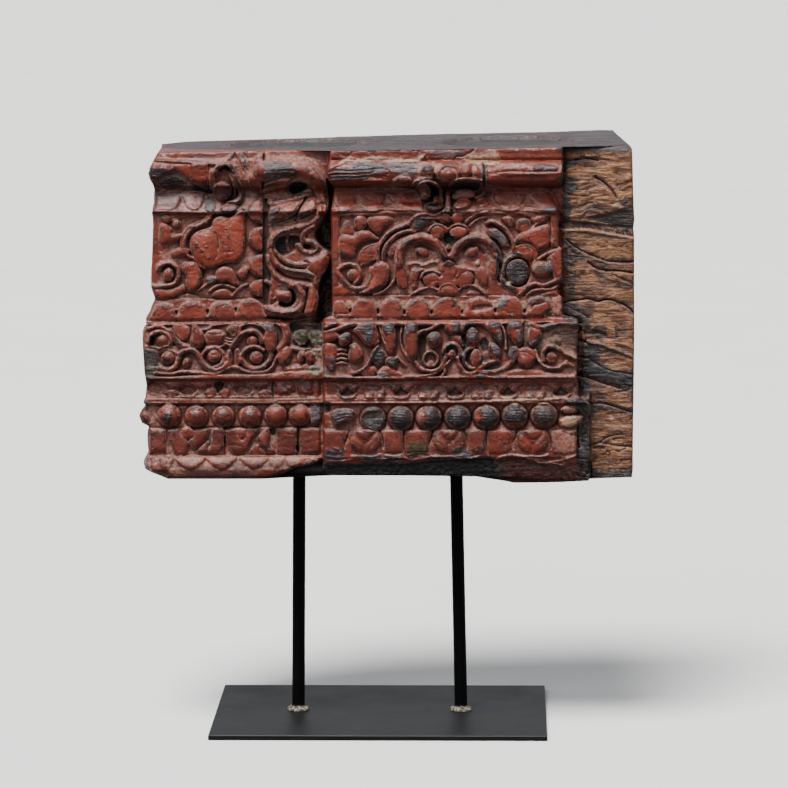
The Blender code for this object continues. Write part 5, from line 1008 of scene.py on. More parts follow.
    # --- beads
    b.pit([(322, 405), (326, 402.6), (330.8, 404), (330.4, 411), (326, 413.4), (322, 412)], 4.4, 1.6)
    b.boss([(331, 415), (334, 410.4), (342, 408.6), (351, 409.4), (355.4, 413.4), (352.6, 420), (344, 424), (336, 426.4),
            (332.6, 421)], 5.6, 2.4, 1.2, slope=(0.02, -0.14))
    for k in range(3):
        b.cut([(333, 415 + 3.4 * k), (342, 411.6 + 3.4 * k), (352, 411.4 + 3 * k)], 1.5, 0.9)
    for k, (c, cv, ru, rv, h) in enumerate(((373, 418.6, 13, 13.4, 6.4), (401, 418, 13.2, 12.8, 8.8), (429, 417.4, 13.6, 12.8, 8.8),
                                            (457.6, 417, 13.8, 12.8, 8.8), (486.6, 416.8, 13.8, 12.6, 8.8),
                                            (514.8, 416, 13.6, 12.8, 8.6), (544, 415.4, 14.2, 12.8, 8.4))):
        b.dome(c, cv, ru, rv, h, 0.0)
        b.cut(arc(c, cv, ru + 0.7, rv + 0.7, 0, 360, 28), 2.2, 1.2, n=2)
        if k:
            for j in range(7):
                dv = -8.6 + 2.9 * j
                half = 0.82 * math.sqrt(max(0.0, ru * ru - dv * dv))
                w = 0.6 * math.sin(1.7 * j + 2.1 * k)
                b.cut([(c - half, cv + dv + w), (c - half * 0.3, cv + dv - 0.7 * w), (c + half * 0.4, cv + dv + 0.8),
                       (c + half, cv + dv - w)], 1.3, 0.55 + 0.3 * ((j + k) % 3 == 0))
    b.boss([(362, 421), (364.6, 415.4), (371, 412.4), (379, 412.6), (384.6, 417), (384, 423), (378, 427.6), (370, 429),
            (364, 426.4)], 2.6, 2.2, 0.3, slope=(0.05, 0.12))
    b.cut([(421, 412), (417.4, 418), (418, 424)], 2.0, 1.0)
    b.cut([(428, 408), (424, 414), (422, 421), (424, 427)], 2.2, 1.2)
    b.boss([(560.8, 410), (564.6, 406.4), (572, 405.4), (577.4, 408.6), (575.6, 412.4), (567, 413.4)], 5.0, 2.0, 1.0)
    b.boss([(559, 420), (566, 415.8), (575, 415), (582.6, 416.4), (581, 422), (573, 427), (562, 428)], 3.8, 2.2, 0.9,
           slope=(-0.05, 0))
    b.boss([(566, 401), (573, 397.6), (582, 399), (589.4, 406), (590, 414), (585, 415), (579, 409), (572, 404)], 3.2, 2.2, 0.9,
           slope=(-0.08, -0.05))
    # --- tulips and blocks
    b.cut([(324, 428.6), (400, 431.4), (460, 430.6), (560, 429.6)], 1.8, 1.2)
    b.boss([(324, 430.6), (577, 430), (577, 458), (324, 459)], 0.1, 1.5, 0, raw=True)
    for u0, u1, lev in ((324.6, 344.6, 1.2), (385.4, 403, 1.1), (405.6, 428.6, 1.5), (471, 485.4, 1.2), (488, 509.6, 1.0),
                        (553, 576, 1.3)):
        b.boss([(u0, 431), (u1, 430.6), (u1 - 0.6, 443), (u1 - 1.2, 452.4), (u0 + 1.6, 452.8), (u0 + 0.2, 443)], lev, 1.5, 0.5, n=2)
    for j, c in enumerate((365, 449, 533)):
        b.boss([(c - 14.4, 431), (c + 14.6, 430.8), (c + 16, 440), (c + 14, 447), (c + 8, 452.6), (c, 453.4), (c - 8, 452.4),
                (c - 13.4, 447), (c - 15.4, 439)], 0.9, 1.8, 0.4, n=3)
        b.boss([(c - 15, 439), (c - 10.4, 435), (c - 6.6, 438.6), (c - 2, 443), (c - 1.4, 448), (c - 5, 452.2), (c - 11, 450.6),
                (c - 14.6, 445)], 1.7, 1.5, 0.8)
        b.boss([(c + 1.4, 444), (c + 5, 438.4), (c + 10, 433), (c + 14.4, 434.6), (c + 15.4, 442), (c + 12, 449), (c + 5.4, 452.6),
                (c + 1, 449)], 1.7, 1.5, 0.8)
        b.boss([(c - 7.6, 430.4), (c + 8.4, 430.2), (c + 6.4, 436), (c + 1, 440.2), (c - 4.6, 438), (c - 7, 434)], 2.3, 1.4, 0.6)
        b.rib([(c - 8.4, 433), (c - 5, 439.4), (c + 1, 441.8), (c + 6.6, 438.4), (c + 10, 431.8)], 1.5, 1.9, 0.5)
        b.cut([(c, 442.6), (c - 0.8, 447), (c - 0.2, 452.6)], 1.1, 0.8)
        b.cut([(c - 13, 442), (c - 8, 444), (c - 3.6, 449)], 0.9, 0.5)
        b.cut([(c + 12.6, 441), (c + 8, 443.6), (c + 4, 449.6)], 0.9, 0.5)
        b.cut([(c - 16, 430.6), (c - 17.6, 437), (c - 20.4, 444), (c - 20, 449)], 2.3, 2.5, taper=(1.2, 0.4))
        b.cut([(c + 14.4, 430.6), (c + 17, 436), (c + 18.6, 443), (c + 18, 449)], 2.3, 2.5, taper=(1.2, 0.4))
        b.cut([(c - 14, 453.6), (c - 5, 454.6), (c + 5, 454.8), (c + 14, 453)], 1.5, 1.0)
        b.rib([(c - 13, 457.4), (c - 4, 456.4), (c + 6, 457), (c + 15, 455.4)], 2.2, 1.1 + 0.4 * (j != 1), 0.7)
    for c in (404.2, 486.8):
        b.cut([(c, 430.6), (c - 0.6, 440), (c, 449), (c + 2.6, 458)], 2.0, 2.4, taper=(1.2, 0.5))
    b.rib([(386, 455.8), (394, 456.6), (402, 455.6)], 2.4, 1.3, 0.6)
    b.rib([(407, 455.4), (418, 452.6), (428, 454)], 2.2, 1.2, 0.6)
    b.cut([(387, 453.4), (402, 453)], 1.4, 0.9)
    for k in range(5):
        b.cut([(325, 451 + 2 * k), (335, 450.4 + 2 * k), (345, 451.6 + 2 * k)], 0.9, 0.5)
    # --- broken lower edge
    ragged = sstep((b.V - np.interp(b.U, (322, 340, 375, 400, 430, 463, 485, 510, 545, 560, 590),
                                    (463, 464, 462.4, 463, 459, 457.6, 456, 459, 462, 466, 460))) / 3.0) * (b.U > 323) * (b.U < 592)
    F[...] -= ragged * (3.6 + 1.6 * b.rag)
    # painted shade: the hollow under the broken lower edge is marked black
    b.T["hole_and_shade"] = np.maximum(b.T["hole_and_shade"], ragged * (b.U < 494) * 1.0)
    for k in range(13):
        v = 460 + 1.8 * k
        b.cut([(490, v + 3), (515, v + 1.2 + 1.4 * math.sin(k)), (545, v + 0.6), (570, v - 1.4), (590, v + 1.6 * math.sin(2.3 * k))],
              1.5, 0.9 + 0.5 * (k % 3 == 0))
    b.rib([(497, 459.6), (508, 455.6), (521, 457), (533, 460.4), (543, 463.4), (556, 461.6), (566, 459.6), (576, 455.6)],
          2.6, 1.6, 0.9)
    b.rib([(545, 463.6), (556, 464), (562, 466)], 2.4, 1.8, 0.8)
    b.rib([(327, 462), (345, 461), (360, 458.4), (380, 459.4), (400, 457.6), (412, 460.4), (430, 457.4), (452, 456.8),
           (463, 459.6), (478, 457)], 2.8, 1.2, 0.9)


def draw_raw(b):
    """Split and hewn end of the timber, right of the carving."""
    U, V = b.U, b.V
    raw = sstep((U - np.interp(V, (146, 314, 316, 396, 398, 484), (560.0, 560.0, 576.0, 576.0, 576.0, 576.0))) / 1.6)
    lean = np.interp(V, (146, 222, 238, 300, 335, 385, 425, 484), (0.0, -0.08, 0.20, 0.10, 0.20, 0.20, 0.04, 0.0))
    W = V - lean * (U - 600) + 4.0 * noise(U / 22.0, V / 16.0, 29) + 1.5 * noise(U / 7.0, V / 6.0, 30)
    fine, mid = fbm(U / 11.0, W / 1.25, 31, 3), fbm(U / 20.0, W / 5.0, 35, 2)
    split = np.clip(1 - np.abs(fbm(U / 15.0, W / 4.5, 41, 2)) / 0.05, 0, 1) * np.clip(2.4 * noise(U / 10.0, V / 7.0, 43), 0, 1)
    b.F += raw * (0.42 * fine + 0.75 * mid + 0.8 * noise(U / 15.0, V / 12.0, 37) - 1.4 * split)
    b.T["gold"] = raw * np.clip(0.60 + 0.85 * mid + 0.35 * fine + 0.5 * noise(U / 13.0, V / 10.0, 45), 0, 1)
    b.T["dark"] = np.maximum(b.T["dark"], raw * np.clip(0.75 * split + 1.6 * np.clip(-fine - 0.22, 0, 1), 0, 0.9))
    for path, w, d in (([(561, 165), (566, 161), (576, 159.6), (588, 158.4), (598, 160.6)], 2.4, 2.2),
                       ([(595, 177), (602, 181), (609, 187), (614.6, 194), (617, 198.6)], 3.0, 2.6),
                       ([(562, 190), (568, 194), (577, 195.6), (588, 196.4)], 1.4, 1.6),
                       ([(590, 199.6), (606, 201), (622, 202)], 1.0, 0.8),
                       ([(566, 239), (573, 245), (582, 251), (594, 256), (606, 260.6), (620, 262), (634, 261.6)], 2.0, 2.6),
                       ([(588, 262), (596, 268), (606, 270.4), (620, 271), (634, 273)], 2.6, 2.8),
                       ([(612, 274), (620, 278), (628, 281.6), (634, 286)], 1.5, 1.6),
                       ([(563, 287), (576, 285.4), (592, 285), (607, 288)], 1.0, 1.0),
                       ([(562, 302.6), (574, 300.4), (588, 299), (598, 301.4), (604, 299.6), (612, 300), (621, 303.4), (628, 307), (634, 313)], 2.0, 3.0),
                       ([(563, 306), (572, 309), (582, 314), (590, 318)], 2.2, 1.4),
                       ([(580, 330), (590, 334), (600, 333)], 1.8, 1.3),
                       ([(577, 339), (586, 342)], 2.6, 2.0),
                       ([(602, 354), (608, 351.6), (618, 353.6)], 1.4, 1.0),
                       ([(578, 356), (588, 359), (600, 366), (612, 371), (634, 375)], 1.8, 1.5),
                       ([(578, 375), (592, 379), (606, 384), (620, 388)], 3.0, 2.4),
                       ([(614, 392), (624, 391), (634, 388.4)], 1.6, 1.2),
                       ([(592, 403), (604, 403.6), (616, 407), (634, 413)], 2.4, 2.4),
                       ([(588, 446), (594, 444.6), (601, 441.4), (607, 437.4), (612, 435.6), (624, 434)], 1.6, 2.4),
                       ([(600, 442), (610, 444.4), (622, 446), (634, 447)], 1.6, 2.2),
                       ([(562, 431), (572, 435), (582, 437), (590, 438)], 1.6, 1.6),
                       ([(578, 422), (577, 436), (579, 448)], 2.0, 2.4),
                       ([(590, 397), (589.6, 420), (590, 444), (589.6, 470)], 2.0, 2.6)):
        b.cut(path, w * 1.25, d)
        b.streak("hole_and_shade", path, w * 0.36, 0.95, 0.3)
        b.streak("dark", path, w * 1.1, 0.5, 1.2)
    # dark fan of fibres that narrows to the left, and the torn split below it
    b.boss([(588, 218.6), (604, 214.6), (620, 210), (635, 206.4), (636, 226), (616, 225), (598, 221.6)], -1.6, 2.2, 0, slope=(0, -0.06))
    b.boss([(560, 221.4), (575, 221.6), (590, 222.6), (610, 225), (635, 228), (635, 236.6), (608, 232.6), (585, 228.4), (560, 228.4)],
           -3.2, 1.6, 0)
    b.streak("dark", [(562, 224.6), (580, 225), (600, 227.4), (618, 230), (634, 232)], 5.6, 0.95, 1.0)
    for k in range(20):
        u = 563 + 3.5 * k
        v = 222.4 + 0.10 * (u - 563)
        b.rib([(u - 2.4, v + 0.6), (u, v + 2.4), (u + 3.2, v + 5.2 + 0.6 * (k % 3))], 0.9, -2.0 + 0.5 * (k % 2), 0.4, 0.8)
        if k % 2:
            b.streak("cream", [(u - 2.0, v + 0.8), (u + 3.0, v + 5.0)], 0.6, 0.6, 0.5)
    lip = [(567, 230.2), (578, 230.4), (590, 230.8), (604, 233.8), (620, 236.4), (634, 239)]
    b.rib(lip, 3.0, 1.2, 0.9)
    b.streak("grey", lip, 1.5, 0.5, 0.6)
    b.streak("cream", [(566, 229.6), (574, 229.8), (584, 229.4)], 1.6, 0.8, 0.6)
    # glossy band of long fibres
    band = [(588, 341.6), (598, 344), (610, 347.4), (622, 352), (634, 357.4)]
    b.rib(band, 3.6, 1.5, 1.0)
    b.streak("grey", band, 2.0, 0.62, 0.8)
    b.rib([(616, 342.6), (626, 345), (634, 349)], 2.6, 1.0, 0.8)
    b.rib([(572, 322.6), (580, 325)], 3.2, 1.6, 1.0)
    core = (U > 577) * (U < 590) * sstep((V - 396) / 6.0)
    b.F[...] += core * (0.9 * fbm(U / 4.0, V / 3.0, 51, 3))


def tint_right(b):
    g = lambda pts, a=1.0, s=1.4, r=1.0, t=None: b.tint("grey", pts, a, s, r, take=t)
    d = lambda pts, a=1.0, s=1.4, r=1.0, t=None: b.tint("dark", pts, a, s, r, take=t)
    b.streak("cream", [(340.3, 163.6), (346.7, 160), (360, 160.6), (378, 159.4), (398, 160.6), (417.5, 160), (422, 157)], 2.6, 0.85, 0.7)
    d([(328, 171.4), (338, 168.8), (352, 168), (364, 169.6), (364, 173.4), (350, 174), (336, 173.6), (328, 174.6)], 1.0, 1.2, 0.8)
    d([(329, 177), (345, 175.8), (366, 175.6), (367, 178.8), (348, 179.8), (332, 180)], 1.0, 1.2, 0.8)
    b.tint("bright", [(333, 166.4), (342, 164.8), (352, 165.6), (352, 168.4), (340, 169)], 0.9, 1.2, 0.6)
    g([(351, 163), (368, 161.6), (384, 163), (386, 170), (372, 174.6), (362, 171), (352, 169)], 0.85, 2, 1.6)
    g([(388, 163), (404, 162), (416, 163), (417, 174), (404, 177), (392, 172), (386, 168)], 0.7, 2, 1.8)
    d([(362, 172), (376, 171), (382, 174.4), (372, 178), (362, 176.6)], 0.5, 2, 1.8)
    g([(340, 150), (368, 151), (420, 151), (450, 150.6), (500, 149.4), (560, 148.4), (560, 151.4), (440, 154), (370, 154.6), (340, 153.4)],
      0.45, 2, 1.6)
    d([(424, 166.6), (430, 165), (434, 168), (432, 171), (425, 170)], 0.95)
    g([(434, 150), (452, 151), (466, 152), (458, 157), (444, 158), (434, 155)], 0.6, 2, 1.6)
    b.tint("moss", [(444, 172), (450, 170.6), (453, 175), (450, 179), (445, 178)], 0.4, 1.5, 1)
    d([(442.6, 164), (450, 162.6), (455, 166), (450, 170), (443, 169)], 0.5, 1.4, 1.4)
    b.tint("cream", [(464, 157), (480, 154), (499, 153), (500, 164), (484, 164.6), (468, 164)], 0.55, 2, 1.6)
    d([(481.4, 164), (487, 163.6), (487.4, 184), (482.4, 184)], 0.9)
    d([(454, 183.6), (480, 183), (479, 190), (458, 190)], 0.95, 1.4, 0.8)
    g([(414, 184), (419, 179.4), (430, 177.8), (433, 179.4), (424, 183), (416, 188)], 0.9, 1.3, 0.8)
    g([(425.4, 185.4), (430.4, 184.8), (430, 193), (426, 194)], 0.75, 1.3, 1)
    b.tint("moss", [(424, 189), (429.4, 189), (429, 194), (424.6, 194)], 0.4, 1.3, 1)
    d([(424.8, 205.6), (431, 202.8), (440, 203), (443.6, 205.6), (437, 208), (428, 208.4)], 0.95, 1.2, 0.6)
    d([(441.8, 209), (452.6, 208.8), (452, 212.6), (443, 212.6)], 0.95)
    b.tint("grey", [(534.4, 166), (545, 165.6), (556, 167), (555.6, 170.4), (535, 170.4)], 1.0, 1.0, 0.6)
    g([(544, 207.6), (556.6, 206), (557, 212), (545, 212.4)], 0.9, 1.4, 1.2)
    d([(414, 222), (418, 217.8), (425, 219), (425, 226), (419, 230), (413.6, 230)], 1.0, 1.2, 0.7)
    d([(420, 218.4), (438, 218.2), (437.6, 223), (428, 222.6), (421, 222)], 0.85, 1.2, 0.8)
    d([(386.4, 254), (389, 246), (395, 241), (402, 236.6), (400, 242), (394, 249), (390, 256)], 0.35, 1.4, 1.4)
    b.tint("moss", [(385, 236), (391, 231), (393, 235), (388, 243), (384, 244)], 0.4, 1.2, 1.2)
    b.tint("moss", [(367, 276), (371, 277), (369, 284), (366, 281)], 0.5, 1.2, 1.0)
    g([(324, 272), (332, 270), (333, 280), (326, 281)], 0.8)
    d([(442.6, 234.4), (448.4, 232.4), (454.4, 236), (454, 243.6), (449, 246), (444, 243)], 1.0, 1.2, 0.6)
    b.tint("bright", ell(448.7, 247, 3, 3.2), 0.9, 1.0, 0.5)
    d([(444.6, 264.6), (448.6, 262.4), (452, 264.4), (451, 266.2), (446, 266.4)], 0.6, 1.0, 0.5)
    g([(489.4, 230), (496, 229.4), (503, 234), (507, 241), (504, 246), (497, 241), (490, 236)], 0.95, 1.3, 0.8)
    d([(489, 237), (496, 241), (501, 250), (498, 254), (492, 245)], 0.75, 1.2, 0.8)
    d([(496.5, 254), (503, 251), (504, 262), (501, 280), (496.6, 280)], 0.95, 1.3, 0.8)
    d([(502, 256), (511, 252.6), (522, 254), (514, 259), (507.6, 266), (506, 276), (510, 284), (518, 287.6), (506, 290), (499, 280)], 0.9, 1.3, 0.8)
    d([(507, 272), (510, 263), (516, 260), (523, 261.6), (528, 268), (528, 277), (522, 284), (514, 285), (508.6, 280)], 0.62, 1.4, 1.2)
    b.tint("cream", [(506, 282), (511.6, 281.6), (511, 285.6), (507, 285.6)], 0.9, 1.0, 0.5)
    b.tint("bright", ell(517.4, 290, 3.6, 2.4), 0.9, 1.0, 0.5)
    g([(545, 263.6), (551, 262), (553.6, 267), (551, 272.6), (546, 271.6)], 1.0, 1.2, 0.7)
    b.tint("wood", [(532, 268), (536, 263), (544, 262), (546, 269), (544, 276), (536, 275)], 0.7, 1.6, 1.4)
    b.tint("cream", [(477.4, 261), (480, 263.4), (477.4, 265.6), (475, 263.4)], 0.9, 1.0, 0.5)
    for pts, a in (([(497, 306), (499, 299.6), (505, 297.4), (508, 300), (504, 307), (500, 311)], 0.9),
                   ([(529, 303), (534, 297.6), (543, 296.4), (550, 299.6), (551, 305), (546, 301.6), (538, 300), (533, 304)], 0.95),
                   ([(356, 301.6), (363, 298), (370, 300), (367, 302), (360, 302)], 0.55),
                   ([(386, 301), (392, 298), (397, 300), (392, 301.6)], 0.55),
                   ([(408, 304.6), (413, 299.6), (420, 298.4), (416, 302), (411, 305.6)], 0.8),
                   ([(436, 303.6), (442, 298.6), (451, 297.6), (444, 301), (439, 305)], 0.7)):
        g(pts, a, 1.2, 0.9)
    b.tint("dark", [(541, 316), (546, 310), (553, 309), (551, 315), (545, 318)], 0.85)
    b.tint("pink", [(552, 298), (562.6, 298), (563, 316), (555, 316)], 0.7, 1.6, 1.2)
    for u in (350, 378, 404, 431.5, 462, 495, 524.4):
        b.tint("cream", [(u - 3.4, 301), (u + 3.4, 301), (u + 1, 309), (u - 1, 309)], 0.62, 1.2, 0.8)
    # scroll band patches
    g([(323, 318), (332, 317.6), (336, 321), (328, 323)], 0.5)
    for pts, a in (([(354, 329), (360, 326), (364, 328), (360, 332)], 0.8), ([(362, 323), (373, 323), (373, 336), (370, 343), (364, 339), (361, 330)], 0.92),
                   ([(339.4, 336), (344, 333), (349.6, 334), (346, 338), (340, 341)], 0.85),
                   ([(383, 326), (389.6, 322.6), (393.6, 326), (393, 331), (386, 333)], 0.95),
                   ([(404.6, 327), (408, 322.8), (415.4, 322.8), (415, 331), (409, 334), (405.6, 339)], 0.95),
                   ([(326.4, 358), (335.6, 357), (336, 363), (330, 362)], 0.8),
                   ([(328, 365), (335.6, 366), (334, 371), (329, 370)], 0.75),
                   ([(427.6, 338), (430, 333), (436, 331.4), (440, 335), (438, 340), (431, 341)], 0.95),
                   ([(376, 374.6), (382, 372), (389, 374.6), (387, 379), (379, 379)], 0.75),
                   ([(453, 322), (459, 321), (460.6, 328), (455, 332), (452, 328)], 0.8),
                   ([(462, 329), (466, 322), (476, 321.6), (480, 324), (470, 326), (465, 331)], 0.8),
                   ([(467, 336), (468.6, 330), (473, 328), (477, 332), (477, 339), (470, 341)], 1.0),
                   ([(489.6, 322), (498.6, 321.6), (499, 327), (491, 327.6)], 0.95),
                   ([(497, 331), (501.6, 332), (502, 340), (498, 341)], 0.8),
                   ([(491, 344), (497, 343.6), (500.6, 350), (499, 356), (492, 353)], 0.9),
                   ([(508, 322), (519, 320.6), (521, 327), (510, 328)], 1.0),
                   ([(516.6, 332), (522, 331), (521.6, 342), (517, 341)], 0.75),
                   ([(527, 345), (534, 339.6), (541, 336.6), (540, 341), (532, 346)], 0.9),
                   ([(544, 355), (546.6, 348.6), (553, 346.8), (560, 350), (553, 350.6), (548, 356)], 0.9),
                   ([(543, 326), (552, 323.6), (566, 320.6), (570, 324), (556, 327.6), (545, 329)], 0.7),
                   ([(564, 314.6), (577, 314), (578, 326), (570, 322), (564, 319)], 0.85),
                   ([(479, 375), (490, 366.6), (499, 364.6), (498, 369), (490, 371), (482, 376)], 0.85),
                   ([(507, 349), (514, 346), (516, 352), (511, 361), (507.6, 356)], 0.8),
                   ([(462, 350), (467, 347.6), (470, 350), (466, 360), (462, 360)], 0.85),
                   ([(535, 360), (541, 362), (538, 366), (534, 364)], 0.7)):
        g(pts, a, 1.2, 0.9)
    for pts, a in (([(370.6, 357), (374.6, 350), (379, 347.4), (384.6, 351.4), (387, 356.6), (382.6, 363), (378.4, 366.6), (373.6, 362)], 1.0),
                   ([(386, 362), (390, 357.4), (396.4, 358), (396.6, 366), (390, 367)], 0.85),
                   ([(460, 337), (464, 333.6), (466, 338), (465.6, 345), (461, 346)], 0.95),
                   ([(444, 352), (446, 346), (452, 344), (458, 347), (459, 352), (452, 348.6), (447, 354)], 0.9),
                   ([(477, 374), (486, 374.4), (484, 379), (477, 378)], 0.9),
                   ([(494, 377), (505, 375.4), (504, 379), (494, 379.6)], 0.8),
                   ([(480, 341), (488, 339), (489, 348), (482, 350)], 0.7)):
        d(pts, a, 1.2, 0.8)
    b.tint("moss", [(419, 336), (425, 334), (426, 350), (424, 362), (419.4, 358)], 0.5, 1.6, 1.8)
    b.tint("wood", [(534, 346), (541, 337), (552, 331), (576, 332), (577, 361), (566, 352), (556, 346), (545, 346), (540, 353), (536, 352)], 0.75, 1.8, 1.4)
    b.tint("wood", [(480, 356), (488, 353), (490, 360), (482, 366)], 0.6, 1.4, 1.4)
    b.tint("cream", [(523.4, 323), (530, 322.4), (527, 344), (524.4, 344)], 0.75, 1.2, 0.8)
    b.streak("cream", [(500.6, 324), (504.6, 331), (506, 349)], 1.6, 0.7)
    b.streak("cream", [(535, 351), (538, 359), (543, 365)], 1.8, 0.8)
    b.tint("pink", [(563, 360), (577, 362), (577, 378), (565, 378)], 0.6, 1.6, 1.2)
    b.tint("dark", [(323, 369), (334, 370), (333, 376), (323, 377)], 0.6, 1.6, 1.6)
    # chain band
    for c in (347.5, 401, 455, 508, 561):
        d([(c - 6.4, 393), (c - 2.6, 389.6), (c, 386.4), (c + 2.6, 389.6), (c + 6.4, 393), (c, 394.6)], 0.95, 1.0, 0.6)
    for c in (374.5, 428, 481, 534):
        d([(c - 7, 390), (c - 5, 386.6), (c + 1, 385.2), (c + 6, 387.4), (c, 389.8)], 0.95, 1.0, 0.6)
    for pts in ([(436, 390), (444, 386), (448, 392), (443, 398), (437, 397)], [(462, 391), (472, 389.6), (474, 396), (464, 397)]):
        d(pts, 0.45, 1.4, 1.4)
    # cream along the ledge that faces up: dust, and a painted highlight
    b.tint("cream", [(474, 398), (500, 396), (530, 396.6), (556, 395), (556, 400), (520, 402.6), (486, 402)], 0.55, 1.6, 1.8)
    # beads
    g([(332, 412), (342, 408.8), (353, 409.6), (354, 413.6), (346, 419), (337, 425), (333, 420)], 1.0, 1.3, 0.7)
    d([(361.6, 421), (364.4, 415), (371, 412.2), (379, 412.4), (385, 417), (384.4, 423), (378, 428), (370, 429.2), (363.6, 427)], 1.2, 1.0, 0.4)
    g([(364, 411), (369, 406.6), (377, 406.4), (383, 411), (378, 411.6), (370, 411.4)], 0.85, 1.2, 0.8)
    g([(362, 428), (370, 430), (380, 427), (383, 429), (376, 432), (366, 432)], 0.6, 1.2, 0.8)
    d(ell(401, 418, 12.2, 12), 0.74, 1.6, 0.7)
    g([(391, 412), (396, 406.8), (404, 406), (410, 409.6), (404, 412), (396, 414)], 0.6, 1.4, 0.8)
    d([(424, 409), (431, 405.2), (438, 408), (442, 415), (440, 424), (433, 429.6), (424, 428.6), (421, 425), (426, 418)], 0.8, 1.3, 0.7)
    b.tint("pink", [(416.6, 416), (419, 411), (427, 408), (425, 414), (420, 422), (417, 420)], 0.7, 1.3, 0.8)
    d(ell(457.6, 417, 13, 12.2), 0.9, 1.4, 0.6)
    d([(480, 409), (488, 405.4), (497, 409), (500, 417), (496, 426), (487, 429), (478, 426.6), (477.6, 421), (482, 418)], 0.82, 1.4, 0.7)
    b.tint("bright", [(475.4, 415), (478.6, 413.6), (480, 417), (477.6, 420.6), (475.6, 419)], 0.9, 1.0, 0.4)
    d([(502.6, 417), (504, 409.6), (510, 405), (518, 404.6), (525, 408.6), (527.6, 415), (526, 420), (514, 422), (504, 421.6)], 0.84, 1.3, 0.6)
    d(ell(544, 415.4, 13.2, 12), 0.55, 1.4, 0.7)
    b.tint("wood", [(536, 410), (546, 408.6), (556, 413), (556, 423), (546, 427), (536, 424)], 0.7, 1.6, 1.4)
    b.tint("cream", [(560, 421), (567, 416.6), (581, 415.6), (578, 424), (567, 427.6)], 0.9, 1.4, 1.2)
    b.tint("pink", [(560.8, 410), (566, 406), (577, 407), (575, 412.6), (563, 413)], 0.7, 1.3, 0.9)
    g([(567, 401), (574, 398), (583, 400), (590, 408), (589, 414.4), (583, 412), (577, 406)], 0.95, 1.4, 0.9)
    # painted highlight: a pale streak along the upper arc of each bead
    for c, cv, ru, rv in ((429, 417.4, 13.2, 12.4), (457.6, 417, 13.4, 12.4), (486.6, 416.8, 13.4, 12.2), (514.8, 416, 13.2, 12.4),
                          (544, 415.4, 13.8, 12.4)):
        b.streak("cream", arc(c, cv, ru, rv, 150, 40, 10), 1.3, 0.6, 0.5)
    # tulip band and broken edge
    b.tint("moss", [(407, 446), (412, 443), (420, 444), (426, 446), (425, 454), (409, 454)], 0.85, 1.4, 1.6)
    b.tint("moss", [(435, 436), (440, 435), (441, 443), (436, 443)], 0.5, 1.4, 1.6)
    g([(325, 450), (342, 450.6), (344, 458), (326, 461)], 0.7, 1.6, 1.6)
    g([(360, 456), (376, 455), (386, 460), (372, 464), (360, 461)], 0.75, 1.6, 1.6)
    g([(388, 457), (402, 457), (401, 462), (389, 463)], 0.6, 1.6, 1.6)
    g([(449, 452), (460, 446), (468, 450), (474, 455), (466, 458), (452, 457)], 0.7, 1.6, 1.6)
    b.tint("pink", [(553, 431), (576, 434), (576, 456), (562, 459), (553, 450)], 0.6, 1.6, 1.4)
    # painted shade: black and dark under the broken lower edge
    b.tint("hole_and_shade", [(494, 461), (520, 459.6), (545, 464), (562, 468), (578, 466), (592, 464), (592, 484), (494, 484)], 0.5, 2, 1.2)
    d([(324, 464), (360, 464), (400, 463.4), (430, 459), (485, 456.4), (494, 459), (494, 480), (324, 480)], 1.0, 1.6, 0.8)
    # raw end: brown wood, darker bands
    raw = sstep((b.U - np.interp(b.V, (146, 314, 316, 384, 386, 398, 400, 484), (562.6, 562.6, 578, 578, 578, 590, 577, 577))) / 1.2)
    b.T["wood"] = np.maximum(b.T["wood"] * (1 - raw), raw)
    for k in ("bright", "pink"):
        b.T[k] *= 1 - raw
    for pts, a, s, r in (([(562, 157), (570, 160), (576, 158), (580, 162), (570, 168), (562, 172)], 0.8, 2.0, 1.6),
                         ([(562, 174), (572, 178), (578, 184), (574, 192), (566, 198), (562, 190)], 0.6, 2.0, 1.8),
                         ([(562, 200), (570, 202), (571, 212), (568, 222), (562, 222)], 0.75, 2.0, 1.6),
                         ([(590, 218.6), (606, 214), (622, 209.6), (634, 207), (634, 228), (612, 225), (598, 222)], 0.62, 1.6, 1.2),
                         ([(622, 199), (634, 197), (634, 206), (624, 206)], 0.5, 2.0, 1.8),
                         ([(562, 232), (568, 236), (576, 246), (583, 254), (588, 260), (580, 262), (570, 266), (562, 262)], 0.6, 2.4, 1.8),
                         ([(562, 262), (574, 264), (578, 276), (576, 298), (562, 300)], 0.46, 2.4, 2.0),
                         ([(562, 302), (576, 303), (588, 314), (590, 328), (578, 332), (562, 316)], 0.62, 2.4, 2.0),
                         ([(592, 327), (606, 326), (608, 334), (600, 339), (592, 336)], 0.6, 2.0, 1.8),
                         ([(614, 327), (620, 327), (620, 338), (615, 338)], 0.6, 2.0, 1.8),
                         ([(578, 342), (592, 345), (600, 350), (598, 362), (588, 362), (578, 358)], 0.95, 2.2, 1.6),
                         ([(578, 358), (600, 364), (614, 370), (634, 371), (634, 388), (612, 386), (592, 380), (578, 378)], 0.88, 2.0, 1.4),
                         ([(590, 401), (606, 401), (622, 406), (634, 410), (634, 416), (612, 411), (590, 408)], 0.62, 2.0, 1.4),
                         ([(577, 384), (590, 386), (590, 470), (577, 470)], 0.72, 2.0, 1.6),
                         ([(590, 470), (612, 471), (634, 471), (634, 480), (590, 480)], 0.8, 2.0, 1.6)):
        b.tint("dark", pts, a, s, r)
    g([(562, 145), (634, 144), (634, 150.6), (600, 151.6), (563, 151.6)], 0.85, 1.6, 1.2)
    g([(594, 150), (600, 150), (600, 158), (594, 158)], 0.5, 1.6, 1.4)
    g([(590, 362), (604, 364), (622, 372), (634, 374), (634, 380), (612, 378), (596, 372)], 0.5, 1.8, 1.6)
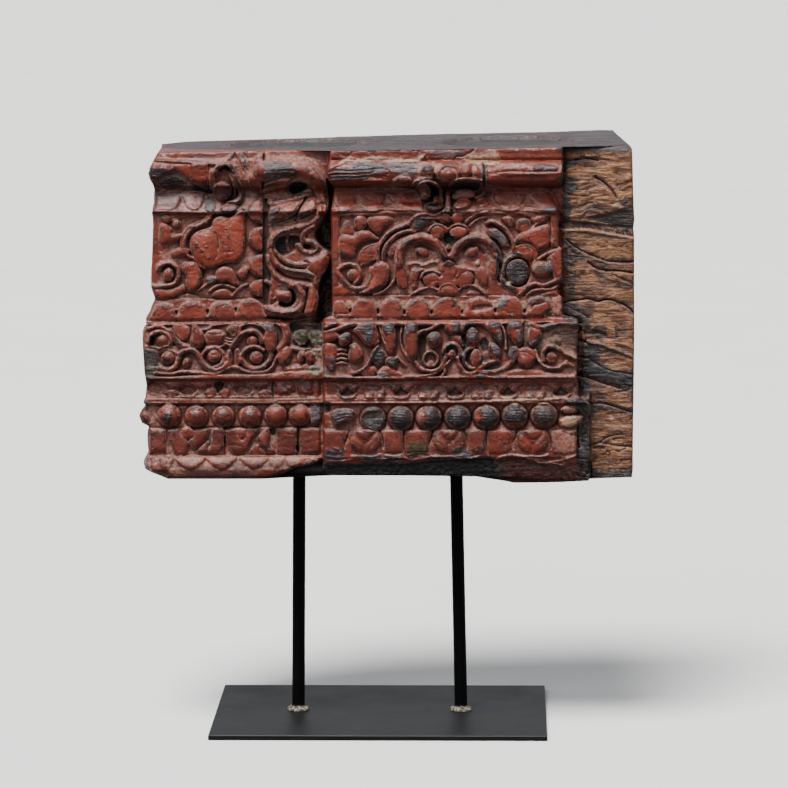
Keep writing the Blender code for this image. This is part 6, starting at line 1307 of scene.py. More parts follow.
    b.tint("gold", [(600, 152), (634, 150), (633, 200), (618, 198), (606, 180), (598, 172)], 0.95, 2.4, 2.0)
    b.tint("gold", [(574, 236), (600, 238), (634, 244), (634, 258), (604, 256), (584, 248)], 1.0, 2.4, 2.0)
    b.tint("gold", [(580, 262), (592, 266), (594, 280), (584, 284), (578, 276)], 1.0, 2.4, 1.6)
    b.tint("gold", [(596, 288), (634, 290), (634, 308), (612, 296), (598, 297)], 1.0, 2.4, 2.0)
    b.tint("gold", [(594, 304), (612, 302), (630, 314), (634, 330), (612, 326), (596, 322)], 1.0, 2.4, 2.0)
    b.tint("gold", [(600, 356), (618, 356), (632, 360), (630, 370), (612, 368), (602, 366)], 1.0, 2.2, 1.8)
    b.tint("gold", [(592, 414), (634, 418), (633, 470), (592, 468)], 0.8, 2.4, 2.4)
    b.tint("bright", [(619, 398), (622, 392), (630, 389.6), (634, 391), (634, 402), (622, 402)], 0.9, 1.8, 1.6)
    b.tint("cream", [(611, 204), (616, 202.4), (622, 204), (620, 208), (613, 208)], 0.62, 1.6, 1.4)
    b.tint("cream", [(618, 195), (624, 196), (624, 200), (619, 200)], 0.5, 1.6, 1.4)
    b.tint("cream", [(585, 268), (592, 267), (593, 274), (586, 275)], 0.45, 1.6, 1.4)
    b.tint("cream", [(595, 302), (599, 302), (599, 306), (595, 306)], 0.6, 1.2, 1.0)
    b.tint("cream", [(610, 417), (614, 417), (614, 421), (610, 421)], 0.6, 1.2, 1.0)
    b.tint("cream", [(620, 424), (627, 426), (628, 431), (621, 430)], 0.4, 1.4, 1.2)
    b.tint("cream", [(568, 228.6), (573, 229), (573, 231), (568, 231)], 0.9, 1.0, 0.6)
    # painted shade in the lee of each course, under the overhangs, broken up by noise
    V = b.V
    b.T["soot_and_shade"] = np.maximum(0.60 * sstep((V - 427) / 3.0) * sstep((462 - V) / 3.0), 0.22 * sstep((V - 184) / 2.0) * sstep((194 - V) / 5.0))
    b.T["soot_and_shade"] = np.maximum(b.T["soot_and_shade"], 0.30 * sstep((V - 383) / 2.0) * sstep((403 - V) / 3.0))
    b.tint("dark", [(506.6, 272), (508.6, 265), (513, 261), (519.4, 260), (525, 263), (527.6, 270), (526.8, 278), (522, 283.4),
                    (515.4, 284.6), (509.6, 280.6)], 1.3, 1.0, 0.3)
    b.T["soot_and_shade"] *= (1 - sstep((b.U - 560) / 4.0)) * np.clip(0.8 + 0.9 * noise(b.U / 16.0, V / 8.0, 77), 0, 1)
    # painted shade along the bottom, under the broken edge
    b.T["hole_and_shade"] = np.maximum(b.T["hole_and_shade"], 0.97 * sstep((V - np.interp(b.U, (323, 340, 375, 400, 430, 463, 485, 500),
                                                                     (466, 467, 466, 467, 463, 461, 460, 463))) / 3.0 + 0.6 * b.rag)
                             * sstep((500 - b.U) / 8.0))
# ------------------------------------------------------------------ view of the drawing
EYE = np.array([0.0978, -3.1537, 0.6781])
FOCAL, PITCH, YAW, ROLL = 4075.0, 0.1332, 0.0275, -0.0035
_fw = np.array([-math.sin(YAW) * math.cos(PITCH), math.cos(YAW) * math.cos(PITCH), -math.sin(PITCH)])
_r0 = np.array([math.cos(YAW), math.sin(YAW), 0.0])
_u0 = np.cross(_r0, _fw)
_rt = math.cos(ROLL) * _r0 + math.sin(ROLL) * _u0
_up = -math.sin(ROLL) * _r0 + math.cos(ROLL) * _u0


def ray(u, v):
    return (_fw + _rt * ((u - 394.0) / FOCAL)[..., None] - _up * ((v - 394.0) / FOCAL)[..., None])


def at_depth(u, v, y):
    """Point seen at (u, v) on the plane of depth y."""
    d = ray(u, v)
    t = (y - EYE[1]) / d[..., 1]
    return EYE + d * t[..., None]


def top_z(x):
    return 0.4515 + 0.0165 * x


def depth_on_top(u, v):
    d = ray(u, v)
    t = (0.4515 + 0.0165 * EYE[0] - EYE[2]) / (d[..., 2] - 0.0165 * d[..., 0])
    return EYE[1] + d[..., 1] * t


def table(*pairs):
    a = np.array(pairs, float)
    return lambda x: np.interp(x, a[:, 0], a[:, 1])


# outline of the carved front, in picture units
U_LEFT = table((147.3, 161.5), (152, 158), (158.8, 154.2), (168, 149.6), (173.3, 148.4), (178.7, 149.6), (185.6, 153.4),
               (190.9, 154.6), (203, 155), (209, 153), (213, 151.6), (216, 152.6), (225, 153), (250, 152.2), (275, 151.4),
               (287, 151), (298, 154.8), (304, 153.6), (310.4, 151.8), (318.9, 146.4), (328, 145.5), (331.5, 142.7),
               (338.5, 142.4), (349.7, 143), (372, 144.5), (385, 146.6), (396, 145.6), (402, 143.4), (406, 146), (409, 142),
               (416, 139.2), (423, 142), (426, 148.6), (452.9, 148.3), (459.2, 144.8), (464, 144), (469, 145.5),
               (472.5, 151.8), (476, 161), (478.9, 168))
U_STEP = table((147, 331), (158, 329.5), (170, 327.4), (180, 328.6), (188, 334), (206, 332), (212, 331), (250, 331.4),
               (296, 332), (315.4, 332.4), (317.4, 325.5), (320, 323.2), (380, 323), (384, 324), (398, 323.6), (404, 324.6),
               (428, 323.6), (480, 323))
U_END = table((146, 562.7), (158, 563), (180, 563), (186, 560), (189, 551.5), (196, 551.5), (203, 554), (207, 556.8),
              (211, 557.4), (215, 558.6), (246, 558.6), (249, 562.7), (281, 562.7), (284, 559), (289, 557.6), (294, 558.5),
              (297, 562.5), (315, 562.7), (317.2, 575), (320, 578), (330, 578), (352, 577.4), (378, 576.6), (384, 578.4),
              (396, 578), (400, 583), (404, 588.4), (412, 590.2), (417, 585), (424, 578.6), (430, 577), (460, 576.5),
              (466, 579), (474, 586), (483, 588.6))
U_RIGHT = table((145, 629.6), (147, 631), (150, 632.2), (160, 632.6), (190, 633.2), (220, 634.4), (228, 633.4), (236, 634.2),
                (290, 634.2), (330, 634.4), (400, 633.6), (440, 633), (470, 632.8), (477, 632.0))
V_TOP = table((160, 147.4), (180, 149), (235, 149), (296, 150), (340, 151), (377, 150.7), (446, 149.5), (520, 147.5),
              (560, 147), (582, 146.3), (626, 145.3), (631, 146.4), (634, 148.4))
V_BOT = table((140, 478.9), (263, 478.9), (280, 476.8), (292.5, 475.4), (323, 475.3), (395, 475.6), (463, 475.4),
              (494, 478), (504, 480.5), (513, 482.7), (524, 482.8), (560, 482.2), (588, 480.8), (590.5, 477.4), (634, 477.2))
# projection of each course from its wall, in mm
P_LEFT = table((146, 1), (150, 2.4), (158, 3), (161, 4.5), (165, 5), (180, 4), (186, 1), (190, -5), (194, -6), (203, -2),
               (209, 3), (211.5, 4), (213, 3), (215, 1.6), (296, 1.6), (299, 1), (321, 1.5), (323, 6), (325, 8.4), (366, 8.4),
               (368, 9), (379, 9), (381, 5), (395, 5), (397, 6.4), (403, 6.4), (405, 2), (427, 2), (429, 3), (455, 3),
               (457, 7), (464, 9.5), (470, 11), (476, 9.4), (480, 5))
P_RIGHT = table((146, 3), (158, 3.5), (160, 1.5), (162, 6), (166, 9), (173, 11), (181, 9), (185, 4), (188, -6), (192, -8.5),
                (203, -3.5), (209, 2.5), (211.5, 4), (213, 3), (215, 1.6), (296, 1.6), (298, 1), (319, 1.5), (321, 7),
                (323, 9.4), (378, 9.4), (380, 7), (382, 5), (395, 5), (397, 6.5), (403, 6.5), (405, 2), (428, 2), (431, 3.5),
                (457, 3.5), (460, 2), (470, 0.5), (483, -3))
WALL_L, WALL_R = -0.061, -0.074


def raw_y(v):
    return np.interp(v, (148, 478), (-0.068, -0.058))


def shade_of(F, s, reach=(1.0, 2.0, 3.5, 6.0, 10.0)):
    """How far the surface round each point closes it in, 0 open to 1 hidden."""
    out = np.zeros(F.shape)
    rows, cols = np.arange(F.shape[0]), np.arange(F.shape[1])
    for k in range(12):
        a = 2 * math.pi * k / 12
        high = np.zeros(F.shape)
        for r in reach:
            dv, du = int(round(r * s * math.sin(a))), int(round(r * s * math.cos(a)))
            other = F[np.clip(rows + dv, 0, len(rows) - 1)][:, np.clip(cols + du, 0, len(cols) - 1)]
            high = np.maximum(high, (other - F) / (math.hypot(dv, du) / s * 0.764))
        out += high / np.sqrt(1 + high * high)
    return out / 12


def relief_masks(b, s):
    """Where the relief is shut in, lies low, stands proud, or faces up."""
    soft, wide = blur(b.F, max(2, int(2.0 * s))), blur(b.F, max(3, int(6.0 * s)))
    gv, gu = np.gradient(blur(b.F, 1) * 1.31, 1.0 / s)
    b.T["cavity"] = np.clip((shade_of(blur(b.F, 1), s) - 0.20) * 1.7, 0, 1)
    b.T["deep"] = np.clip((wide - b.F) * 0.34, 0, 1)
    b.T["edge"] = np.clip((b.F - soft) * 1.3, 0, 1)
    b.T["upper"] = np.clip(gv * 0.9 - 0.25 + 0.2 * np.clip(gu, 0, 1), 0, 1)


def build_block():
    s = 2.0
    L, R = Board(130, 340, 140, 492, s), Board(316, 642, 140, 492, s)
    draw_left(L)
    tint_left(L)
    draw_right(R)
    draw_raw(R)
    tint_right(R)
    for b in (L, R):
        # tool marks, open grain, pits, fine cracks and chipped edges
        U, V = b.U, b.V
        bare = np.clip(b.T["dark"] + b.T["grey"] + b.T["cream"], 0, 1)
        b.F += 0.35 * fbm(U / 22, V / 15, 67, 2) + 0.16 * fbm(U / 3.6, V / 2.8, 63, 2)
        b.F += (0.13 + 0.30 * bare) * fbm(U / 13, V / 1.15, 61, 3)
        b.F -= (0.9 + 1.2 * bare) * np.clip(noise(U / 2.1, V / 1.5, 73) - 0.58, 0, 1)
        b.F -= 0.55 * np.clip(1 - np.abs(fbm(U / 26, V / 6.5, 79, 2)) / 0.035, 0, 1) * np.clip(2 * noise(U / 17, V / 7, 83), 0, 1)
        edge = np.clip(b.F - blur(b.F, max(2, int(1.6 * s))), 0, 1.4)
        b.F -= edge * np.clip(1.1 * fbm(U / 3.2, V / 3.2, 71, 3) + 0.15, 0, 1)
        relief_masks(b, s)

    step = 0.72
    rows = int(331 / step)
    r = np.linspace(0, 1, rows)[:, None]

    def patch(u_a, u_b, n, include_last=False):
        c = np.linspace(0, 1, n, endpoint=include_last)[None, :]
        v = 478.9 + (147.4 - 478.9) * r + 0 * c
        for _ in range(3):
            ua, ub = u_a(v), u_b(v)
            u = ua + (ub - ua) * c
            v = V_BOT(u) * (1 - r) + V_TOP(u) * r
        return u, v, c + 0 * v

    def settle(u, v, y):
        """No point of the front stands above the top face."""
        return np.maximum(y, depth_on_top(u, v))

    cols = []          # each: points (rows, n, 3), u, v, board, kind

    # left section
    nl = int(182 / step)
    u, v, c = patch(U_LEFT, U_STEP, nl)
    h = L.sample(L.F, u, v)
    near = np.clip((u - U_LEFT(v)) / 3.0, 0, 1)
    h = h * near - 3.0 * (1 - np.sqrt(np.clip(1 - (1 - near) ** 2, 0, 1)))
    y = settle(u, v, WALL_L - (P_LEFT(v) + h) * MM)
    left = (at_depth(u, v, y), u, v, L, "front", y)
    cols.append(left)
    # wall of the step
    u2, v2, c2 = patch(U_STEP, U_END, int(240 / step))
    h2 = R.sample(R.F, u2, v2)
    ra = np.clip((u2 - U_STEP(v2)) / 3.2, 0, 1)
    rb = np.clip((U_END(v2) - u2) / 3.2, 0, 1)
    round_ = 2.6 * (1 - np.sqrt(np.clip(1 - (1 - ra) ** 2, 0, 1))) + 2.6 * (1 - np.sqrt(np.clip(1 - (1 - rb) ** 2, 0, 1)))
    y2 = settle(u2, v2, WALL_R - (P_RIGHT(v2) + h2 - round_) * MM)
    nw = 7
    k = np.linspace(0, 1, nw + 2)[None, 1:-1]
    uw, vw = u2[:, :1] + 0 * k, v2[:, :1] + 0 * k
    yw = y[:, -1:] * (1 - k) + y2[:, :1] * k + 0.0006 * fbm(vw / 6.0, k * 3, 81, 2)
    cols.append((at_depth(uw - 0.25 * (1 - k), vw, yw), uw, vw, R, "wall", yw))
    cols.append((at_depth(u2, v2, y2), u2, v2, R, "front", y2))
    # raw end
    u3, v3, c3 = patch(U_END, U_RIGHT, int(76 / step), True)
    low = sstep((v3 - 388) / 12.0) * sstep((591.5 - u3) / 2.0)
    h3 = R.sample(R.F, u3, v3)
    base = raw_y(v3) * (1 - low) + (-0.0725) * low
    hollow = 1.6 * np.exp(-((u3 - U_END(v3)) / 4.0) ** 2) * (1 - low)
    rc = np.clip((U_RIGHT(v3) - u3) / 3.0, 0, 1)
    h3 = h3 - hollow - 2.4 * (1 - np.sqrt(np.clip(1 - (1 - rc) ** 2, 0, 1)))
    rt = np.clip((v3 - V_TOP(u3)) / 5.0, 0, 1)
    h3 = h3 - 3.5 * (1 - np.sqrt(np.clip(1 - (1 - rt) ** 2, 0, 1)))
    y3 = settle(u3, v3, base - h3 * MM)
    ne = 6
    k = np.linspace(0, 1, ne + 2)[None, 1:-1]
    ue, ve = u3[:, :1] + 0 * k, v3[:, :1] + 0 * k
    ye = y2[:, -1:] * (1 - k) + y3[:, :1] * k
    cols.append((at_depth(ue + 0.2 * k, ve, ye), ue, ve, R, "wall", ye))
    cols.append((at_depth(u3, v3, y3), u3, v3, R, "front", y3))

    P = [c[0] for c in cols]
    lc, rc_ = P[0][:, 0], P[-1][:, -1]            # left corner column, right edge column
    # right side and back: hewn, split and weathered
    plan = [(0.1885, 0.024), (0.1854, 0.106), (0.172, 0.114), (0.142, 0.103), (0.110, 0.098), (0.050, 0.100),
            (-0.005, 0.095), (-0.031, 0.090), (-0.070, 0.072), (-0.123, 0.060), (-0.154, 0.056), (-0.1716, 0.032)]
    bs = 0.0036
    path = [rc_]
    lens = []
    for q in plan:
        prev = path[-1] if len(path) > 1 else rc_.mean(0)
        lens.append(math.hypot(q[0] - prev[0], q[1] - prev[1]))
        path.append(np.array(q))
    total = sum(lens)
    run = 0.0
    back = []
    for i, q in enumerate(plan):
        m = max(2, int(lens[i] / bs))
        a = rc_[:, :2] if i == 0 else np.repeat([plan[i - 1]], rows, 0)
        bq = np.repeat([q], rows, 0)
        for t in np.linspace(0, 1, m, endpoint=False):
            if i == 0 and t == 0:
                continue
            ss = (run + lens[i] * t) / total
            xy = a + (bq - a) * t
            z = rc_[:, 2] * (1 - ss) + lc[:, 2] * ss
            back.append(np.concatenate([xy, z[:, None]], 1))
        run += lens[i]
    back = np.stack(back, 1)
    # outward direction of the back path
    tang = np.gradient(back[:, :, :2], axis=1)
    nrm = np.stack([tang[..., 1], -tang[..., 0]], -1)
    nrm /= np.linalg.norm(nrm, axis=-1, keepdims=True) + 1e-9
    arc_s = np.cumsum(np.hypot(tang[0, :, 0], tang[0, :, 1]))[None, :] * 1000 + 0 * back[..., 2]
    zz = back[..., 2] * 1000
    rough = 0.45 * fbm(arc_s / 30, zz / 4.2, 91, 2) + 0.9 * fbm(arc_s / 60, zz / 11, 95, 2)
    cracks = np.zeros(arc_s.shape)
    rnd = np.random.RandomState(5)
    for _ in range(26):
        s0, z0, ln = rnd.uniform(0, arc_s.max()), rnd.uniform(212, 446), rnd.uniform(30, 150)
        zc = z0 + 2.5 * noise(arc_s / 22, 0 * arc_s + z0, 101) + 0.04 * (arc_s - s0)
        along = np.clip(1 - ((arc_s - s0) / ln) ** 2, 0, 1)
        cracks = np.maximum(cracks, along * np.clip(1 - np.abs(zz - zc) / 1.4, 0, 1) * rnd.uniform(0.5, 1.0))
    fade = np.clip((arc_s - 3) / 10.0, 0, 1) * np.clip((arc_s.max() - arc_s) / 8.0, 0, 1)
    disp = (rough - 2.4 * cracks) * fade * MM * 0.8
    back[..., 0] -= nrm[..., 0] * -disp
    back[..., 1] -= nrm[..., 1] * -disp

    # left return: the same courses run round the corner, carved more plainly
    side_len = 0.032 - lc[:, 1]
    ns = int(0.094 / ((0.0011)))
    t = np.linspace(0, 1, ns, endpoint=False)[1:]
    w = side_len[:, None] * t[None, :]                          # distance behind the corner
    S, Sv = draw_side(s)
    vv = (np.interp(lc[:, 2], lc[::1, 2], V_of(lc)))[:, None] + 0 * w
    hs = Sv.sample(S, w * 1000 / 0.764, vv)
    blend = np.clip((1 - t) * 6, 0, 1)[None, :]
    x = -0.1716 + (lc[:, 0][:, None] + 0.1716) * blend
    bulge = np.clip(w / 0.004, 0, 1)
    x = x - (hs * bulge * blend) * MM
    side = np.stack([x, lc[:, 1][:, None] + w, lc[:, 2][:, None] + 0 * w], -1)
    side = side[:, ::-1]

    pts = np.concatenate(P + [back, side], 1)
    ncol = pts.shape[1]
    # ------------------------------------------------------------ colour masks per vertex
    names = ("wood", "dark", "grey", "pink", "cream", "moss", "bright", "hole_and_shade", "cavity", "deep", "edge", "upper",
             "soot_and_shade", "gold")
    M = {n: [] for n in names}
    for p, u, v, b, kind, _ in cols:
        for n in names:
            m = b.sample(b.T[n], u, v)
            if kind == "wall":
                m = m * 0.6
            M[n].append(m)
    nb, nsd = back.shape[1], side.shape[1]
    one = np.ones((rows, nb))
    M["wood"].append(0.95 * one)
    M["dark"].append(np.clip(0.28 + 0.5 * fbm(arc_s / 170, zz / 9, 111, 4) + 0.9 * cracks, 0, 1) * one)
    M["grey"].append(np.clip(0.34 + 0.6 * fbm(arc_s / 120, zz / 5, 115, 4), 0, 0.8) * one)
    M["pink"].append(np.zeros((rows, nb)))
    M["cream"].append(np.clip(0.5 * fbm(arc_s / 22, zz / 6, 119, 2) - 0.1, 0, 1))
    M["moss"].append(np.clip(1.2 * fbm(arc_s / 45, zz / 30, 123, 3) - 0.62, 0, 1))
    M["bright"].append(np.zeros((rows, nb)))
    M["hole_and_shade"].append(np.clip(cracks * 1.4 - 0.3, 0, 1))
    M["cavity"].append(np.clip(-0.6 * rough, 0, 1))
    M["deep"].append(cracks)
    M["edge"].append(np.clip(0.5 * rough, 0, 1))
    M["upper"].append(np.zeros((rows, nb)))
    M["soot_and_shade"].append(np.clip(0.5 * fbm(arc_s / 200, zz / 30, 127, 3), 0, 1) * one)
    M["gold"].append(np.clip(0.35 + 0.7 * fbm(arc_s / 26, zz / 7, 129, 3), 0, 1))
    sw, sv = (w * 1000 / 0.764)[:, ::-1], vv[:, ::-1]
    for n in names:
        M[n].append(Sv.sample(Sv.T[n], sw, sv) if n in Sv.T else np.zeros((rows, nsd)))
    masks = np.stack([np.concatenate(M[n], 1) for n in names], -1)
    return pts, masks, names


def V_of(col):
    """Picture height of the points of a column."""
    d = col - EYE
    return 394 - FOCAL * (d @ _up) / (d @ _fw)


def draw_side(s):
    """Carving of the left return, drawn from the front corner backwards."""
    b = Board(-2, 126, 140, 492, s)
    box = lambda u0, u1, v0, v1: [(u0, v0), (u1, v0), (u1, v1), (u0, v1)]
    b.F[...] = -0.6
    b.boss(box(4, 124, 215, 296), -2.6, 1.5, 0, raw=True)
    b.boss(box(2, 124, 325, 375), -3.2, 1.5, 0, raw=True)
    b.cut([(-2, 160), (60, 161), (126, 160)], 2.4, 1.2)
    for v in (300, 321, 380, 397.6, 401.6, 427.4, 455.6, 213.5):
        b.cut([(-2, v), (40, v + 0.3), (80, v - 0.3), (126, v)], 2.0, 1.4)
    for k in range(5):
        c = 12 + 26.5 * k
        b.boss([(c - 12.6, 192), (c + 12.6, 192), (c + 12, 202), (c + 7, 208.4), (c, 211), (c - 7, 208.4), (c - 12, 202)], 0.8, 1.4, 0.4)
        b.boss([(c - 12.6, 320), (c - 12.2, 310), (c - 8, 303.6), (c, 301.4), (c + 8, 303.6), (c + 12.2, 310), (c + 12.6, 320)],
               0.6, 1.4, 0.4)
        b.dome(c, 416, 12.2, 11.8, 5.4, -5.0)
        b.cut(arc(c, 416, 12.8, 12.4, 0, 360, 24), 2.0, 0.9, n=2)
        b.boss([(c - 8, 390), (c - 3, 386), (c + 3, 386), (c + 8, 390), (c + 3.5, 394), (c - 3.5, 394)], -3.4, 1.3, 0)
        b.boss([(c - 11, 430), (c + 11, 430), (c + 11, 441), (c + 6, 450), (c, 454), (c - 6, 450), (c - 11, 441)], 0.6, 1.4, 0.4)
        b.cut([(c - 5, 430), (c - 4, 437), (c, 440.4), (c + 4, 437), (c + 5, 430)], 1.6, 1.1)
        b.cut([(c - 13.2, 429), (c - 13.2, 455)], 2.2, 2.0)
        b.boss([(c - 12.6, 458), (c + 12.6, 458), (c + 8, 465), (c, 469.6), (c - 8, 465)], 0.6, 1.3, 0.3)
    # panel: one scrolling leaf
    b.rib([(12, 290), (10, 270), (16, 248), (32, 232), (54, 226), (76, 232), (90, 248), (92, 268), (82, 282), (66, 286),
           (54, 276), (54, 262), (64, 256)], 5.2, 0.8, 1.2, taper=(1.0, 0.7))
    b.dome(65, 266, 5, 5, 2.2, -1.0)
    b.cut([(15, 290), (14, 270), (20, 250), (34, 236), (54, 230), (74, 236), (86, 250)], 1.4, 0.8)
    b.boss([(20, 262), (30, 246), (46, 240), (44, 254), (34, 268), (24, 278)], 0.4, 1.6, 0.9)
    b.cut([(24, 272), (34, 256), (44, 244)], 1.6, 0.9)
    b.boss([(24, 284), (36, 272), (48, 280), (44, 290), (30, 292)], 0.2, 1.5, 0.7)
    b.boss([(100, 224), (114, 222), (118, 240), (112, 262), (104, 280), (98, 262)], 0.3, 1.6, 0.8)
    b.boss([(14, 222), (26, 220), (30, 228), (20, 238), (12, 234)], 0.2, 1.4, 0.6)
    # scroll band: volutes and leaves
    for c in (18, 60, 102):
        b.rib(arc(c, 352, 10.6, 10.6, 200, -120, 16), 4.4, 0.6, 1.1)
        b.dome(c, 352, 5.6, 5.6, 2.0, -1.6)
        b.rib([(c + 8, 362), (c + 14, 371), (c + 24, 372), (c + 31, 364)], 4.0, 0.4, 1.0)
        b.boss([(c + 16, 330), (c + 22, 326), (c + 26, 334), (c + 25, 346), (c + 20, 352), (c + 15, 344), (c + 14, 336)], 0.6, 1.5, 0.9)
        b.boss([(c - 10, 334), (c - 2, 328), (c + 6, 330), (c + 8, 336), (c, 340)], 0.2, 1.5, 0.6)
    b.F += 0.10 * fbm(b.U / 3.0, b.V / 2.0, 161, 3) + 0.5 * fbm(b.U / 60, b.V / 9, 165, 2)
    worn = sstep((b.U - 96 - 14 * fbm(b.V / 22, b.V / 17, 167, 3)) / 16.0)
    b.F[...] = b.F * (1 - worn) + (-3.0 + 0.7 * fbm(b.U / 26, b.V / 2.2, 169, 3)) * worn
    relief_masks(b, s)
    b.T["wood"] = worn * 0.9
    b.T["grey"] = np.clip(0.9 * fbm(b.U / 14, b.V / 10, 171, 3) - 0.28, 0, 1) + 0.4 * worn
    b.T["dark"] = np.clip(1.3 * fbm(b.U / 20, b.V / 13, 175, 3) - 0.7, 0, 1) + 0.3 * worn
    return b.F, b


def cap_points(ring, z_func, grid, circles, outward):
    """Fills the outline of a ring with a net of points and returns new points and triangles."""
    n = len(ring)
    xs = np.arange(ring[:, 0].min() + grid, ring[:, 0].max(), grid)
    ys = np.arange(ring[:, 1].min() + grid, ring[:, 1].max(), grid)
    X, Y = np.meshgrid(xs, ys)
    X = X + 0.5 * grid * (np.arange(len(ys)) % 2)[:, None]
    keep = Board.inside(X, Y, ring[:, :2])
    d, _ = Board.seg(X[keep], Y[keep], ring[::3, :2], True)
    q = np.stack([X[keep], Y[keep]], 1)[d > grid * 0.75]
    for cx, cy, rr in circles:
        dist = np.hypot(q[:, 0] - cx, q[:, 1] - cy)
        for rad in rr:
            q = q[np.abs(dist - rad) > min(grid, rad) * 0.45]
            dist = np.hypot(q[:, 0] - cx, q[:, 1] - cy)
    extra = []
    for cx, cy, rr in circles:
        for rad in rr:
            m = max(12, int(2 * np.pi * rad / (grid * 1.1)))
            a = np.linspace(0, 2 * np.pi, m, endpoint=False)
            c = np.stack([cx + rad * np.cos(a), cy + rad * np.sin(a)], 1)
            ok = Board.inside(c[:, 0], c[:, 1], ring[:, :2])
            dd, _ = Board.seg(c[:, 0], c[:, 1], ring[::3, :2], True)
            extra.append(c[ok & (dd > grid * 0.4)])
    q = np.concatenate([q] + extra)
    coords = [Vector((float(a), float(b))) for a, b in ring[:, :2]] + [Vector((float(a), float(b))) for a, b in q]
    edges = [(i, (i + 1) % n) for i in range(n)]
    vo, eo, fo, ov, oe, of_ = delaunay_2d_cdt(coords, edges, [list(range(n))], 1, 1e-7, True)
    pos = np.array([(v.x, v.y) for v in vo])
    src = np.array([o[0] if len(o) else -1 for o in ov])
    tri = np.array([f for f in fo if len(f) == 3])
    z = z_func(pos[:, 0], pos[:, 1])
    new = np.concatenate([pos, z[:, None]], 1)
    area = ((pos[tri[:, 1]] - pos[tri[:, 0]])[:, 0] * (pos[tri[:, 2]] - pos[tri[:, 0]])[:, 1]
            - (pos[tri[:, 1]] - pos[tri[:, 0]])[:, 1] * (pos[tri[:, 2]] - pos[tri[:, 0]])[:, 0])
    flip = (area > 0) != outward
    tri[flip] = tri[flip][:, ::-1]
    return new, tri, src
# ------------------------------------------------------------------ mesh of the block
WELLS = ((-0.0665, 0.0165), (0.0997, 0.0020))
WELL_R, WELL_DEPTH, WELL_RIM = 0.0535, 0.0026, 0.0035
SOCKETS = ((-0.0633, 0.0), (0.0594, 0.0))


def top_relief(x, y):
    """Height of the top face: weathered boards with two shallow round wells."""
    X, Y = x * 1000, y * 1000
    z = top_z(x) - 0.0004
    z = z + MM * (0.30 * fbm(X / 34, Y / 2.6, 201, 3) + 0.25 * fbm(X / 60, Y / 18, 205, 2))
    deep = np.zeros(X.shape)
    rnd = np.random.RandomState(12)
    for _ in range(15):
        x0, y0, ln = rnd.uniform(-150, 170), rnd.uniform(-68, 98), rnd.uniform(25, 110)
        yc = y0 + 1.6 * noise(X / 16, 0 * X + y0, 207) + 0.03 * (X - x0)
        deep = np.maximum(deep, np.clip(1 - ((X - x0) / ln) ** 2, 0, 1) * np.clip(1 - np.abs(Y - yc) / 1.7, 0, 1))
    z = z - 0.0016 * deep
    ring = np.zeros(X.shape)
    for cx, cy in WELLS:
        rr = np.hypot(x - cx, y - cy)
        z = np.where(rr < WELL_R, z - WELL_DEPTH * sstep((WELL_R - rr) / 0.0012), z)
        z = np.where(rr < WELL_R - WELL_RIM, z - 0.0005 * sstep((WELL_R - WELL_RIM - rr) / 0.002), z)
        ring = np.maximum(ring, np.clip(1 - np.abs(rr - (WELL_R + 0.0008)) / 0.0030, 0, 1))
    return z, deep, ring


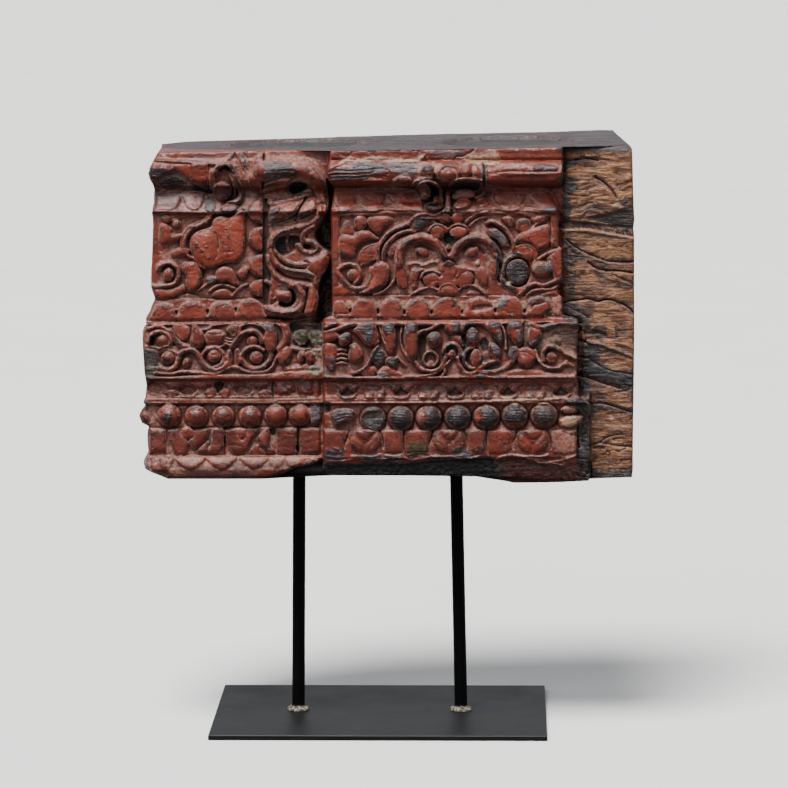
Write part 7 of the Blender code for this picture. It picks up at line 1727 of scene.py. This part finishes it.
def make_block():
    pts, masks, names = build_block()
    rows, ncol = pts.shape[:2]
    idx = np.arange(rows * ncol).reshape(rows, ncol)
    a, b = idx[:-1, :], idx[1:, :]
    a2, b2 = np.roll(a, -1, 1), np.roll(b, -1, 1)
    quads = np.stack([a, a2, b2, b], -1).reshape(-1, 4)
    verts = [pts.reshape(-1, 3)]
    col = [masks.reshape(-1, len(names))]
    count = rows * ncol
    tris = []
    k = {n: i for i, n in enumerate(names)}
    for top in (True, False):
        ring = pts[-1] if top else pts[0]
        keep = [0]
        for i in range(1, ncol):
            if np.hypot(*(ring[i, :2] - ring[keep[-1], :2])) > 2e-5:
                keep.append(i)
        ring_idx = np.array(keep)
        if top:
            circles = [(cx, cy, (WELL_R + 0.0022, WELL_R, WELL_R - 0.0011, WELL_R - WELL_RIM, WELL_R - WELL_RIM - 0.0018))
                       for cx, cy in WELLS]
            func = lambda x, y: top_relief(x, y)[0]
        else:
            circles = [(cx, cy, (0.0090, 0.0058, 0.0052)) for cx, cy in SOCKETS]
            def func(x, y):
                z = 0.2052 + MM * (0.7 * fbm(x * 1000 / 40, y * 1000 / 5, 221, 3) + 0.5 * fbm(x * 1000 / 14, y * 1000 / 14, 225, 2))
                for cx, cy in SOCKETS:
                    rr = np.hypot(x - cx, y - cy)
                    z = np.where(rr < 0.0060, 0.2045 + 0.020 * sstep((0.0058 - rr) / 0.0006), z)
                    z = np.where((rr >= 0.0060) & (rr < 0.0095), 0.2046, z)
                return z
        grid = 0.0022 * (1.0 if top else 1.6)
        new, tri, src = cap_points(ring[ring_idx], func, grid, circles, top)
        # ring points come back with their own numbers
        own = np.full(len(new), -1)
        known = (src >= 0) & (src < len(ring_idx))
        own[known] = ring_idx[src[known]]
        gid = np.empty(len(new), int)
        base_row = (rows - 1) * ncol if top else 0
        gid[known] = base_row + own[known]
        fresh = np.where(~known)[0]
        gid[fresh] = count + np.arange(len(fresh))
        count += len(fresh)
        q = new[fresh]
        verts.append(q)
        m = np.zeros((len(fresh), len(names)))
        if top:
            _, deep, rim = top_relief(q[:, 0], q[:, 1])
            X, Y = q[:, 0] * 1000, q[:, 1] * 1000
            m[:, k["wood"]] = 1.0
            m[:, k["grey"]] = np.clip(0.80 + 0.3 * fbm(X / 50, Y / 5, 231, 3) - 0.12 * rim, 0, 1)
            inside = np.zeros(len(X))
            for cx, cy in WELLS:
                inside = np.maximum(inside, sstep((WELL_R - WELL_RIM - np.hypot(q[:, 0] - cx, q[:, 1] - cy)) / 0.002))
            m[:, k["dark"]] = np.clip(0.25 + 0.4 * fbm(X / 30, Y / 3.4, 235, 3) + deep + 0.22 * inside - rim, 0, 1)
            m[:, k["cream"]] = np.clip(0.34 * rim + 0.25 * fbm(X / 20, Y / 2.6, 239, 2), 0, 1)
            m[:, k["hole_and_shade"]] = np.clip(deep * 1.2 - 0.3, 0, 1)
            m[:, k["deep"]] = deep
        else:
            X, Y = q[:, 0] * 1000, q[:, 1] * 1000
            m[:, k["wood"]] = 1.0
            m[:, k["dark"]] = np.clip(0.8 + 0.4 * fbm(X / 30, Y / 5, 241, 3), 0, 1)
            for cx, cy in SOCKETS:
                m[np.hypot(q[:, 0] - cx, q[:, 1] - cy) < 0.0062, k["hole_and_shade"]] = 1.0
        col.append(m)
        tris.append(gid[tri])
    verts = np.concatenate(verts)
    col = np.concatenate(col)
    tris = np.concatenate(tris)
    me = bpy.data.meshes.new("bracket_carving")
    nq, nt = len(quads), len(tris)
    me.vertices.add(len(verts))
    me.vertices.foreach_set("co", verts.astype(np.float32).ravel())
    me.loops.add(nq * 4 + nt * 3)
    me.loops.foreach_set("vertex_index", np.concatenate([quads.ravel(), tris.ravel()]).astype(np.int32))
    me.polygons.add(nq + nt)
    me.polygons.foreach_set("loop_start", np.concatenate([np.arange(nq) * 4, nq * 4 + np.arange(nt) * 3]).astype(np.int32))
    me.update(calc_edges=True)
    me.validate()
    put_masks(me, col, names)
    ob = bpy.data.objects.new("bracket_carving", me)
    bpy.context.scene.collection.objects.link(ob)
    faces = nq * 2 + nt
    limit = 194000
    if faces > limit:
        md = ob.modifiers.new("thin", "DECIMATE")
        md.ratio = limit / faces
        dg = bpy.context.evaluated_depsgraph_get()
        thin = bpy.data.meshes.new_from_object(ob.evaluated_get(dg))
        ob.modifiers.remove(md)
        ob.data = thin
        bpy.data.meshes.remove(me)
        thin.name = "bracket_carving"
    ob.data.polygons.foreach_set("use_smooth", np.ones(len(ob.data.polygons), bool))
    print("block faces", faces, "->", len(ob.data.polygons))
    return ob


def put_masks(me, col, names):
    for g in range(0, len(names), 4):
        part = col[:, g:g + 4]
        rgba = np.zeros((len(col), 4), np.float32)
        rgba[:, :part.shape[1]] = np.clip(part, 0, 1)
        at = me.attributes.new("m%d" % (g // 4), "FLOAT_COLOR", "POINT")
        at.data.foreach_set("color", rgba.ravel())


# ------------------------------------------------------------------ materials
def srgb(r, g, b):
    f = lambda c: (c / 255 / 12.92) if c <= 10 else ((c / 255 + 0.055) / 1.055) ** 2.4
    return (f(r), f(g), f(b), 1.0)


class Nodes:
    def __init__(self, name):
        self.mat = bpy.data.materials.new(name)
        self.mat.use_nodes = True
        self.t = self.mat.node_tree
        self.t.nodes.clear()
        self.out = self.t.nodes.new("ShaderNodeOutputMaterial")
        self.b = self.t.nodes.new("ShaderNodeBsdfPrincipled")
        self.t.links.new(self.b.outputs[0], self.out.inputs["Surface"])

    def new(self, kind, **kw):
        n = self.t.nodes.new(kind)
        for key, val in kw.items():
            setattr(n, key, val)
        return n

    def link(self, a, b):
        self.t.links.new(a, b)

    def put(self, socket, val):
        if hasattr(val, "is_output") or hasattr(val, "links"):
            self.link(val, socket)
        else:
            socket.default_value = val

    def math(self, op, a, b=None, c=None, clamp=False):
        n = self.new("ShaderNodeMath", operation=op, use_clamp=clamp)
        for i, v in enumerate((a, b, c)):
            if v is not None:
                self.put(n.inputs[i], v)
        return n.outputs[0]

    def mix(self, fac, a, b, blend="MIX"):
        n = self.new("ShaderNodeMix", data_type="RGBA", blend_type=blend)
        n.clamp_factor = True
        self.put(n.inputs[0], fac)
        self.put(n.inputs[6], a)
        self.put(n.inputs[7], b)
        return n.outputs[2]

    def coords(self, scale=(1, 1, 1), rot=(0, 0, 0)):
        if not hasattr(self, "_co"):
            self._co = self.new("ShaderNodeTexCoord").outputs["Object"]
        m = self.new("ShaderNodeMapping")
        m.inputs["Scale"].default_value = scale
        m.inputs["Rotation"].default_value = rot
        self.link(self._co, m.inputs["Vector"])
        return m.outputs[0]

    def noise(self, scale, detail=4.0, rough=0.6, stretch=(1, 1, 1), distort=0.0):
        n = self.new("ShaderNodeTexNoise")
        n.inputs["Scale"].default_value = scale
        n.inputs["Detail"].default_value = detail
        n.inputs["Roughness"].default_value = rough
        n.inputs["Distortion"].default_value = distort
        self.link(self.coords(stretch), n.inputs["Vector"])
        return n.outputs["Fac"]

    def ramp(self, fac, *stops):
        n = self.new("ShaderNodeValToRGB")
        e = n.color_ramp.elements
        while len(e) < len(stops):
            e.new(0.5)
        for el, (p, c) in zip(e, stops):
            el.position = p
            el.color = c if len(c) == 4 else (c[0], c[0], c[0], 1)
        self.put(n.inputs[0], fac)
        return n.outputs[0]

    def level(self, fac, lo, hi):
        n = self.new("ShaderNodeMapRange")
        n.interpolation_type = "SMOOTHSTEP"
        self.put(n.inputs[0], fac)
        n.inputs[1].default_value = lo
        n.inputs[2].default_value = hi
        n.inputs[3].default_value = 0.0
        n.inputs[4].default_value = 1.0
        return n.outputs[0]

    def bump(self, height, strength, distance, normal=None):
        n = self.new("ShaderNodeBump")
        n.inputs["Strength"].default_value = strength
        n.inputs["Distance"].default_value = distance
        self.link(height, n.inputs["Height"])
        if normal is not None:
            self.link(normal, n.inputs["Normal"])
        return n.outputs[0]


def timber_material():
    m = Nodes("painted_carved_timber")
    ch = []
    for g in range(4):
        at = m.new("ShaderNodeAttribute", attribute_name="m%d" % g, attribute_type="GEOMETRY")
        sp = m.new("ShaderNodeSeparateColor")
        m.link(at.outputs["Color"], sp.inputs[0])
        ch += [sp.outputs[0], sp.outputs[1], sp.outputs[2], at.outputs["Alpha"]]
    wood, dark, grey, pink, cream, moss, bright, hole_and_shade, cavity, deep, edge, upper, soot_and_shade, gold = ch[:14]
    # noises in metres: fine grit, blotches, long grain along X
    grit = m.noise(1300, 3, 0.6)
    spots = m.noise(420, 5, 0.68)
    blotch = m.noise(70, 4, 0.6)
    broad = m.noise(15, 3, 0.55)
    grain = m.noise(300, 5, 0.66, (0.20, 1, 1), 1.4)
    fibre = m.noise(900, 4, 0.6, (0.11, 1, 1), 0.5)
    flake_n = m.noise(250, 6, 0.7, (0.7, 1, 1), 0.5)
    rag = m.math("SUBTRACT", spots, 0.5)
    # paint: dark brick red, uneven, rubbed darker
    paint = m.ramp(blotch, (0.30, srgb(74, 22, 11)), (0.5, srgb(108, 37, 18)), (0.72, srgb(131, 49, 24)))
    paint = m.mix(m.math("MULTIPLY", m.level(broad, 0.42, 0.68), 0.7), paint, srgb(96, 35, 21))
    paint = m.mix(m.math("MULTIPLY", m.level(spots, 0.58, 0.72), 0.55), paint, srgb(44, 15, 9))
    paint = m.mix(m.math("MULTIPLY", m.level(grit, 0.62, 0.72), 0.40), paint, srgb(30, 11, 7))
    # thin dust on the ground between the carvings; slopes that face up are paler still, partly dust and partly a
    # painted highlight from the light above
    dust_c = m.mix(m.level(spots, 0.35, 0.7), srgb(76, 34, 25), srgb(106, 64, 54))
    low = m.math("ADD", m.math("MULTIPLY", deep, 0.80), m.math("MULTIPLY", rag, 1.5), clamp=True)
    paint = m.mix(m.math("MULTIPLY", low, 0.38), paint, dust_c)
    up_dust_and_highlight = m.math("ADD", m.math("MULTIPLY", upper, 0.8), m.math("MULTIPLY", rag, 1.8))
    paint = m.mix(m.math("MULTIPLY", m.level(up_dust_and_highlight, 0.30, 1.1), 0.38), paint, m.mix(m.level(spots, 0.38, 0.62), dust_c, srgb(146, 108, 98)))
    # proud edges: rubbed, a little lighter, here and there flaked to the dark wood
    ridge = m.math("ADD", m.math("MULTIPLY", edge, 0.8), m.math("MULTIPLY", rag, 1.8))
    paint = m.mix(m.math("MULTIPLY", m.level(ridge, 0.55, 1.05), 0.32), paint, srgb(160, 104, 88))
    flake = m.level(m.math("ADD", flake_n, m.math("ADD", m.math("MULTIPLY", edge, 0.18),
                                                  m.math("MULTIPLY", m.math("SUBTRACT", blotch, 0.5), 0.6))), 0.645, 0.675)
    paint = m.mix(m.math("MULTIPLY", flake, 0.85), paint, m.mix(m.level(spots, 0.4, 0.6), srgb(9, 6, 6), srgb(26, 17, 16)))

    def over(base, mask, colour, gain=1.0, noise_amt=0.8):
        f = m.level(m.math("ADD", mask, m.math("MULTIPLY", rag, noise_amt * 2)), 0.30, 0.62)
        return m.mix(m.math("MULTIPLY", f, gain) if gain != 1.0 else f, base, colour)

    paint = over(paint, pink, m.mix(m.level(spots, 0.35, 0.7), srgb(112, 62, 50), srgb(158, 112, 96)), 0.72)
    paint = over(paint, bright, m.ramp(blotch, (0.35, srgb(112, 41, 21)), (0.65, srgb(138, 56, 31))), 0.72)
    # bare timber: reddish brown with dark grain, golden where it is sound
    wcol = m.ramp(grain, (0.34, srgb(28, 15, 10)), (0.46, srgb(62, 34, 21)), (0.58, srgb(92, 55, 34)), (0.72, srgb(122, 80, 52)))
    sound = m.ramp(grain, (0.34, srgb(62, 35, 21)), (0.47, srgb(112, 69, 41)), (0.60, srgb(150, 100, 61)), (0.74, srgb(186, 140, 98)))
    wcol = m.mix(m.level(m.math("ADD", gold, m.math("MULTIPLY", rag, 1.6)), 0.42, 0.95), wcol, sound)
    wcol = m.mix(m.math("MULTIPLY", m.level(blotch, 0.52, 0.70), 0.40), wcol, srgb(96, 46, 28))
    wcol = m.mix(m.math("MULTIPLY", m.level(fibre, 0.54, 0.66), 0.62), wcol, srgb(40, 22, 15))
    wcol = m.mix(m.math("MULTIPLY", m.level(grit, 0.58, 0.68), 0.5), wcol, srgb(38, 23, 16))
    wcol = m.mix(m.math("MULTIPLY", m.level(edge, 0.3, 1.0), 0.35), wcol, srgb(184, 136, 92))
    base = m.mix(m.level(m.math("ADD", wood, m.math("MULTIPLY", rag, 0.6)), 0.35, 0.65), paint, wcol)
    greyc = m.ramp(fibre, (0.32, srgb(24, 21, 24)), (0.5, srgb(50, 45, 49)), (0.70, srgb(100, 93, 96)))
    base = over(base, grey, greyc, 0.86)
    darkc = m.ramp(fibre, (0.36, srgb(8, 6, 6)), (0.6, srgb(20, 15, 15)), (0.76, srgb(48, 40, 40)))
    base = over(base, dark, darkc, 0.94)
    base = over(base, cream, m.mix(grit, srgb(128, 98, 76), srgb(172, 140, 112)), 0.8)
    base = over(base, moss, m.ramp(spots, (0.35, srgb(26, 27, 15)), (0.5, srgb(52, 56, 28)), (0.66, srgb(84, 88, 48))), 0.85)
    # painted shade: dark red-brown mixed in under the overhanging courses and on the underside (random dark tone on the
    # back)
    base = m.mix(m.math("MULTIPLY", soot_and_shade, 0.62), base, srgb(38, 12, 7))
    # pale dust lies along the shallow joints; where the relief closes in, the colour is painted near-black as shade
    shut = m.math("ADD", cavity, m.math("MULTIPLY", rag, 0.45))
    line = m.math("MULTIPLY", m.level(shut, 0.06, 0.22), m.math("SUBTRACT", 1.0, m.level(shut, 0.32, 0.54)))
    base = m.mix(m.math("MULTIPLY", line, 0.60), base, m.mix(m.level(spots, 0.4, 0.62), srgb(98, 58, 48), srgb(150, 116, 104)))
    base = m.mix(m.math("MULTIPLY", m.level(shut, 0.32, 0.88), 0.95), base, srgb(18, 6, 4))
    # holes, cracks and hollows painted near-black: dark cracks, and painted shade under the broken edges
    base = m.mix(m.level(hole_and_shade, 0.2, 0.9), base, srgb(7, 5, 5))
    m.link(base, m.b.inputs["Base Color"])
    # surface: satin where the paint lies smooth, dull dust and wood
    rough = m.math("ADD", 0.17, m.math("MULTIPLY", spots, 0.38))
    rough = m.math("ADD", rough, m.math("MULTIPLY", m.math("MAXIMUM", m.math("MULTIPLY", wood, 0.5), m.math("MAXIMUM", deep, upper)), 0.24))
    rough = m.math("ADD", rough, m.math("MULTIPLY", m.math("ADD", cavity, m.math("MULTIPLY", pink, 0.5)), 0.3), clamp=True)
    m.link(rough, m.b.inputs["Roughness"])
    n1 = m.bump(m.noise(170, 6, 0.66), 0.6, 0.0010)
    n2 = m.bump(spots, 0.55, 0.0007, n1)
    n3 = m.bump(m.math("ADD", grit, m.math("MULTIPLY", flake, -1.2)), 0.5, 0.00035, n2)
    bare = m.math("MAXIMUM", wood, m.math("MULTIPLY", m.math("MAXIMUM", dark, grey), 0.8))
    gh = m.math("MULTIPLY", m.math("ADD", m.math("MULTIPLY", grain, 1.3), m.math("MULTIPLY", fibre, 0.8)), bare)
    n4 = m.bump(gh, 0.75, 0.0011, n3)
    m.link(n4, m.b.inputs["Normal"])
    m.b.inputs["Specular IOR Level"].default_value = 0.6
    return m.mat


def plate_material():
    m = Nodes("dark_grey_plate")
    fine = m.noise(700, 4, 0.6)
    cloud = m.noise(22, 4, 0.6)
    dots = m.noise(1500, 2, 0.5)
    base = m.mix(m.level(cloud, 0.35, 0.7), srgb(13, 13, 14), srgb(21, 21, 23))
    base = m.mix(m.math("MULTIPLY", m.level(dots, 0.70, 0.78), 0.5), base, srgb(96, 94, 90))
    m.link(base, m.b.inputs["Base Color"])
    m.link(m.math("ADD", 0.36, m.math("MULTIPLY", cloud, 0.22)), m.b.inputs["Roughness"])
    m.link(m.bump(fine, 0.25, 0.0002), m.b.inputs["Normal"])
    m.b.inputs["Specular IOR Level"].default_value = 0.22
    return m.mat


def rod_material():
    m = Nodes("blackened_rod")
    fine = m.noise(600, 4, 0.6, (1, 1, 0.15))
    cloud = m.noise(60, 4, 0.6)
    sep = m.new("ShaderNodeSeparateXYZ")
    m.link(m.coords(), sep.inputs[0])
    weld = m.math("SUBTRACT", 1.0, m.level(m.math("ADD", sep.outputs[2], m.math("MULTIPLY", m.math("SUBTRACT", cloud, 0.5), 0.003)),
                                           0.0068, 0.0084))
    base = m.mix(m.level(cloud, 0.35, 0.7), srgb(3, 3, 3), srgb(7, 7, 7))
    wc = m.mix(m.level(m.noise(500, 3, 0.6), 0.4, 0.62), srgb(62, 58, 56), srgb(150, 138, 122))
    base = m.mix(weld, base, wc)
    m.link(base, m.b.inputs["Base Color"])
    m.link(m.math("ADD", m.math("ADD", 0.42, m.math("MULTIPLY", fine, 0.2)), m.math("MULTIPLY", weld, 0.25)), m.b.inputs["Roughness"])
    m.link(m.bump(m.math("ADD", fine, m.math("MULTIPLY", m.math("MULTIPLY", cloud, weld), 3.0)), 0.4, 0.0006), m.b.inputs["Normal"])
    m.b.inputs["Specular IOR Level"].default_value = 0.08
    return m.mat


def floor_material():
    m = Nodes("pale_floor")
    c = m.mix(m.noise(5, 3, 0.5), srgb(222, 221, 219), srgb(230, 229, 227))
    m.link(c, m.b.inputs["Base Color"])
    m.b.inputs["Roughness"].default_value = 0.8
    m.b.inputs["Specular IOR Level"].default_value = 0.2
    return m.mat


# ------------------------------------------------------------------ pieces
block = make_block()
block.data.materials.clear()
block.data.materials.append(timber_material())
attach(block, "root")
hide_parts("carved_block")

plate_mat, rod_mat = plate_material(), rod_material()
for node, mat in (("base_plate", plate_mat), ("left_rod", rod_mat), ("right_rod", rod_mat)):
    ob = bpy.data.objects[node]
    if not ob.material_slots:
        ob.data.materials.append(mat)
    for slot in ob.material_slots:
        slot.material = mat

# ------------------------------------------------------------------ floor, light, camera
bpy.ops.mesh.primitive_plane_add(size=160, location=(0, 20.0, 0))
floor = bpy.context.object
floor.name = "floor"
floor.data.materials.append(floor_material())


def area(name, loc, target, size, power, colour=(1, 1, 1)):
    li = bpy.data.lights.new(name, "AREA")
    li.shape = "RECTANGLE"
    li.size, li.size_y = size
    li.energy = power
    li.color = colour
    ob = bpy.data.objects.new(name, li)
    ob.location = loc
    ob.rotation_euler = (Vector(target) - Vector(loc)).to_track_quat("-Z", "Y").to_euler()
    bpy.context.scene.collection.objects.link(ob)
    return ob


def sun(name, direction, angle, power, colour=(1, 1, 1)):
    li = bpy.data.lights.new(name, "SUN")
    li.energy, li.angle, li.color = power, math.radians(angle), colour
    ob = bpy.data.objects.new(name, li)
    ob.rotation_euler = Vector(direction).to_track_quat("-Z", "Y").to_euler()
    bpy.context.scene.collection.objects.link(ob)
    return ob


sun("sky", (0.20, 0.43, -1.0), 24, 7.0, (1.0, 0.99, 0.975))
area("front", (-1.1, -2.3, 2.2), (0, 0, 0.33), (0.8, 0.8), 27, (0.97, 0.99, 1.0))
# the floor's own reflected light is left to the world, darker below the horizon than above it
floor.visible_diffuse = False
floor.visible_glossy = False
world = bpy.data.worlds.new("studio") if bpy.context.scene.world is None else bpy.context.scene.world
bpy.context.scene.world = world
world.use_nodes = True
wt = world.node_tree
bg = wt.nodes.get("Background") or wt.nodes.new("ShaderNodeBackground")
wc, ws = wt.nodes.new("ShaderNodeTexCoord"), wt.nodes.new("ShaderNodeSeparateXYZ")
wr = wt.nodes.new("ShaderNodeValToRGB")
wt.links.new(wc.outputs["Generated"], ws.inputs[0])
wm = wt.nodes.new("ShaderNodeMath")
wm.operation = "MULTIPLY_ADD"
wm.inputs[1].default_value, wm.inputs[2].default_value = 0.5, 0.5
wt.links.new(ws.outputs[2], wm.inputs[0])
wt.links.new(wm.outputs[0], wr.inputs[0])
els = wr.color_ramp.elements
while len(els) < 5:
    els.new(0.5)
for el, (pos, val) in zip(els, ((0.0, 0.20), (0.46, 0.24), (0.5, 0.95), (0.58, 0.58), (1.0, 0.44))):
    el.position, el.color = pos, (val * 0.97, val, val * 1.05, 1)
wt.links.new(wr.outputs[0], bg.inputs[0])
bg.inputs[1].default_value = 1.0

cam_data = bpy.data.cameras.new("view")
cam = bpy.data.objects.new("view", cam_data)
bpy.context.scene.collection.objects.link(cam)
cam_data.sensor_fit = "HORIZONTAL"
cam_data.sensor_width = 36.0
cam_data.lens = 36.0 * FOCAL / 788.0
cam_data.clip_start, cam_data.clip_end = 0.05, 60.0
from mathutils import Matrix
rot = Matrix((tuple(_rt), tuple(_up), tuple(-_fw))).transposed()
cam.matrix_world = Matrix.Translation(Vector(EYE)) @ rot.to_4x4()
bpy.context.scene.camera = cam
